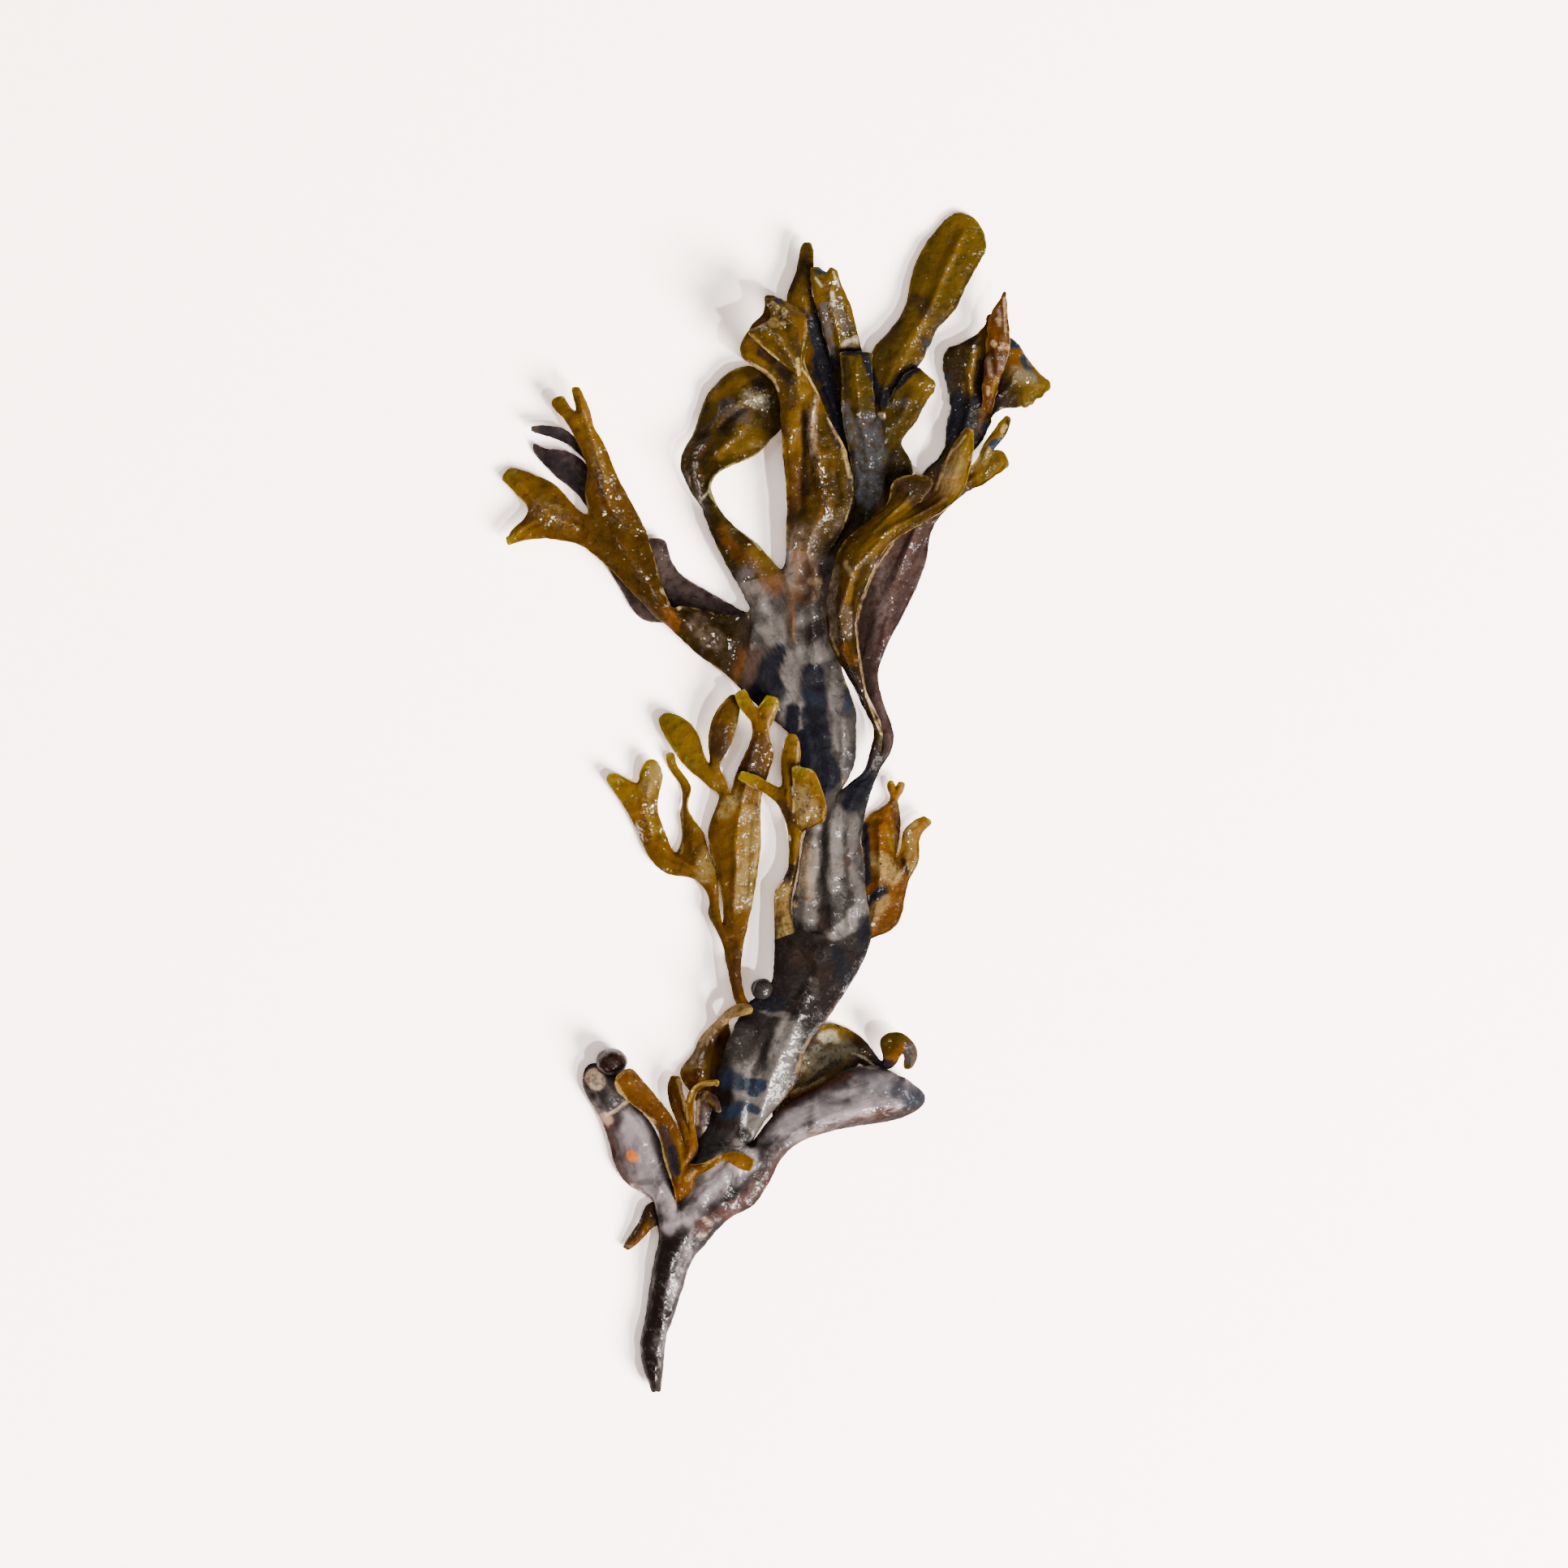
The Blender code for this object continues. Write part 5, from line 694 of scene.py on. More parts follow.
pieces["tall_lobe"] = dict(  # the tallest blade
    thick=1.5, lump=0.25, ridge=0.08, ruffle=0.3, ragged=0.35, olive=0.8, tissue="oliveTissue",
    slot="olive_frond",
    blades=dict(
        tall=dict(tone=(0.6, 0.8), rows=[
            (22.9, 104.6, 3.4, 30.6, 103.6, 3.2, 0.4), (22.5, 110.8, 3.2, 35.2, 108.6, 3, 0.6),
            (28.2, 117.4, 2.8, 38.4, 116.2, 2.6, 0.8), (31.2, 123.2, 2.4, 43.2, 121.4, 2.4, 0.9),
            (32.8, 130, 1.8, 46.2, 128, 1.8, 0.9), (35.2, 136.4, 1.2, 50.2, 134.6, 1.2, 0.8),
            (39.4, 142, 0.6, 50.8, 139, 0.6, 0.6), (43, 145.2, 0.5, 48.8, 143.4, 0.5, 0.3, 0.8)]),
    ),
    folds=[(1.6, 0.35, 27, 101, 31, 110, 36, 120, 41, 131, 45, 140)],
    strokes=dict(
        gold=[(2.2, 0.35, 28, 104, 33, 114, 38, 124, 43, 137), (5, 0.35, 41, 136, 44, 142)],
        # navy: painted shadow in the gap between this lobe and the small lobe
        navy=[(2, 0.9, 23.6, 99, 30, 104.6, 34.4, 107.4), (2, 0.7, 35.4, 111.6, 36, 114)],
        dark=[(3.6, 0.6, 33.6, 124, 36.4, 121), (3.6, 0.6, 41, 119, 39, 115.6),
            (2.6, 0.5, 48, 130, 44.6, 123), (2, 0.5, 26, 112, 30, 118)],
        blue=[(1.6, 1, 36.4, 113, 38.2, 112.8)],
    ),
)
pieces["small_lobe"] = dict(  # the angular lobe at its foot
    thick=1.5, lump=0.25, ridge=0.08, ruffle=0.3, ragged=0.9, olive=0.7, tissue="oliveTissue",
    slot="olive_frond",
    blades=dict(
        small=dict(tone=(0.65, 0.75), rows=[
            (29.4, 103.8, 5.2, 35.4, 97.4, 5.4, 0.3), (33.6, 107, 5, 37.4, 100.6, 5.2, 0.3),
            (35, 106, 5, 38.4, 103, 5.2, 0.2, 0.2)]),
    ),
    strokes=dict(
        wet=[(3, 0.8, 26, 99, 28.4, 98)],
        bloom=[(2, 0.5, 27, 98, 31, 98.6)],
        # navy: painted shadow in the gap between this lobe and the tall lobe
        navy=[(1.2, 2, 24.4, 98.4, 29.6, 103, 33.4, 106.8)],
        gold=[(3, 0.4, 34, 103.4, 36.4, 102)],
    ),
)
pieces["top_middle_frond"] = dict(  # the notched blade at the top
    thick=1.5, lump=0.3, ridge=0.08, ruffle=0.4, ragged=0.4, olive=0.7, tissue="oliveTissue",
    slot="olive_frond",
    blades=dict(
        topMiddle=dict(tone=(0.45, 0.55), rows=[
            (14.4, 79.6, 3.4, 20, 79.6, 3.6, 0.2), (13.4, 84.6, 2.2, 19.4, 84.6, 2.4, 0.2),
            (12.6, 92, 2.4, 18.4, 92, 2.4, 0.3)],
            fork=((9, 100.6, 2.4), (13, 106.6, 2.6), (19.8, 102.4, 2.6)), children=("spike", "topBlade")),
        topBlade=dict(tone=(0.6, 0.8), rows=[
            (12.2, 111.2, 3.8, 20.6, 110, 2.8, 0.4), (10.6, 116.4, 4.8, 19.2, 115.6, 4, 0.6),
            (9.2, 122, 5.8, 17.6, 122.4, 5.2, 0.7), (7.9, 127.2, 6.4, 15.3, 127, 6, 0.7)],
            fork=((7.7, 129.8, 6.4), (11.5, 130, 6.2), (14.6, 129, 5.8)),
            children=("topBladeLeft", "topBladeRight")),
        topBladeLeft=dict(tone=(0.85, 0.9), rows=[
            (7.9, 131.3, 6.2, 9.8, 131.4, 6.2, 0.1, 0.3)]),
        topBladeRight=dict(tone=(0.85, 0.9), rows=[
            (12.4, 131.4, 6, 14.1, 130.7, 5.8, 0.1, 0.3)]),
    ),
    folds=[(1.4, 0.6, 16, 104, 14.6, 116, 12.4, 126), (1.4, -0.5, 18, 108, 16, 122)],
    strokes=dict(
        # the first pale stroke is a painted highlight
        pale=[(1.1, 1.2, 12.9, 125.2, 13.1, 122.4), (2, 0.9, 16.6, 112.8, 18.6, 113.4),
            (0.6, 0.9, 13.2, 130.4, 14.6, 127), (0.6, 0.9, 9, 129, 10.6, 127)],
        bloom=[(2.6, 0.5, 14, 124, 16.4, 117), (2.2, 0.9, 11, 122, 12.2, 116, 13.4, 109)],
        wet=[(3, 0.5, 14, 126, 17, 114), (4, 0.9, 12.6, 127, 14, 118)],
        gold=[(2, 0.6, 8.6, 130, 9.4, 124)],
        rust=[(2, 0.5, 11.8, 128, 12, 126.6)],
        # navy: painted shade on the part that lies deeper, and a painted shadow line along the wide frond's top
        # edge
        navy=[(4, 1, 15, 84, 14, 98, 11.4, 103, 12.6, 108), (1.1, 3, 15.6, 111.2, 18.4, 110.8, 20.6, 111.2)],
        blue=[(1.5, 1, 9.6, 130.6, 11.4, 130.4)],
        dark=[(1.2, 0.8, 9.4, 121, 11.6, 112)],
    ),
)
pieces["top_spike"] = dict(  # the dark spike beside it
    thick=1.5, lump=0.2, ridge=0.08, ruffle=0.2, ragged=0.2, olive=0.7, tissue="oliveTissue",
    slot="olive_frond",
    blades=dict(
        spike=dict(tone=(0.6, 0.7), rows=[
            (4.8, 108.6, 2.8, 13.2, 111.6, 1.9, 0.3), (2.8, 115.2, 3.6, 11.8, 117.4, 2.2, 0.3),
            (1.8, 124, 4, 8.2, 124.4, 3.6, 0.4), (4.2, 130.2, 4, 8.2, 130.2, 4, 0.3),
            (5.5, 136.8, 3.6, 8.2, 136.8, 3.6, 0.1, 0.9)]),
    ),
    strokes=dict(
        # navy: painted shade on the part that lies in the shadow of the blades above
        navy=[(5, 1.5, 9.4, 117, 11.4, 112, 11, 106)],
        dark=[(4, 0.9, 5, 120, 6.6, 118), (2.4, 0.8, 8.6, 126, 8.8, 119), (2, 0.7, 6.6, 107, 9, 105),
            (1.4, 0.6, 3, 126, 5.4, 131), (2.4, 0.5, 6, 133, 6.8, 137)],
        gold=[(1.2, 0.4, 6.4, 124, 7, 116)],
        rust=[(3, 0.4, 7, 107, 9, 112)],
    ),
)
pieces["mid_left_branch"] = dict(  # the golden branch left of the strap
    thick=1.5, lump=0.3, ridge=0.08, ruffle=0.4, ragged=0.25, olive=0.35, tissue="goldenTissue",
    slot="gold_frond",
    blades=dict(
        goldStem=dict(tone=(0.6, 0.7), rows=[
            (-8.4, -52.4, 6.6, -6.4, -50.6, 6.8, 0.1), (-9.9, -50.3, 6.6, -8, -48.2, 6.6, 0.1),
            (-11.2, -46.8, 6.2, -8.7, -46, 6.2, 0.3), (-12.3, -42, 5.6, -9.6, -41.4, 5.6, 0.3),
            (-13.6, -35.6, 4.4, -9, -35.4, 4.4, 0.4)],
            fork=((-15.4, -31, 3.8), (-13.9, -29.6, 3.8), (-7.9, -30.6, 3.8)),
            children=("outerStem", "goldBlade")),
        goldBlade=dict(tone=(0.72, 0.8), rows=[
            (-13.7, -24.6, 3.4, -6.7, -25, 3.4, 0.6), (-14.8, -19, 3.2, -5.7, -19, 3.2, 0.8),
            (-16.2, -13.4, 3, -5, -13.4, 3, 1), (-17.4, -8, 3, -4.6, -8, 3, 1),
            (-16.2, -2.6, 3.2, -4.7, -2.2, 3.2, 0.9)],
            fork=((-14.5, 1.7, 3.6), (-12, 2.2, 3.8), (-4.2, 2.8, 4)), children=("crossPiece", "goldLeaf")),
        goldLeaf=dict(tone=(0.5, 0.8), rows=[
            (-10.8, 7, 4.6, -3, 6.8, 5, 0.5), (-8.4, 11.8, 5.6, -1.3, 11.8, 6.2, 0.5),
            (-6.4, 17, 6.8, -2.7, 17, 7.2, 0.4)],
            fork=((-7.1, 20.8, 7.6), (-5.4, 23.4, 8), (-1.5, 20.4, 7.8)),
            children=("goldTipLeft", "goldTipRight")),
        goldTipLeft=dict(tone=(0.92, 1), rows=[
            (-9.6, 23.4, 8, -7.2, 26, 8.2, 0.2), (-10.7, 26.8, 8.2, -8.4, 28, 8.2, 0.2, 0.3)]),
        goldTipRight=dict(tone=(0.92, 1), rows=[
            (-3.9, 25.4, 8.4, -0.2, 23.8, 8.2, 0.3), (-2.9, 26.4, 8.4, -0.5, 25.7, 8.2, 0.2, 0.2)]),
    ),
    folds=[(1.6, 0.5, -11, -26, -10.4, -8, -8.6, 3, -5, 16), (1.6, -0.5, -8, -22, -7, -4)],
    strokes=dict(
        bloom=[(5, 0.8, -8, -16, -9, -24), (4.4, 0.75, -7, -3, -7.6, -12, -8, -22),
            (3.4, 0.9, -14, -2, -10.4, 1.6)],
        pale=[(2.4, 0.15, -7, -6, -8, -16), (0.6, 0.6, -9, 5.4, -6, 4),
            (0.7, 0.8, -4.6, 2.6, -5, -8, -6, -18), (0.6, 0.8, -1, 24, -2.6, 19.6, -2, 15)],
        rust=[(2, 0.8, -11.6, -18, -11.2, -23), (2, 0.6, -11, -42, -10.6, -50)],
        dark=[(1.4, 0.8, -5, -0.4, -4.8, -3), (2.6, 0.5, -10.6, -36, -11, -48), (4, 0.5, -8, 6, -5, 14)],
        wet=[(3, 1, -3, 11, -3.4, 13)],
    ),
)
pieces["mid_left_outer"] = dict(  # its outer arms
    thick=1.2, lump=0.25, ridge=0.08, ruffle=0.4, ragged=0.25, olive=0.4, tissue="goldenTissue",
    slot="gold_frond",
    blades=dict(
        outerStem=dict(tone=(0.7, 0.75), rows=[
            (-17.4, -27, 3.2, -14.7, -26, 3.4, 0.2), (-17.2, -22.6, 2.8, -14.9, -21.4, 3, 0.3),
            (-21.2, -18.4, 2.4, -15.6, -16.8, 2.8, 0.6)],
            fork=((-26.4, -17.6, 2), (-25.3, -12.2, 2), (-17.4, -12, 2.4)),
            children=("outerArm", "innerArm")),
        outerArm=dict(tone=(0.76, 0.88), rows=[
            (-30.6, -14.8, 1.6, -27.2, -9.4, 1.8, 0.5), (-34, -9.2, 1.2, -28.8, -5, 1.6, 0.6),
            (-36.4, -3.6, 1.2, -30, -1.4, 1.6, 0.5)],
            fork=((-39.6, 1.4, 1.6), (-35, 5, 1.8), (-29.4, 3.4, 2)),
            children=("outerTipLeft", "outerTipRight")),
        outerTipLeft=dict(tone=(0.9, 1), rows=[
            (-42.3, 5.2, 2.4, -38.6, 6.8, 2.4, 0.3), (-42.3, 6.6, 2.6, -40.8, 7.5, 2.6, 0.1, 0.2)]),
        outerTipRight=dict(tone=(0.9, 0.95), rows=[
            (-34.2, 7.8, 2.6, -28.5, 7, 2.6, 0.4), (-32.6, 10.4, 3.2, -29.8, 10.2, 3.2, 0.2, 0.6)]),
        innerArm=dict(tone=(0.75, 0.95), rows=[
            (-23.7, -8, 1.6, -18.6, -7.4, 2.2, 0.4), (-24.2, -3.6, 1.2, -21.3, -3.6, 2.2, 0.2),
            (-23.7, 0.2, 0.6, -22.8, 0, 2.4, 0), (-24.2, 4.6, 0.5, -21.7, 4.4, 1, 0.2),
            (-27.2, 8.8, 0.5, -24.8, 8.6, 0.8, 0.2), (-27.8, 11.9, 1.4, -25.8, 12, 1.4, 0.1, 0.5)]),
    ),
    folds=[(1.4, 0.4, -21, -16, -31, -9, -34, 0)],
    strokes=dict(
        bloom=[(4, 0.9, -32.5, 4, -30, 8), (4, 0.8, -17.5, -13, -18.6, -18)],
        wet=[(4, 0.9, -32, 0, -33.5, -8.5)],
        pale=[(0.9, 0.7, -24, -2, -24, -12)],
        rust=[(4, 0.4, -31, -12, -35, -2)],
    ),
)
pieces["mid_left_crown"] = dict(  # its crown of two leaves
    thick=1.2, lump=0.25, ridge=0.08, ruffle=0.3, ragged=0.2, olive=0.6, tissue="goldenTissue",
    slot="gold_frond",
    blades=dict(
        crossPiece=dict(tone=(0.8, 0.8), rows=[
            (-16.6, 3.6, 3.8, -13.2, 6, 3.8, 0.3)],
            fork=((-19.6, 6.4, 4), (-17, 9.8, 4), (-14.8, 9.4, 4.2)),
            children=("northWestLeaf", "uprightLeaf")),
        northWestLeaf=dict(tone=(0.82, 0.95), rows=[
            (-22.8, 8.8, 3.8, -18.5, 12.2, 3.8, 0.4), (-26.2, 13.6, 3.4, -19.8, 16.6, 3.4, 0.6),
            (-28.6, 17.8, 2.8, -23.2, 20.6, 2.8, 0.5), (-29.6, 20.6, 2.4, -27.4, 22.1, 2.4, 0.2, 0.5)]),
        uprightLeaf=dict(tone=(0.6, 0.85), rows=[
            (-17.3, 13.6, 4.4, -12.4, 13.4, 4.6, 0.4), (-16.8, 19, 4.6, -10.4, 19.2, 5, 0.6),
            (-14.6, 23.6, 4.8, -9.6, 23.6, 5.2, 0.4), (-11.8, 26.6, 5.2, -9.4, 25.8, 5.4, 0.2, 0.3)]),
    ),
    strokes=dict(
        dark=[(4, 0.6, -15, 13.6, -14.6, 18)],
        gold=[(2, 0.5, -26, 16, -21, 12)],
    ),
)
pieces["mid_centre_branch"] = dict(  # the branch along the strap, with wet leaves
    thick=1.2, lump=0.2, ridge=0.08, ruffle=0.3, ragged=0.2, olive=0.4, tissue="goldenTissue",
    slot="gold_frond",
    blades=dict(
        centreStem=dict(tone=(0.6, 0.72), rows=[
            (-1, -27, 5.6, 2.8, -26, 5.6, 0.3), (-1, -21.6, 5.2, 3.5, -20.4, 5.2, 0.3),
            (2, -17, 5, 4.5, -15.8, 5.2, 0.3), (2.6, -10.6, 5.2, 5.2, -9.8, 5.6, 0.3),
            (2.3, -6, 6.2, 6, -6.4, 7.6, 0.3)],
            fork=((0.9, -2, 7.2), (3.4, 1.6, 8.6), (10.8, -4.4, 8.8)), children=("centrePair", "wetLeaf")),
        wetLeaf=dict(tone=(0.75, 1), rows=[
            (3.5, 4.6, 9, 11.2, 0.6, 8.6, 0.9), (3.2, 9.2, 9, 8.8, 7.4, 8.8, 0.6, 0.4)]),
        centrePair=dict(tone=(0.75, 0.8), rows=[],
            fork=((-1.4, 1, 7.6), (0.5, 4, 8), (3.1, 4.8, 7.6)),
            children=("centreLeftLeaf", "centreUprightLeaf")),
        centreLeftLeaf=dict(tone=(0.85, 1), rows=[
            (-5.2, 3.6, 8.2, -4.2, 6.2, 8.4, 0.2), (-9.8, 6, 8.6, -9, 7.9, 8.8, 0.2, 0.3)]),
        centreUprightLeaf=dict(tone=(0.75, 0.9), rows=[
            (0.4, 9.4, 7.6, 5, 9.6, 7.2, 0.4), (1.3, 14.6, 7.6, 5, 14.4, 7.4, 0.3),
            (2.2, 16.8, 7.8, 4.2, 16.6, 7.8, 0.2, 0.3)]),
    ),
    strokes=dict(
        pale=[(5, 0.6, 1.4, -22, 1.6, -32), (0.6, 1, 3.6, 6, 3.5, -2), (0.6, 0.9, 11.6, -0.6, 10.8, -3.8),
            (0.6, 0.8, 4.4, 9, 4.8, 15)],
        rust=[(3, 0.35, 1, -20, 1.4, -30)],
        dark=[(1.8, 1.4, 2.8, -15.6, 2, -18.6), (2.6, 0.6, 1, 0, 2.6, -3.4)],
        bloom=[(3.6, 1, 5, 3, 6, -3.6), (2.4, 0.6, 8.4, 0, 8.8, -3.6)],
        wet=[(4, 1, 5, 3, 7, -3)],
        gold=[(2, 0.6, 4.4, -7, 4.6, -14)],
    ),
)
pieces["mid_right_branch"] = dict(  # the leaves behind the strap on the right
    thick=1.2, lump=0.3, ridge=0.08, ruffle=0.4, ragged=0.3, tissue="goldenTissue", slot="gold_frond",
    blades=dict(
        behindRight=dict(tone=(0.6, 0.7), rows=[
            (14, -33.6, 4.8, 18.6, -36.6, 4.6, 0.2), (17, -30, 3.9, 22.4, -33.4, 3.7, 0.2),
            (19.4, -25, 2.4, 28.4, -30.6, 2, 0.5), (20.6, -20, 1.8, 30.6, -24.6, 1.4, 0.6)],
            fork=((20.8, -13.2, 1.4), (28.6, -13.2, 1.4), (32, -18.4, 1.6)),
            children=("behindLeftLeaf", "behindRightLeaf")),
        behindLeftLeaf=dict(tone=(0.72, 0.85), rows=[
            (20.4, -7.8, 0.5, 29.6, -8.2, 0.6, 0.6), (21.8, -3.2, 0.6, 29.8, -2.6, 1, 0.5),
            (27.2, 0.2, 1.6, 29.1, 0.8, 1.8, 0.2)],
            fork=((26.8, 3.6, 2.2), (28.6, 3.8, 2.4), (30.2, 2.8, 2.2)),
            children=("behindTipLeft", "behindTipRight")),
        behindTipLeft=dict(tone=(0.9, 1), rows=[
            (26.9, 5.3, 2.6, 27.9, 5.3, 2.6, 0.1, 0.2)]),
        behindTipRight=dict(tone=(0.9, 1), rows=[
            (29.4, 5.3, 2.8, 30.8, 4.9, 2.8, 0.1, 0.2)]),
        behindRightLeaf=dict(tone=(0.7, 0.95), rows=[
            (30.3, -10.8, 2, 34.4, -14, 2, 0.4), (30.5, -6.8, 2.4, 34.5, -8.2, 2.4, 0.5),
            (34.6, -3.4, 3.2, 37.5, -4.8, 3, 0.2, 0.6)]),
    ),
    folds=[(2, 0.5, 23, -30, 25, -18, 25, -5)],
    strokes=dict(
        pale=[(4, 0.8, 24.4, -14, 28, -18), (3, 0.5, 23.4, -27, 25.4, -24),
            (1.3, 0.8, 31.4, -6.4, 33.6, -4.8)],
        navy=[(3, 1, 20.8, -6, 21.4, -19), (3, 1, 22, -24, 25.4, -21.6)],
        rust=[(4, 0.7, 27.4, -3, 24, -10), (3, 0.5, 28.6, -21, 27, -28), (2, 0.7, 22.4, -29, 22.8, -32)],
        gold=[(1, 1, 26.4, -6, 27.6, -10, 29.4, -14), (2, 0.9, 35, -4, 37, -4)],
        dark=[(2, 0.5, 28.6, 0, 29.4, -6), (1.2, 0.8, 30.4, -14, 31.6, -17)],
        bloom=[(3, 0.9, 32, -8, 33, -16), (2, 0.7, 28.6, -8, 29, -10)],
    ),
)
pieceNames = list(pieces)
blades = {key: dict(blade, piece=pieceNames.index(name))
          for name, given in pieces.items() for key, blade in given["blades"].items()}
roots = ("stalk", "spur", "shootTuft", "curledLeaflet", "leafLowLeft", "leafLowRight", "copper",
         "greyBack", "curl", "topMiddle", "goldStem", "behindRight")

gridPrimes = (374761393, 668265263, 1440662683, 1013904223)
mixPrime = 1274126177
layerShift = 51.7  # keeps the layers of a noise apart


def hashGrid(ix, iy, iz, seed):
    # the same number from -1 to 1 for the same cell and seed
    n = sum(value * prime for value, prime in zip((ix, iy, iz, seed), gridPrimes)) & 0xffffffff
    n = ((n ^ (n >> 13)) * mixPrime) & 0xffffffff
    return ((n ^ (n >> 16)) & 0xffff) / 32767.5 - 1.0


def smoothNoise(points, size, seed, layers=1):
    # value noise from -1 to 1; size is the width of a lump
    total = np.zeros(len(points))
    share = 0.0
    for layer in range(layers):
        p = points / (size / 2 ** layer) + layerShift * (layer + 1)
        cell = np.floor(p).astype(np.int64)
        f = p - cell
        f = f * f * (3 - 2 * f)
        value = np.zeros(len(points))
        for corner in range(8):
            d = np.array((corner & 1, corner >> 1 & 1, corner >> 2 & 1))
            weight = np.prod(np.where(d, f, 1 - f), axis=1)
            value += weight * hashGrid(*(cell + d).T, seed + layer)
        total += value * 0.5 ** layer
        share += 0.5 ** layer
    return total / share


def ease(low, high, x):
    t = np.clip((x - low) / (high - low), 0.0, 1.0)
    return t * t * (3 - 2 * t)


def unit(v):
    return v / np.maximum(np.linalg.norm(v, axis=-1, keepdims=True), 1e-9)


def inScene(places):
    # from the plan in millimetres to the frame in metres
    return ((places - (*planCentre, 0)) * mm).tolist()


def addObject(name, data):
    thing = bpy.data.objects.new(name, data)
    bpy.context.scene.collection.objects.link(thing)
    return thing


def addAttribute(mesh, name, values, kind="FLOAT", domain="POINT", key="value"):
    numbers = np.array(values, np.int32 if kind == "INT" else np.float32)
    mesh.attributes.new(name, kind, domain).data.foreach_set(key, numbers.ravel())


# the coarse cage of the whole plant: one net of faces, forks and all
cagePoints, cageFaces, cageNode = [], [], []
cageData = {name: [] for name in ("along", "across", "edge", "half", "tone")}
cageOut = []  # direction towards the nearest edge
forkLift = np.array((0, 0, 0.5))  # how far the middle of a fork's arm stands up


def addCagePoint(point, out, **data):
    cagePoints.append(np.array(point, float))
    cageOut.append(np.array(out, float))
    for name, value in data.items():
        cageData[name].append(value)
    return len(cagePoints) - 1


def rowPoints(row):
    left, right = np.array(row[0:3]), np.array(row[3:6])
    ahead = unit(np.array((left[1] - right[1], right[0] - left[0], 0.0)))
    middle = (left + right) / 2 + np.array((0, 0, row[6])) + ahead * (row[7] if len(row) > 7 else 0.0)
    return left, middle, right


def growBlade(name, below=None, along=0.0, offset=0.0):
    # adds a blade's rows and its fork to the cage, then the two blades that grow on the fork
    blade = blades[name]
    tones = np.linspace(*blade["tone"], len(blade["rows"]) + 2)[1:]
    for place, (row, tone) in enumerate(zip(blade["rows"], tones)):
        left, middle, right = rowPoints(row)
        half = np.linalg.norm(right - left) / 2
        if below is not None:
            along += np.linalg.norm(middle - cagePoints[below[1]])
        tip = place == len(blade["rows"]) - 1 and "fork" not in blade
        foot = name == "stalk" and place == 0
        ahead = unit(middle - cagePoints[below[1]]) if tip else np.zeros(3)
        sizes = {"along": along, "half": half, "tone": tone}
        above = (
            addCagePoint(left, unit(left - middle + ahead * half), across=offset - half, edge=1.0, **sizes),
            addCagePoint(middle, ahead, across=offset, edge=float(tip or foot), **sizes),
            addCagePoint(right, unit(right - middle + ahead * half), across=offset + half, edge=1.0, **sizes))
        if below is not None:
            for side in range(2):
                cageFaces.append((below[side], below[side + 1], above[side + 1], above[side]))
                cageNode.append(blade["piece"])
        below = above
    if "fork" not in blade:
        return
    left, crotch, right = (np.array(p) for p in blade["fork"])
    leftMiddle, rightMiddle = (left + crotch) / 2 + forkLift, (crotch + right) / 2 + forkLift
    leftWide, rightWide = np.linalg.norm(crotch - left), np.linalg.norm(right - crotch)
    start = cagePoints[below[1]]
    along += np.linalg.norm((leftMiddle + rightMiddle) / 2 - start)
    sizes = {"along": along, "half": (leftWide + rightWide) / 2, "tone": blade["tone"][1]}
    five = [
        addCagePoint(left, unit(left - leftMiddle), across=offset - leftWide, edge=1.0, **sizes),
        addCagePoint(leftMiddle, (0, 0, 0), across=offset - leftWide / 2, edge=0.0, **sizes),
        addCagePoint(crotch, unit(crotch - start), across=offset, edge=1.0, **sizes),
        addCagePoint(rightMiddle, (0, 0, 0), across=offset + rightWide / 2, edge=0.0, **sizes),
        addCagePoint(right, unit(right - rightMiddle), across=offset + rightWide, edge=1.0, **sizes)]
    cageFaces.extend(((below[0], below[1], five[1], five[0]),
                      (below[1], five[3], five[2], five[1]),
                      (below[1], below[2], five[4], five[3])))
    cageNode.extend([blade["piece"]] * 3)
    growBlade(blade["children"][0], five[0:3], along, offset - leftWide / 2)
    growBlade(blade["children"][1], five[2:5], along, offset + rightWide / 2)


for root in roots:
    growBlade(root)
cagePoints, cageFaces, cageNode = np.array(cagePoints), np.array(cageFaces), np.array(cageNode)
print("cage of", len(cageFaces), "faces")

# what a piece has all over is shared out to the cage's points, so that it changes softly at a fork
shares = np.zeros((len(cagePoints), len(lookNames)))
counts = np.zeros(len(cagePoints))
looks = np.array([[given.get(key, 0.0) for key in lookNames] for given in pieces.values()])
for corner in range(4):
    np.add.at(shares, cageFaces[:, corner], looks[cageNode])
    np.add.at(counts, cageFaces[:, corner], 1)
shares /= counts[:, None]
cageData.update({name: shares[:, column] for column, name in enumerate(lookNames)})


def dividedSurface(points):
    # subdivides the cage and reads back its points, faces and data
    mesh = bpy.data.meshes.new("cage")
    mesh.from_pydata(points.tolist(), [], cageFaces.tolist())
    for name, values in cageData.items():
        addAttribute(mesh, name, values)
    addAttribute(mesh, "out", cageOut, "FLOAT_VECTOR", key="vector")
    addAttribute(mesh, "piece", cageNode, "INT", "FACE")
    cage = addObject("cage", mesh)
    divide = cage.modifiers.new("divide", "SUBSURF")
    divide.levels = divide.render_levels = fineLevel
    fine = cage.evaluated_get(bpy.context.evaluated_depsgraph_get()).to_mesh()
    count = len(fine.vertices)
    surface = {name: np.empty(count) for name in cageData}
    surface.update(points=np.empty((count, 3)), out=np.empty((count, 3)),
                   faces=np.empty((len(fine.polygons), 4), np.int32),
                   piece=np.empty(len(fine.polygons), np.int32))
    fine.vertices.foreach_get("co", surface["points"].ravel())
    fine.polygons.foreach_get("vertices", surface["faces"].ravel())
    for name in (*cageData, "out", "piece"):
        key = "vector" if name == "out" else "value"
        fine.attributes[name].data.foreach_get(key, surface[name].ravel())
    bpy.data.objects.remove(cage)
    bpy.data.meshes.remove(mesh)
    return surface


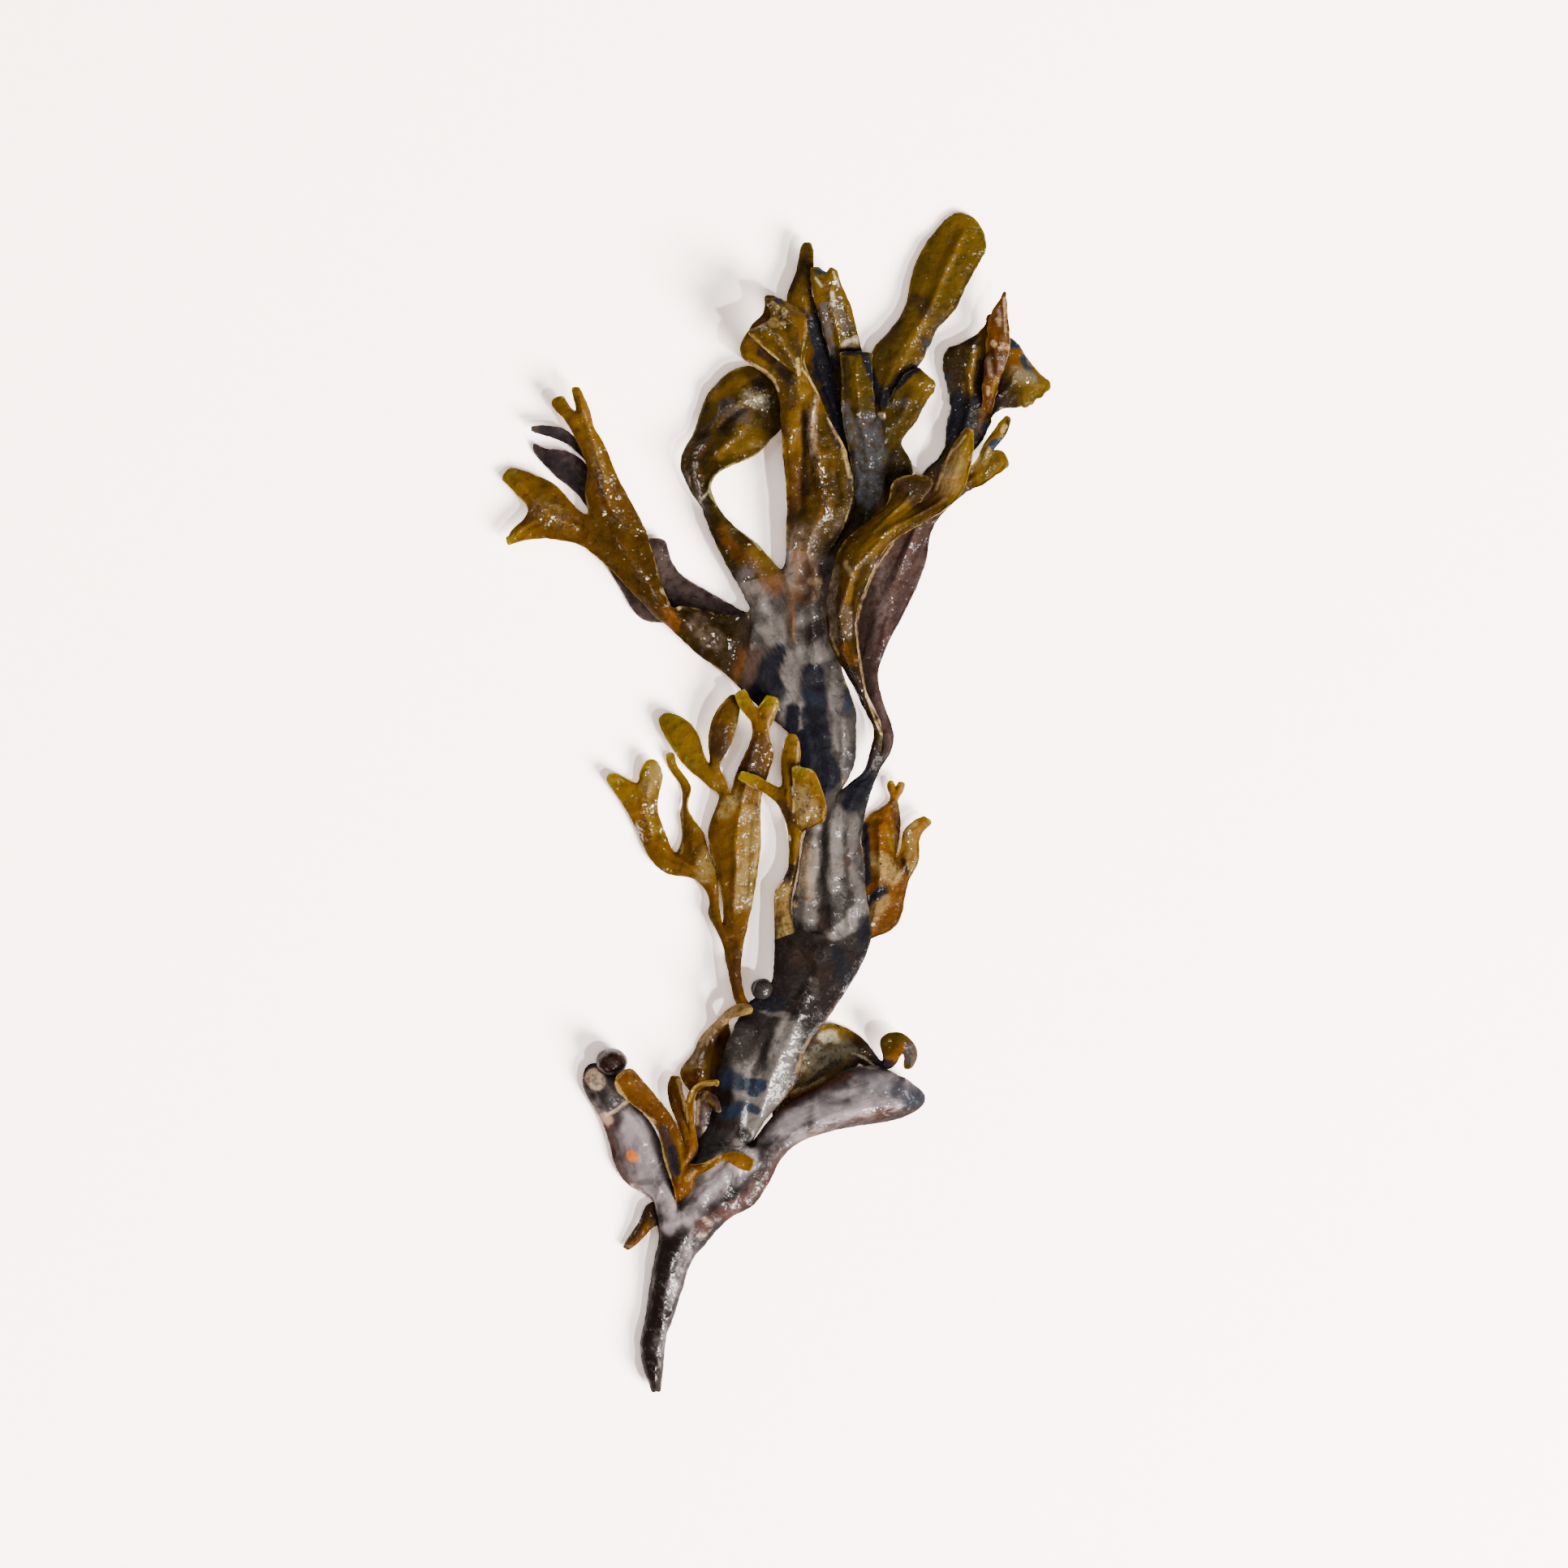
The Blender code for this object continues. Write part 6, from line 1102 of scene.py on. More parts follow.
# the cage is pulled outwards until the smooth surface passes through the rows
control = cagePoints.copy()
for pull in range(3):
    surface = dividedSurface(control)
    control += (cagePoints - surface["points"][:len(cagePoints)]) * 0.8
surface = dividedSurface(control)
points, faces = surface["points"], surface["faces"]
print("surface of", len(faces), "faces")


def surfaceNormals(points, faces):
    # normals of the points, from the faces round them
    across = points[faces[:, 2]] - points[faces[:, 0]]
    along = points[faces[:, 3]] - points[faces[:, 1]]
    faceNormal = np.cross(across, along)
    normals = np.zeros_like(points)
    for corner in range(4):
        np.add.at(normals, faces[:, corner], faceNormal)
    return unit(normals)


def soften(values, rounds):
    # spreads a look over its neighbours, so that each piece fades into the next
    corners = faces.ravel()
    around = np.maximum(1, np.bincount(corners))
    for _ in range(rounds):
        values = np.bincount(corners, np.repeat(values[faces].mean(axis=1), 4), len(values)) / around
    return values


def loneSides(quads, count):
    # the sides that only one quad has, which run round the margin
    sides = np.concatenate([np.stack((quads[:, c], quads[:, (c + 1) % 4]), axis=1) for c in range(4)])
    return sides[~np.isin(sides[:, 0] * count + sides[:, 1], sides[:, 1] * count + sides[:, 0])]


def lineDistance(places, line):
    # how far each place is from a line of corners, given as x, y, x, y and so on
    corners = np.reshape(line, (-1, 2)).astype(float)
    distances = []
    for start, step in zip(corners, np.diff(corners, axis=0)):
        share = np.clip((places - start) @ step / max(step @ step, 1e-6), 0, 1)
        distances.append(np.linalg.norm(places - start - share[:, None] * step, axis=1))
    return np.min(distances, axis=0)


# the sheet is waved, lumped and frayed, then given its thickness; widths and heights in mm
sheet = dict(tearWidth=2.6, nickWidth=0.9, waveWidth=6.0, ruffleWidth=3.6, ribWidth=1.1, ribHeight=0.28,
             ridgeLength=12.0, pimpleWidth=1.1, pimpleHeight=0.05, lumpWidth=2.4, creaseWidth=4.6,
             creaseDepth=0.35, lipWidth=0.45, lipHeight=0.32, lipLength=7.0, gapBelow=0.02, thinnest=0.3,
             thinnestGroove=0.25, fadeRounds=40)
for key in ("grey", "olive", "ridge", "lump"):
    surface[key] = soften(surface[key], sheet["fadeRounds"])
edge, half, lump, flesh = (surface[key] for key in ("edge", "half", "lump", "flesh"))
flow = np.stack((surface["across"], surface["along"], np.zeros(len(points))), axis=1)
normals = surfaceNormals(points, faces)
fray = smoothNoise(points, sheet["tearWidth"], 11, 2) * 0.7
fray = fray + smoothNoise(points, sheet["nickWidth"], 12) * 0.3
points = points + surface["out"] * (surface["ragged"] * fray * edge ** 4)[:, None]
wave = lump * smoothNoise(points, sheet["waveWidth"], 21, 2) * 0.9
wave += surface["ruffle"] * smoothNoise(flow * (0.35, 1, 1), sheet["ruffleWidth"], 22, 2) * edge ** 3
points = points + normals * wave[:, None]

rib = np.exp(-(edge * half / sheet["ribWidth"]) ** 2) * ease(3.0, 5.0, half)
rib = rib * (1 - flesh) * sheet["ribHeight"]
ridges = smoothNoise(flow / (1.0, sheet["ridgeLength"], 1.0), 1.0, 31, 2) * (1 - edge ** 6) * surface["ridge"]
grain = smoothNoise(points, sheet["pimpleWidth"], 32) * sheet["pimpleHeight"]
grain = grain + lump * (0.4 - 0.3 * flesh) * smoothNoise(points, sheet["lumpWidth"], 33)
crease = (1 - np.abs(smoothNoise(points, sheet["creaseWidth"], 34, 2))) ** 5 * lump
crease = crease * sheet["creaseDepth"] * (1 - edge ** 4)
rim = (1 - edge) * half  # how far in from the margin, in mm
thin = 0.5 + 0.25 * ease(0.0, 1.4, rim)
roundness = np.sqrt(np.clip(1 - edge ** 2, 0, 1))
swell = ridges * 0.8 + grain + crease + wave * 0.35
body = surface["thick"] / 2 * ((1 - flesh) * thin + flesh * np.maximum(roundness, 0.22))
normals = surfaceNormals(points, faces)
lip = np.exp(-(rim / sheet["lipWidth"]) ** 2) * ease(-0.2, 0.4, smoothNoise(points, sheet["lipLength"], 35))
lip = lip * sheet["lipHeight"] * (1 - flesh)
top = points + normals * (body + rib + ridges * 0.8 + grain + crease + lip)[:, None]
bottom = points - normals * body[:, None]
bottom[:, 2] += np.maximum(0.0, sheet["gapBelow"] - bottom[:, 2])
top[:, 2] = np.maximum(top[:, 2], bottom[:, 2] + sheet["thinnest"])
owner = np.zeros(len(points), np.int64)
owner[faces.ravel()] = np.repeat(surface["piece"], 4)

for index, name in enumerate(pieceNames):
    near = np.flatnonzero(owner == index)
    for width, height, *crest in pieces[name].get("folds", ()):
        spots = top[near, :2] + smoothNoise(top[near], 6.0, 41)[:, None] * width * 0.3
        away = lineDistance(spots, crest)
        raised = height * np.clip(1 - away / width, 0, 1) ** 1.6 * (1 - edge[near] ** 6)
        top[near, 2] += raised
        swell[near] += raised
top[:, 2] = np.maximum(top[:, 2], bottom[:, 2] + sheet["thinnestGroove"])
rimSides = loneSides(faces, len(points))
outward = np.zeros_like(points)
for end in range(2):
    np.add.at(outward, rimSides[:, end],
              np.cross(points[rimSides[:, 1]] - points[rimSides[:, 0]], normals[rimSides[:, end]]))
outward = unit(outward)
topNormals = unit(surfaceNormals(top, faces) + outward * 0.55)  # the margins are shaded as if they were round
bottomNormals = unit(outward * 0.9 - surfaceNormals(bottom, faces))
print("sheet waved and thickened")

# kinds of stroke: the first paints sheen, a reflection of the lamps; navy and blue paint shadows and shade;
# dark paints shade as well as dark tissue; pale paints cream marks as well as glints; rust and gold are
# pigment, and wet lays the film
strokeKinds = ("bloom", "navy", "rust", "pale", "wet", "gold", "blue", "dark")
strokeSeed = 100  # one seed for all, so that a stroke runs on from piece to piece


def strokeMasks(places, marks):
    # how strongly each kind of stroke covers each place
    masks = {kind: np.zeros(len(places)) for kind in strokeKinds}
    warp = np.stack([smoothNoise(places, 3.0, strokeSeed + k, 2) for k in (1, 2)], axis=1)
    fuzz = smoothNoise(places, 1.2, strokeSeed + 3, 2)
    for kind, (width, strength, *line) in marks:
        bend = min(0.35 * width, 0.9) / max(1.0, strength)
        distance = lineDistance(places[:, :2] + warp * bend, line) + fuzz * bend * 0.6
        laid = np.minimum(1, strength * (1 - ease(width * 0.28, width * 0.72, distance)))
        masks[kind] = np.maximum(masks[kind], laid)
    return masks


def ball(centre, radii, seed, turns=28, rings=14):
    # a lumpy closed ball as points, faces and normals
    spots = [(0, 0, 1)]
    for ring in range(1, rings):
        high = math.pi * ring / rings
        turned = [math.tau * t / turns for t in range(turns)]
        spots += [(math.sin(high) * math.cos(a), math.sin(high) * math.sin(a), math.cos(high)) for a in turned]
    spots = np.array(spots + [(0, 0, -1)])
    patches = [(0, 1 + t, 1 + (t + 1) % turns) for t in range(turns)]
    for ring in range(rings - 2):
        a = 1 + ring * turns
        patches += [(a + t, a + turns + t, a + turns + (t + 1) % turns, a + (t + 1) % turns)
                    for t in range(turns)]
    last, a = len(spots) - 1, 1 + (rings - 2) * turns
    patches += [(last, a + (t + 1) % turns, a + t) for t in range(turns)]
    lumpy = 1 + 0.06 * smoothNoise(spots, 0.5, seed, 2)
    return np.array(centre) + spots * radii * lumpy[:, None], patches, unit(spots / radii)


def shell(index, name, marks):
    # one closed piece: its top, its underside and the walls between them
    own = faces[surface["piece"] == index]
    used, local = np.unique(own, return_inverse=True)
    local = local.reshape(own.shape)
    count = len(used)
    rims = loneSides(local, count)
    walls = np.stack((rims[:, 0] + count, rims[:, 1] + count, rims[:, 1], rims[:, 0]), axis=1)
    places = np.concatenate((top[used], bottom[used]))
    shown = np.concatenate((topNormals[used], bottomNormals[used]))
    patches = np.concatenate((local, local[:, ::-1] + count, walls)).tolist()
    values = {key: np.tile(surface[key][used], 2) for key in ("tone", "edge", "olive", "grey")}
    values["swell"] = np.concatenate((swell[used], np.zeros(count)))
    lengthwise = np.tile(flow[used, :2], (2, 1))
    values.update(strokeMasks(places, marks))
    for centre, radii, seed, ballLook in pieces[name].get("balls", ()):
        spots, ballFaces, ballNormals = ball(centre, radii, seed)
        patches += [[len(places) + v for v in patch] for patch in ballFaces]
        places, shown = np.concatenate((places, spots)), np.concatenate((shown, ballNormals))
        lengthwise = np.concatenate((lengthwise, spots[:, :2]))
        for key in values:
            values[key] = np.append(values[key], np.full(len(spots), ballLook.get(key, 0.0)))
    mesh = bpy.data.meshes.new(name + "Fine")
    mesh.from_pydata(inScene(places), [], patches)
    for key, numbers in values.items():
        addAttribute(mesh, key, numbers)
    corner = np.empty(len(mesh.loops), np.int32)
    mesh.loops.foreach_get("vertex_index", corner)
    flowMap = (lengthwise[corner] * 0.01).astype(np.float32)
    mesh.uv_layers.new(name="flow").data.foreach_set("uv", flowMap.ravel())
    mesh.normals_split_custom_set_from_vertices(shown.tolist())
    mesh.materials.append(tissues[pieces[name]["tissue"]])
    piece = addObject(name + "Fine", mesh)
    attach(piece, "root")
    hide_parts(name)
    return piece


def colour(text, share=1.0):
    parts = [int(text[i:i + 2], 16) / 255 for i in (1, 3, 5)]
    return tuple((p / 12.92 if p <= 0.04045 else ((p + 0.055) / 1.055) ** 2.4) * share for p in parts) + (1.0,)


def add(tree, kind, inputs=(), out=0, stops=(), **settings):
    # a node with its settings and what its inputs are given, by name or in order; hands back one output
    node = tree.nodes.new(kind)
    for key, value in settings.items():
        setattr(node, key, value)
    for key, value in (inputs.items() if isinstance(inputs, dict) else enumerate(inputs)):
        if isinstance(value, bpy.types.NodeSocket):
            tree.links.new(value, node.inputs[key])
        else:
            node.inputs[key].default_value = value
    for place, (where, shade) in enumerate(stops):
        stop = node.color_ramp.elements[place] if place < 2 else node.color_ramp.elements.new(where)
        stop.position, stop.color = where, colour(shade)
    return node.outputs[out] if len(node.outputs) else node


# short names for the kinds of node and the settings that the materials use most
maths, ranged, mixed, noisy, ramped = (
    "ShaderNode" + kind for kind in ("Math", "MapRange", "Mix", "TexNoise", "ValToRGB"))
times, plus, larger = ({"operation": word, "use_clamp": True} for word in ("MULTIPLY", "ADD", "MAXIMUM"))
smooth = {"interpolation_type": "SMOOTHSTEP"}
cover, tint, softLight = (
    {"data_type": "RGBA", "blend_type": word, "out": 2} for word in ("MIX", "MULTIPLY", "SOFT_LIGHT"))


def newMaterial(name):
    material = bpy.data.materials.new(name)
    material.use_nodes = True
    material.node_tree.nodes.clear()
    return material, material.node_tree


# what every tissue has unless it says otherwise; relief and ripple in metres, depth is how dark it is
tissueLook = {"bloomShade": "#8b8590", "bloomShare": 0.5, "paleShade": "#c9a878", "rimShade": "#c9b27a",
              "rimShare": 0.6, "rustShade": "#8a5a04", "goldShade": "#503802", "rough": 0.5, "coat": 1.0,
              "filmRough": 0.07, "streaky": 0.2, "depth": 0.4, "darkEdge": 0.0, "cloudWide": False,
              "relief": 0.0003, "ripple": 0.0026}
noiseSizes = {  # scale and detail: 7 mm blotches, 2 mm mottle, 0.7 mm specks and 3 mm ripples in the wet film
    "broad": (150.0, 3.0), "small": (520.0, 4.0), "specks": (1500.0, 2.0), "ripples": (300.0, 2.0)}
oliveStops = ((0.0, "#0e120e"), (0.45, "#403c04"), (0.8, "#766a00"), (1.0, "#8e8a00"))
# navy and blue are painted shadows cast by leaflets and painted shade in the gaps between blades; dark is
# partly the tissue's own dark brown, partly painted shade
shadowAndStainShades = {"dark": "#120a08", "navy": "#0c0c12", "blue": "#151c28"}


def tissue(name, stops, mottle, **given):
    # wet algal tissue: pigment from the tone attribute, blotches, a painted sheen (a grey reflection of the
    # lamps painted into the colour), pale rims that are partly a painted highlight, and a wet film
    look = {**tissueLook, **given}
    material, tree = newMaterial(name)
    place = add(tree, "ShaderNodeTexCoord", out="Object")
    flowMap = add(tree, "ShaderNodeUVMap", uv_map="flow")
    lengthwise = add(tree, "ShaderNodeMapping", {"Vector": flowMap, "Scale": (110.0, 8.0, 1.0)})
    broad, small, specks, ripples = (
        add(tree, noisy, {"Vector": place, "Scale": scale, "Detail": detail, "Roughness": 0.55})
        for scale, detail in noiseSizes.values())
    streak = add(tree, noisy, {"Vector": lengthwise, "Scale": 1.0, "Detail": 4.0, "Roughness": 0.55})
    own = {key: add(tree, "ShaderNodeAttribute", out="Fac", attribute_name=key)
           for key in ("tone", "olive", "grey", "edge", "swell", *strokeKinds)}
    shift = add(tree, maths, (broad, mottle, -mottle / 2), operation="MULTIPLY_ADD")
    shift = add(tree, maths, (add(tree, maths, (own["tone"], shift), **plus),
                              add(tree, maths, (streak, 0.12), **times)), operation="SUBTRACT")
    shade = add(tree, ramped, (shift,), stops=stops)
    olive = add(tree, maths, (own["olive"], add(tree, ranged, (small, 0.3, 0.7, 0.5, 1.0), **smooth)), **times)
    shade = add(tree, mixed, {0: olive, 6: shade, 7: add(tree, ramped, (shift,), stops=oliveStops)}, **cover)
    for source, low, high, over, how in ((small, 0.52, 0.75, "#6c6238", tint),
                                         (streak, 0.5, 0.75, "#e6c08a", softLight)):
        shifted = add(tree, mixed, {0: 1.0, 6: shade, 7: colour(over)}, **how)
        share = add(tree, ranged, (source, low, high, 0.0, 0.5), **smooth)
        shade = add(tree, mixed, {0: share, 6: shade, 7: shifted}, **cover)
    rust = add(tree, maths, (own["rust"], add(tree, ranged, (small, 0.25, 0.6, 0.4, 1.0), **smooth)), **times)
    shade = add(tree, mixed, {0: rust, 6: shade, 7: colour(look["rustShade"])}, **cover)
    deep = add(tree, "ShaderNodeGamma", {"Color": shade, "Gamma": 1.35})
    deep = add(tree, "ShaderNodeHueSaturation", {"Color": deep, "Saturation": 1.4, "Value": look["depth"]})
    # painted shade makes the hollows darker and browner, a painted highlight makes the crests brighter
    for low, high, start, end, over in ((-0.45, 0.0, 0.75, 0.0, colour("#b09a88")),
                                        (0.05, 0.6, 0.0, 0.5, (1.7, 1.6, 1.4, 1.0))):
        shifted = add(tree, mixed, {0: 1.0, 6: deep, 7: over}, **tint)
        share = add(tree, ranged, (own["swell"], low, high, start, end), **smooth)
        deep = add(tree, mixed, {0: share, 6: deep, 7: shifted}, **cover)
    # painted sheen: where the first kind of stroke and the grey look lie, a silvery reflection of the lamps is
    # painted into the colour; it fades towards the margins by darkEdge and is broken into clouds
    bloom = add(tree, maths, (own["bloom"], own["grey"]), **larger)
    inner = add(tree, ranged, (own["edge"], 0.55, 1.0, 1.0, 1.0 - look["darkEdge"]), **smooth)
    bloom = add(tree, maths, (bloom, inner), **times)
    clouds = add(tree, maths, (broad if look["cloudWide"] else small, 0.6), **times)
    clouds = add(tree, maths, (clouds, add(tree, maths, (streak, look["streaky"]), **times)), **plus)
    cloudy = add(tree, ranged, (clouds, 0.24, 0.24 + 0.3 * (0.6 + look["streaky"]), 0.1, 1.0), **smooth)
    share = add(tree, maths, (add(tree, maths, (bloom, cloudy), **times), look["bloomShare"]), **times)
    deep = add(tree, mixed, {0: share, 6: deep, 7: colour(look["bloomShade"], look["depth"])}, **cover)
    solid = add(tree, ranged, (small, 0.2, 0.5, 0.7, 1.0), **smooth)
    # the gold pigment, then the painted shadows and shade of the navy, blue and dark strokes
    for kind, over in {"gold": look["goldShade"], **shadowAndStainShades}.items():
        share = add(tree, maths, (own[kind], solid), **times)
        deep = add(tree, mixed, {0: share, 6: deep, 7: colour(over)}, **cover)
    # pale strokes: cream margins and spots of the tissue, and painted glints where light catches the wet
    # surface
    grainy = add(tree, maths, (add(tree, maths, (small, 0.6), **times),
                               add(tree, maths, (specks, 0.4), **times)), **plus)
    share = add(tree, ranged, (grainy, 0.36, 0.56, 0.25, 0.95), **smooth)
    share = add(tree, maths, (own["pale"], share), **times)
    deep = add(tree, mixed, {0: share, 6: deep, 7: colour(look["paleShade"], look["depth"])}, **cover)
    # pale rims: partly the margin's own paler colour, partly a painted highlight where light catches the
    # rounded edge
    rimMask = add(tree, ranged, (own["edge"], 0.92, 1.0, 0.0, look["rimShare"]), **smooth)
    rimMask = add(tree, maths, (rimMask, add(tree, ranged, (small, 0.42, 0.6), **smooth)), **times)
    deep = add(tree, mixed, {0: rimMask, 6: deep, 7: colour(look["rimShade"], look["depth"])}, **cover)
    # the film lies thickest on strokes of wet, under the painted sheen, on crests and in broad patches
    wet = add(tree, maths, (bloom, add(tree, ranged, (cloudy, 0.1, 0.8, 0.1, 0.55), **smooth)), **times)
    wet = add(tree, maths, (own["wet"], wet), **larger)
    wet = add(tree, maths, (wet, add(tree, ranged, (broad, 0.52, 0.74, 0.0, 0.5), **smooth)), **larger)
    wet = add(tree, maths, (wet, add(tree, ranged, (own["swell"], 0.15, 0.6, 0.0, 0.7), **smooth)), **larger)
    # little film on the painted shadows of the navy strokes
    filmOutsidePaintedShadow = add(tree, maths, (1.0, add(tree, maths, (own["navy"], 0.8), **times)), operation="SUBTRACT")
    wet = add(tree, maths, (wet, filmOutsidePaintedShadow), **times)
    bumpy = add(tree, maths, (add(tree, maths, (small, 0.7), **times),
                              add(tree, maths, (specks, 0.3), **times)), **plus)
    rippled = add(tree, maths, (ripples, add(tree, maths, (small, 0.12), **times)), **plus)
    skin = add(tree, "ShaderNodeBump", {"Strength": 1.0, "Distance": look["relief"], "Height": bumpy})
    film = add(tree, "ShaderNodeBump", {"Strength": 1.0, "Distance": look["ripple"], "Height": rippled})
    rough, coat = look["rough"], look["coat"]
    shine = add(tree, "ShaderNodeBsdfPrincipled", {
        "Base Color": deep, "Normal": skin, "Coat Normal": film,
        "Roughness": add(tree, ranged, (small, 0.3, 0.7, rough - 0.1, rough + 0.15), **smooth),
        "Coat Weight": add(tree, ranged, (wet, 0.0, 1.0, coat * 0.06, coat), **smooth),
        "Coat Roughness": look["filmRough"], "IOR": 1.36, "Coat IOR": 1.47, "Specular IOR Level": 0.06})
    add(tree, "ShaderNodeOutputMaterial", {"Surface": shine}, target="ALL")
    return material


goldStops = ((0.0, "#181204"), (0.35, "#4a3602"), (0.6, "#7c5400"), (0.8, "#9c7400"), (1.0, "#a89604"))
brownStops = ((0.0, "#151006"), (0.35, "#453206"), (0.6, "#785600"), (0.8, "#987400"), (1.0, "#a49002"))
tissues = {
    # dark round flesh, with a painted silver sheen where it is wet
    "stalkTissue": tissue(
        "fleshyStalkTissue", ((0.0, "#1a0e0a"), (0.12, "#3a2620"), (0.4, "#5e4a44"), (1.0, "#9e9090")), 0.3,
        bloomShade="#bdaeb1", bloomShare=0.85, paleShade="#d8b898", rustShade="#7e4a2c", goldShade="#9c5220",
        rimShare=0.0, coat=0.9, filmRough=0.2, darkEdge=0.85, cloudWide=True, relief=0.00012, ripple=0.0012),
    # near-black strap with wet streaks of painted silver sheen
    "strapTissue": tissue(
        "darkStrapTissue", ((0.0, "#0e0a0e"), (0.15, "#1c1214"), (0.35, "#4a3222"), (1.0, "#80603a")), 0.3,
        bloomShade="#a0958e", bloomShare=0.8, rimShade="#8a7060", rimShare=0.15, rustShade="#7a4a14",
        goldShade="#5a3610", coat=0.9, filmRough=0.18, streaky=0.5, darkEdge=0.5, depth=0.34, ripple=0.0007),
    # brown to amber fronds
    "amberTissue": tissue("amberFrondTissue", brownStops, 0.34, bloomShade="#8a7460", rimShade="#d8b860",
                          rimShare=0.35, depth=0.48),
    # golden fronds with pale rims, partly a painted highlight
    "goldenTissue": tissue("goldenFrondTissue", goldStops, 0.36, bloomShade="#a08448", bloomShare=0.8,
                           paleShade="#b89858", rimShade="#e0cc70", rimShare=0.35),
    # olive to gold fronds
    "oliveTissue": tissue("oliveFrondTissue", brownStops, 0.34, bloomShade="#54545a", bloomShare=0.8,
                          paleShade="#c8bc98", rimShade="#cfc470", rimShare=0.25, depth=0.46),
    # smoky fronds at the back, less wet
    "shadedTissue": tissue(
        "shadedFrondTissue", ((0.0, "#241c20"), (0.2, "#3a2f31"), (0.45, "#5e4a44"), (1.0, "#84706a")), 0.25,
        bloomShade="#7a6a66", bloomShare=0.6, rimShade="#b8a08c", rimShare=0.3, coat=0.5, ripple=0.001),
    # one coppery strip
    "copperTissue": tissue("copperStripTissue", ((0.0, "#2a180c"), (0.5, "#70502c"), (1.0, "#a07850")), 0.3,
                           bloomShade="#c8a8a0", bloomShare=0.4, rimShade="#e0c0a8", rimShare=0.4),
}
print("tissues made:", len(tissues))

# pieces that share their strokes where they grow together
joined = (("stipe", "lower_left_branch", "lower_right_branch", "strap_lower"), ("strap_lower", "strap_middle"),
          ("strap_middle", "strap_upper", "right_arm"), ("strap_upper", "left_branch", "upper_left_frond"),
          ("strap_upper", "central_frond", "wide_frond"), ("wide_frond", "tall_lobe", "small_lobe"),
          ("right_arm", "right_back_frond", "right_front_ribbon"),
          ("left_branch", "left_west_blade", "left_fingers"))


def strokesOf(names):
    return [(kind, mark) for name in names
            for kind, marks in pieces[name].get("strokes", {}).items() for mark in marks]


fine = []
for index, name in enumerate(pieceNames):
    near = {name} | {other for group in joined if name in group for other in group}
    fine.append(shell(index, name, strokesOf(other for other in pieceNames if other in near)))
print("pieces built:", len(fine), "with", sum(len(p.data.polygons) for p in fine) * 2, "triangles")

beadSettings = {"Beads per square metre": 500000.0, "Smallest radius": 0.1 * mm, "Largest radius": 0.3 * mm,
                "Seed": 5}
beadedTissues = ("amberTissue", "goldenTissue", "oliveTissue")
beadFlatness = 0.4
marginStart = 0.93  # no beads closer to the margin than this


def beadSurface():
    # the tops of all the blades, with how likely a bead of sea water is at each point
    mesh = bpy.data.meshes.new("beadSurface")
    mesh.from_pydata(inScene(top), [], faces.tolist())
    beaded = np.array([given["tissue"] in beadedTissues for given in pieces.values()])
    inside = edge < marginStart
    likely = np.clip(smoothNoise(points, 9.0, 61, 2) * 1.6 - 0.1, 0.04, 1) * 0.3 * inside * beaded[owner]
    for index, name in enumerate(pieceNames):
        near = np.flatnonzero(owner == index)
        wetter = strokeMasks(top[near], strokesOf((name,)))["wet"] * 0.6 * inside[near]
        likely[near] = np.maximum(likely[near], wetter * beaded[index])
    addAttribute(mesh, "likely", likely)
    return addObject("waterBeads", mesh)


def beadTree(material):
    # scatters flattened drops over a surface, each one a low ball of few faces
    tree = bpy.data.node_groups.new("waterBeadTree", "GeometryNodeTree")
    tree.interface.new_socket("Surface", in_out="INPUT", socket_type="NodeSocketGeometry")
    for name, value in beadSettings.items():
        kind = "NodeSocketInt" if isinstance(value, int) else "NodeSocketFloat"
        tree.interface.new_socket(name, in_out="INPUT", socket_type=kind).default_value = value
    tree.interface.new_socket("Beads", in_out="OUTPUT", socket_type="NodeSocketGeometry")
    given = add(tree, "NodeGroupInput").node.outputs
    likely = add(tree, "GeometryNodeInputNamedAttribute", {"Name": "likely"}, out="Attribute",
                 data_type="FLOAT")
    density = add(tree, maths, (likely, given["Beads per square metre"]), operation="MULTIPLY")
    spots = add(tree, "GeometryNodeDistributePointsOnFaces",
                {"Mesh": given["Surface"], "Density": density, "Seed": given["Seed"]}).node.outputs
    drop = add(tree, "GeometryNodeMeshUVSphere", {"Segments": 8, "Rings": 5, "Radius": 1.0})
    width = add(tree, "FunctionNodeRandomValue", {2: given["Smallest radius"], 3: given["Largest radius"],
                                                  "Seed": given["Seed"]}, out=1, data_type="FLOAT")
    height = add(tree, maths, (width, beadFlatness), operation="MULTIPLY")
    size = add(tree, "ShaderNodeCombineXYZ", (width, width, height))
    drops = add(tree, "GeometryNodeInstanceOnPoints", {"Points": spots["Points"], "Instance": drop,
                                                       "Rotation": spots["Rotation"], "Scale": size})
    solid = add(tree, "GeometryNodeRealizeInstances", {"Geometry": drops})
    rounded = add(tree, "GeometryNodeSetShadeSmooth", (solid,))
    painted = add(tree, "GeometryNodeSetMaterial", {"Geometry": rounded, "Material": material})
    add(tree, "NodeGroupOutput", {"Beads": painted})
    return tree


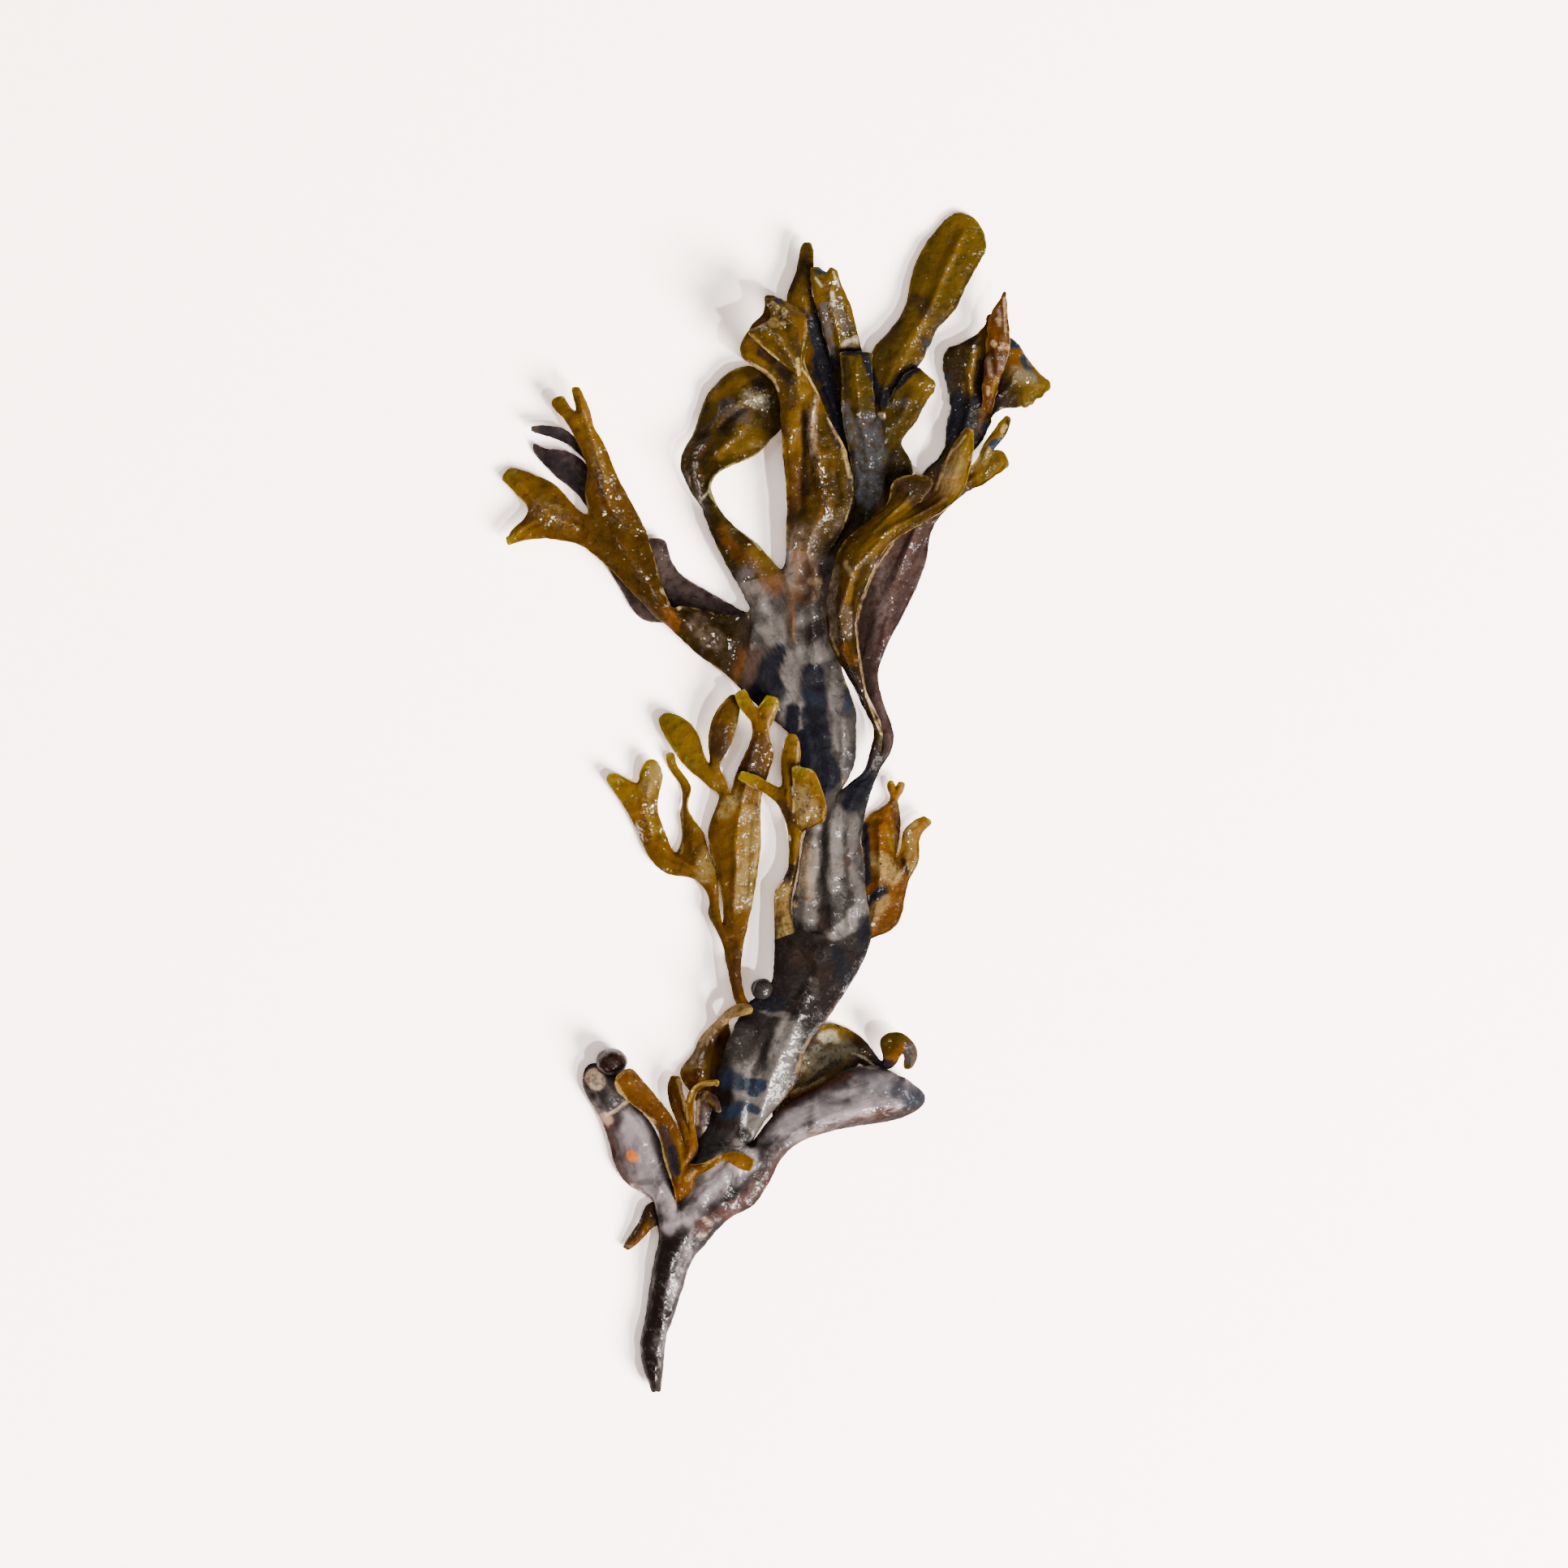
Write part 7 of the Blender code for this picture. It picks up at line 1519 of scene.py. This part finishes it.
# sea water in beads: clear over brown tissue, so it shows as a bright speck with a dark rim
waterBead, beadNodes = newMaterial("seaWaterBead")
beadPlace = add(beadNodes, "ShaderNodeTexCoord", out="Object")
beadTones, beadDimples, beadSmears = (
    add(beadNodes, noisy, {"Vector": beadPlace, "Scale": scale, "Detail": 3.0, "Roughness": 0.55})
    for scale in (300.0, 4000.0, 900.0))
beadShine = add(beadNodes, "ShaderNodeBsdfPrincipled", {
    "Base Color": add(beadNodes, ramped, (beadTones,), stops=((0.3, "#1e1706"), (0.7, "#463610"))),
    "Normal": add(beadNodes, "ShaderNodeBump", {"Strength": 0.3, "Distance": 0.04 * mm, "Height": beadDimples}),
    "Roughness": add(beadNodes, ranged, (beadSmears, 0.3, 0.7, 0.08, 0.3), **smooth),
    "IOR": 1.34, "Coat Weight": 1.0, "Coat Roughness": 0.04, "Coat IOR": 1.34})
add(beadNodes, "ShaderNodeOutputMaterial", {"Surface": beadShine}, target="ALL")

holder = beadSurface()
scatter = holder.modifiers.new("beads", "NODES")
scatter.node_group = beadTree(waterBead)
for item in scatter.node_group.interface.items_tree:
    if item.in_out == "INPUT" and item.name in beadSettings:
        scatter[item.identifier] = beadSettings[item.name]
beadMesh = bpy.data.meshes.new_from_object(holder.evaluated_get(bpy.context.evaluated_depsgraph_get()))
holder.modifiers.clear()
spareMesh = holder.data
holder.data = beadMesh
bpy.data.meshes.remove(spareMesh)
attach(holder, "root")
print("water beads:", len(beadMesh.polygons), "faces")

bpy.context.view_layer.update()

# a pale table, soft light from the right and the camera straight above
tableReach = 4.0
tableDrop = 0.0001  # just under the plant
tableBoost = (2.42, 2.2, 2.14, 1.0)  # whiter than paper, as the photo's ground is
tableMaterial, tableNodes = newMaterial("paleTable")
tablePlace = add(tableNodes, "ShaderNodeTexCoord", out="Object")
tableGrain = add(tableNodes, noisy, {"Vector": tablePlace, "Scale": 400.0, "Detail": 3.0, "Roughness": 0.55})
whiteness = add(tableNodes, mixed, {
    0: 1.0, 6: add(tableNodes, ramped, (tableGrain,), stops=((0.3, "#f8f4f3"), (0.7, "#fcf8f7"))),
    7: tableBoost}, **tint)
tableMatt = add(tableNodes, "ShaderNodeBsdfDiffuse", {"Color": whiteness})
add(tableNodes, "ShaderNodeOutputMaterial", {"Surface": tableMatt}, target="ALL")
tableMesh = bpy.data.meshes.new("table")
tableCorners = [(x * tableReach, y * tableReach, -tableDrop) for x, y in ((-1, -1), (1, -1), (1, 1), (-1, 1))]
tableMesh.from_pydata(tableCorners, [], [(0, 1, 2, 3)])
tableMesh.materials.append(tableMaterial)
addObject("table", tableMesh)

lights = {  # place, size across, power and colour; every one looks at the middle of the plant
    "keyLight": ((2.6, -2.2, 1.9), 1.7, 830.0, "#fffaf4"),
    "sparkleLight": ((0.8, -0.55, 1.4), 0.08, 20.0, "#ffffff"),
    "backSparkle": ((-0.5, 0.6, 1.5), 0.07, 3.0, "#eaf2ff"),
    "skyLight": ((0.12, -0.1, 2.0), 0.9, 9.0, "#fff4e6"),
    "fillLight": ((-1.3, 1.0, 1.5), 1.4, 9.0, "#fff0e0"),
}
for name, (place, size, power, shade) in lights.items():
    lamp = bpy.data.lights.new(name, "AREA")
    lamp.shape, lamp.size, lamp.energy, lamp.color = "DISK", size, power, colour(shade)[:3]
    stand = addObject(name, lamp)
    stand.location = place
    stand.rotation_euler = (-Vector(place)).to_track_quat("-Z", "Y").to_euler()
world = bpy.data.worlds.new("softRoom")
world.use_nodes = True
world.node_tree.nodes["Background"].inputs["Color"].default_value = colour("#fbeee8")
world.node_tree.nodes["Background"].inputs["Strength"].default_value = 0.065
bpy.context.scene.world = world

cameraHeight = 1.6
pictureWidth = 0.3864  # metres across the square picture, at 5 pixels to the millimetre
sensorWidth = 36.0
lens = bpy.data.cameras.new("above")
lens.sensor_width = sensorWidth
lens.lens = sensorWidth * cameraHeight / pictureWidth
camera = addObject("above", lens)
camera.location = (0.0016, 0.0046, cameraHeight)
bpy.context.scene.camera = camera
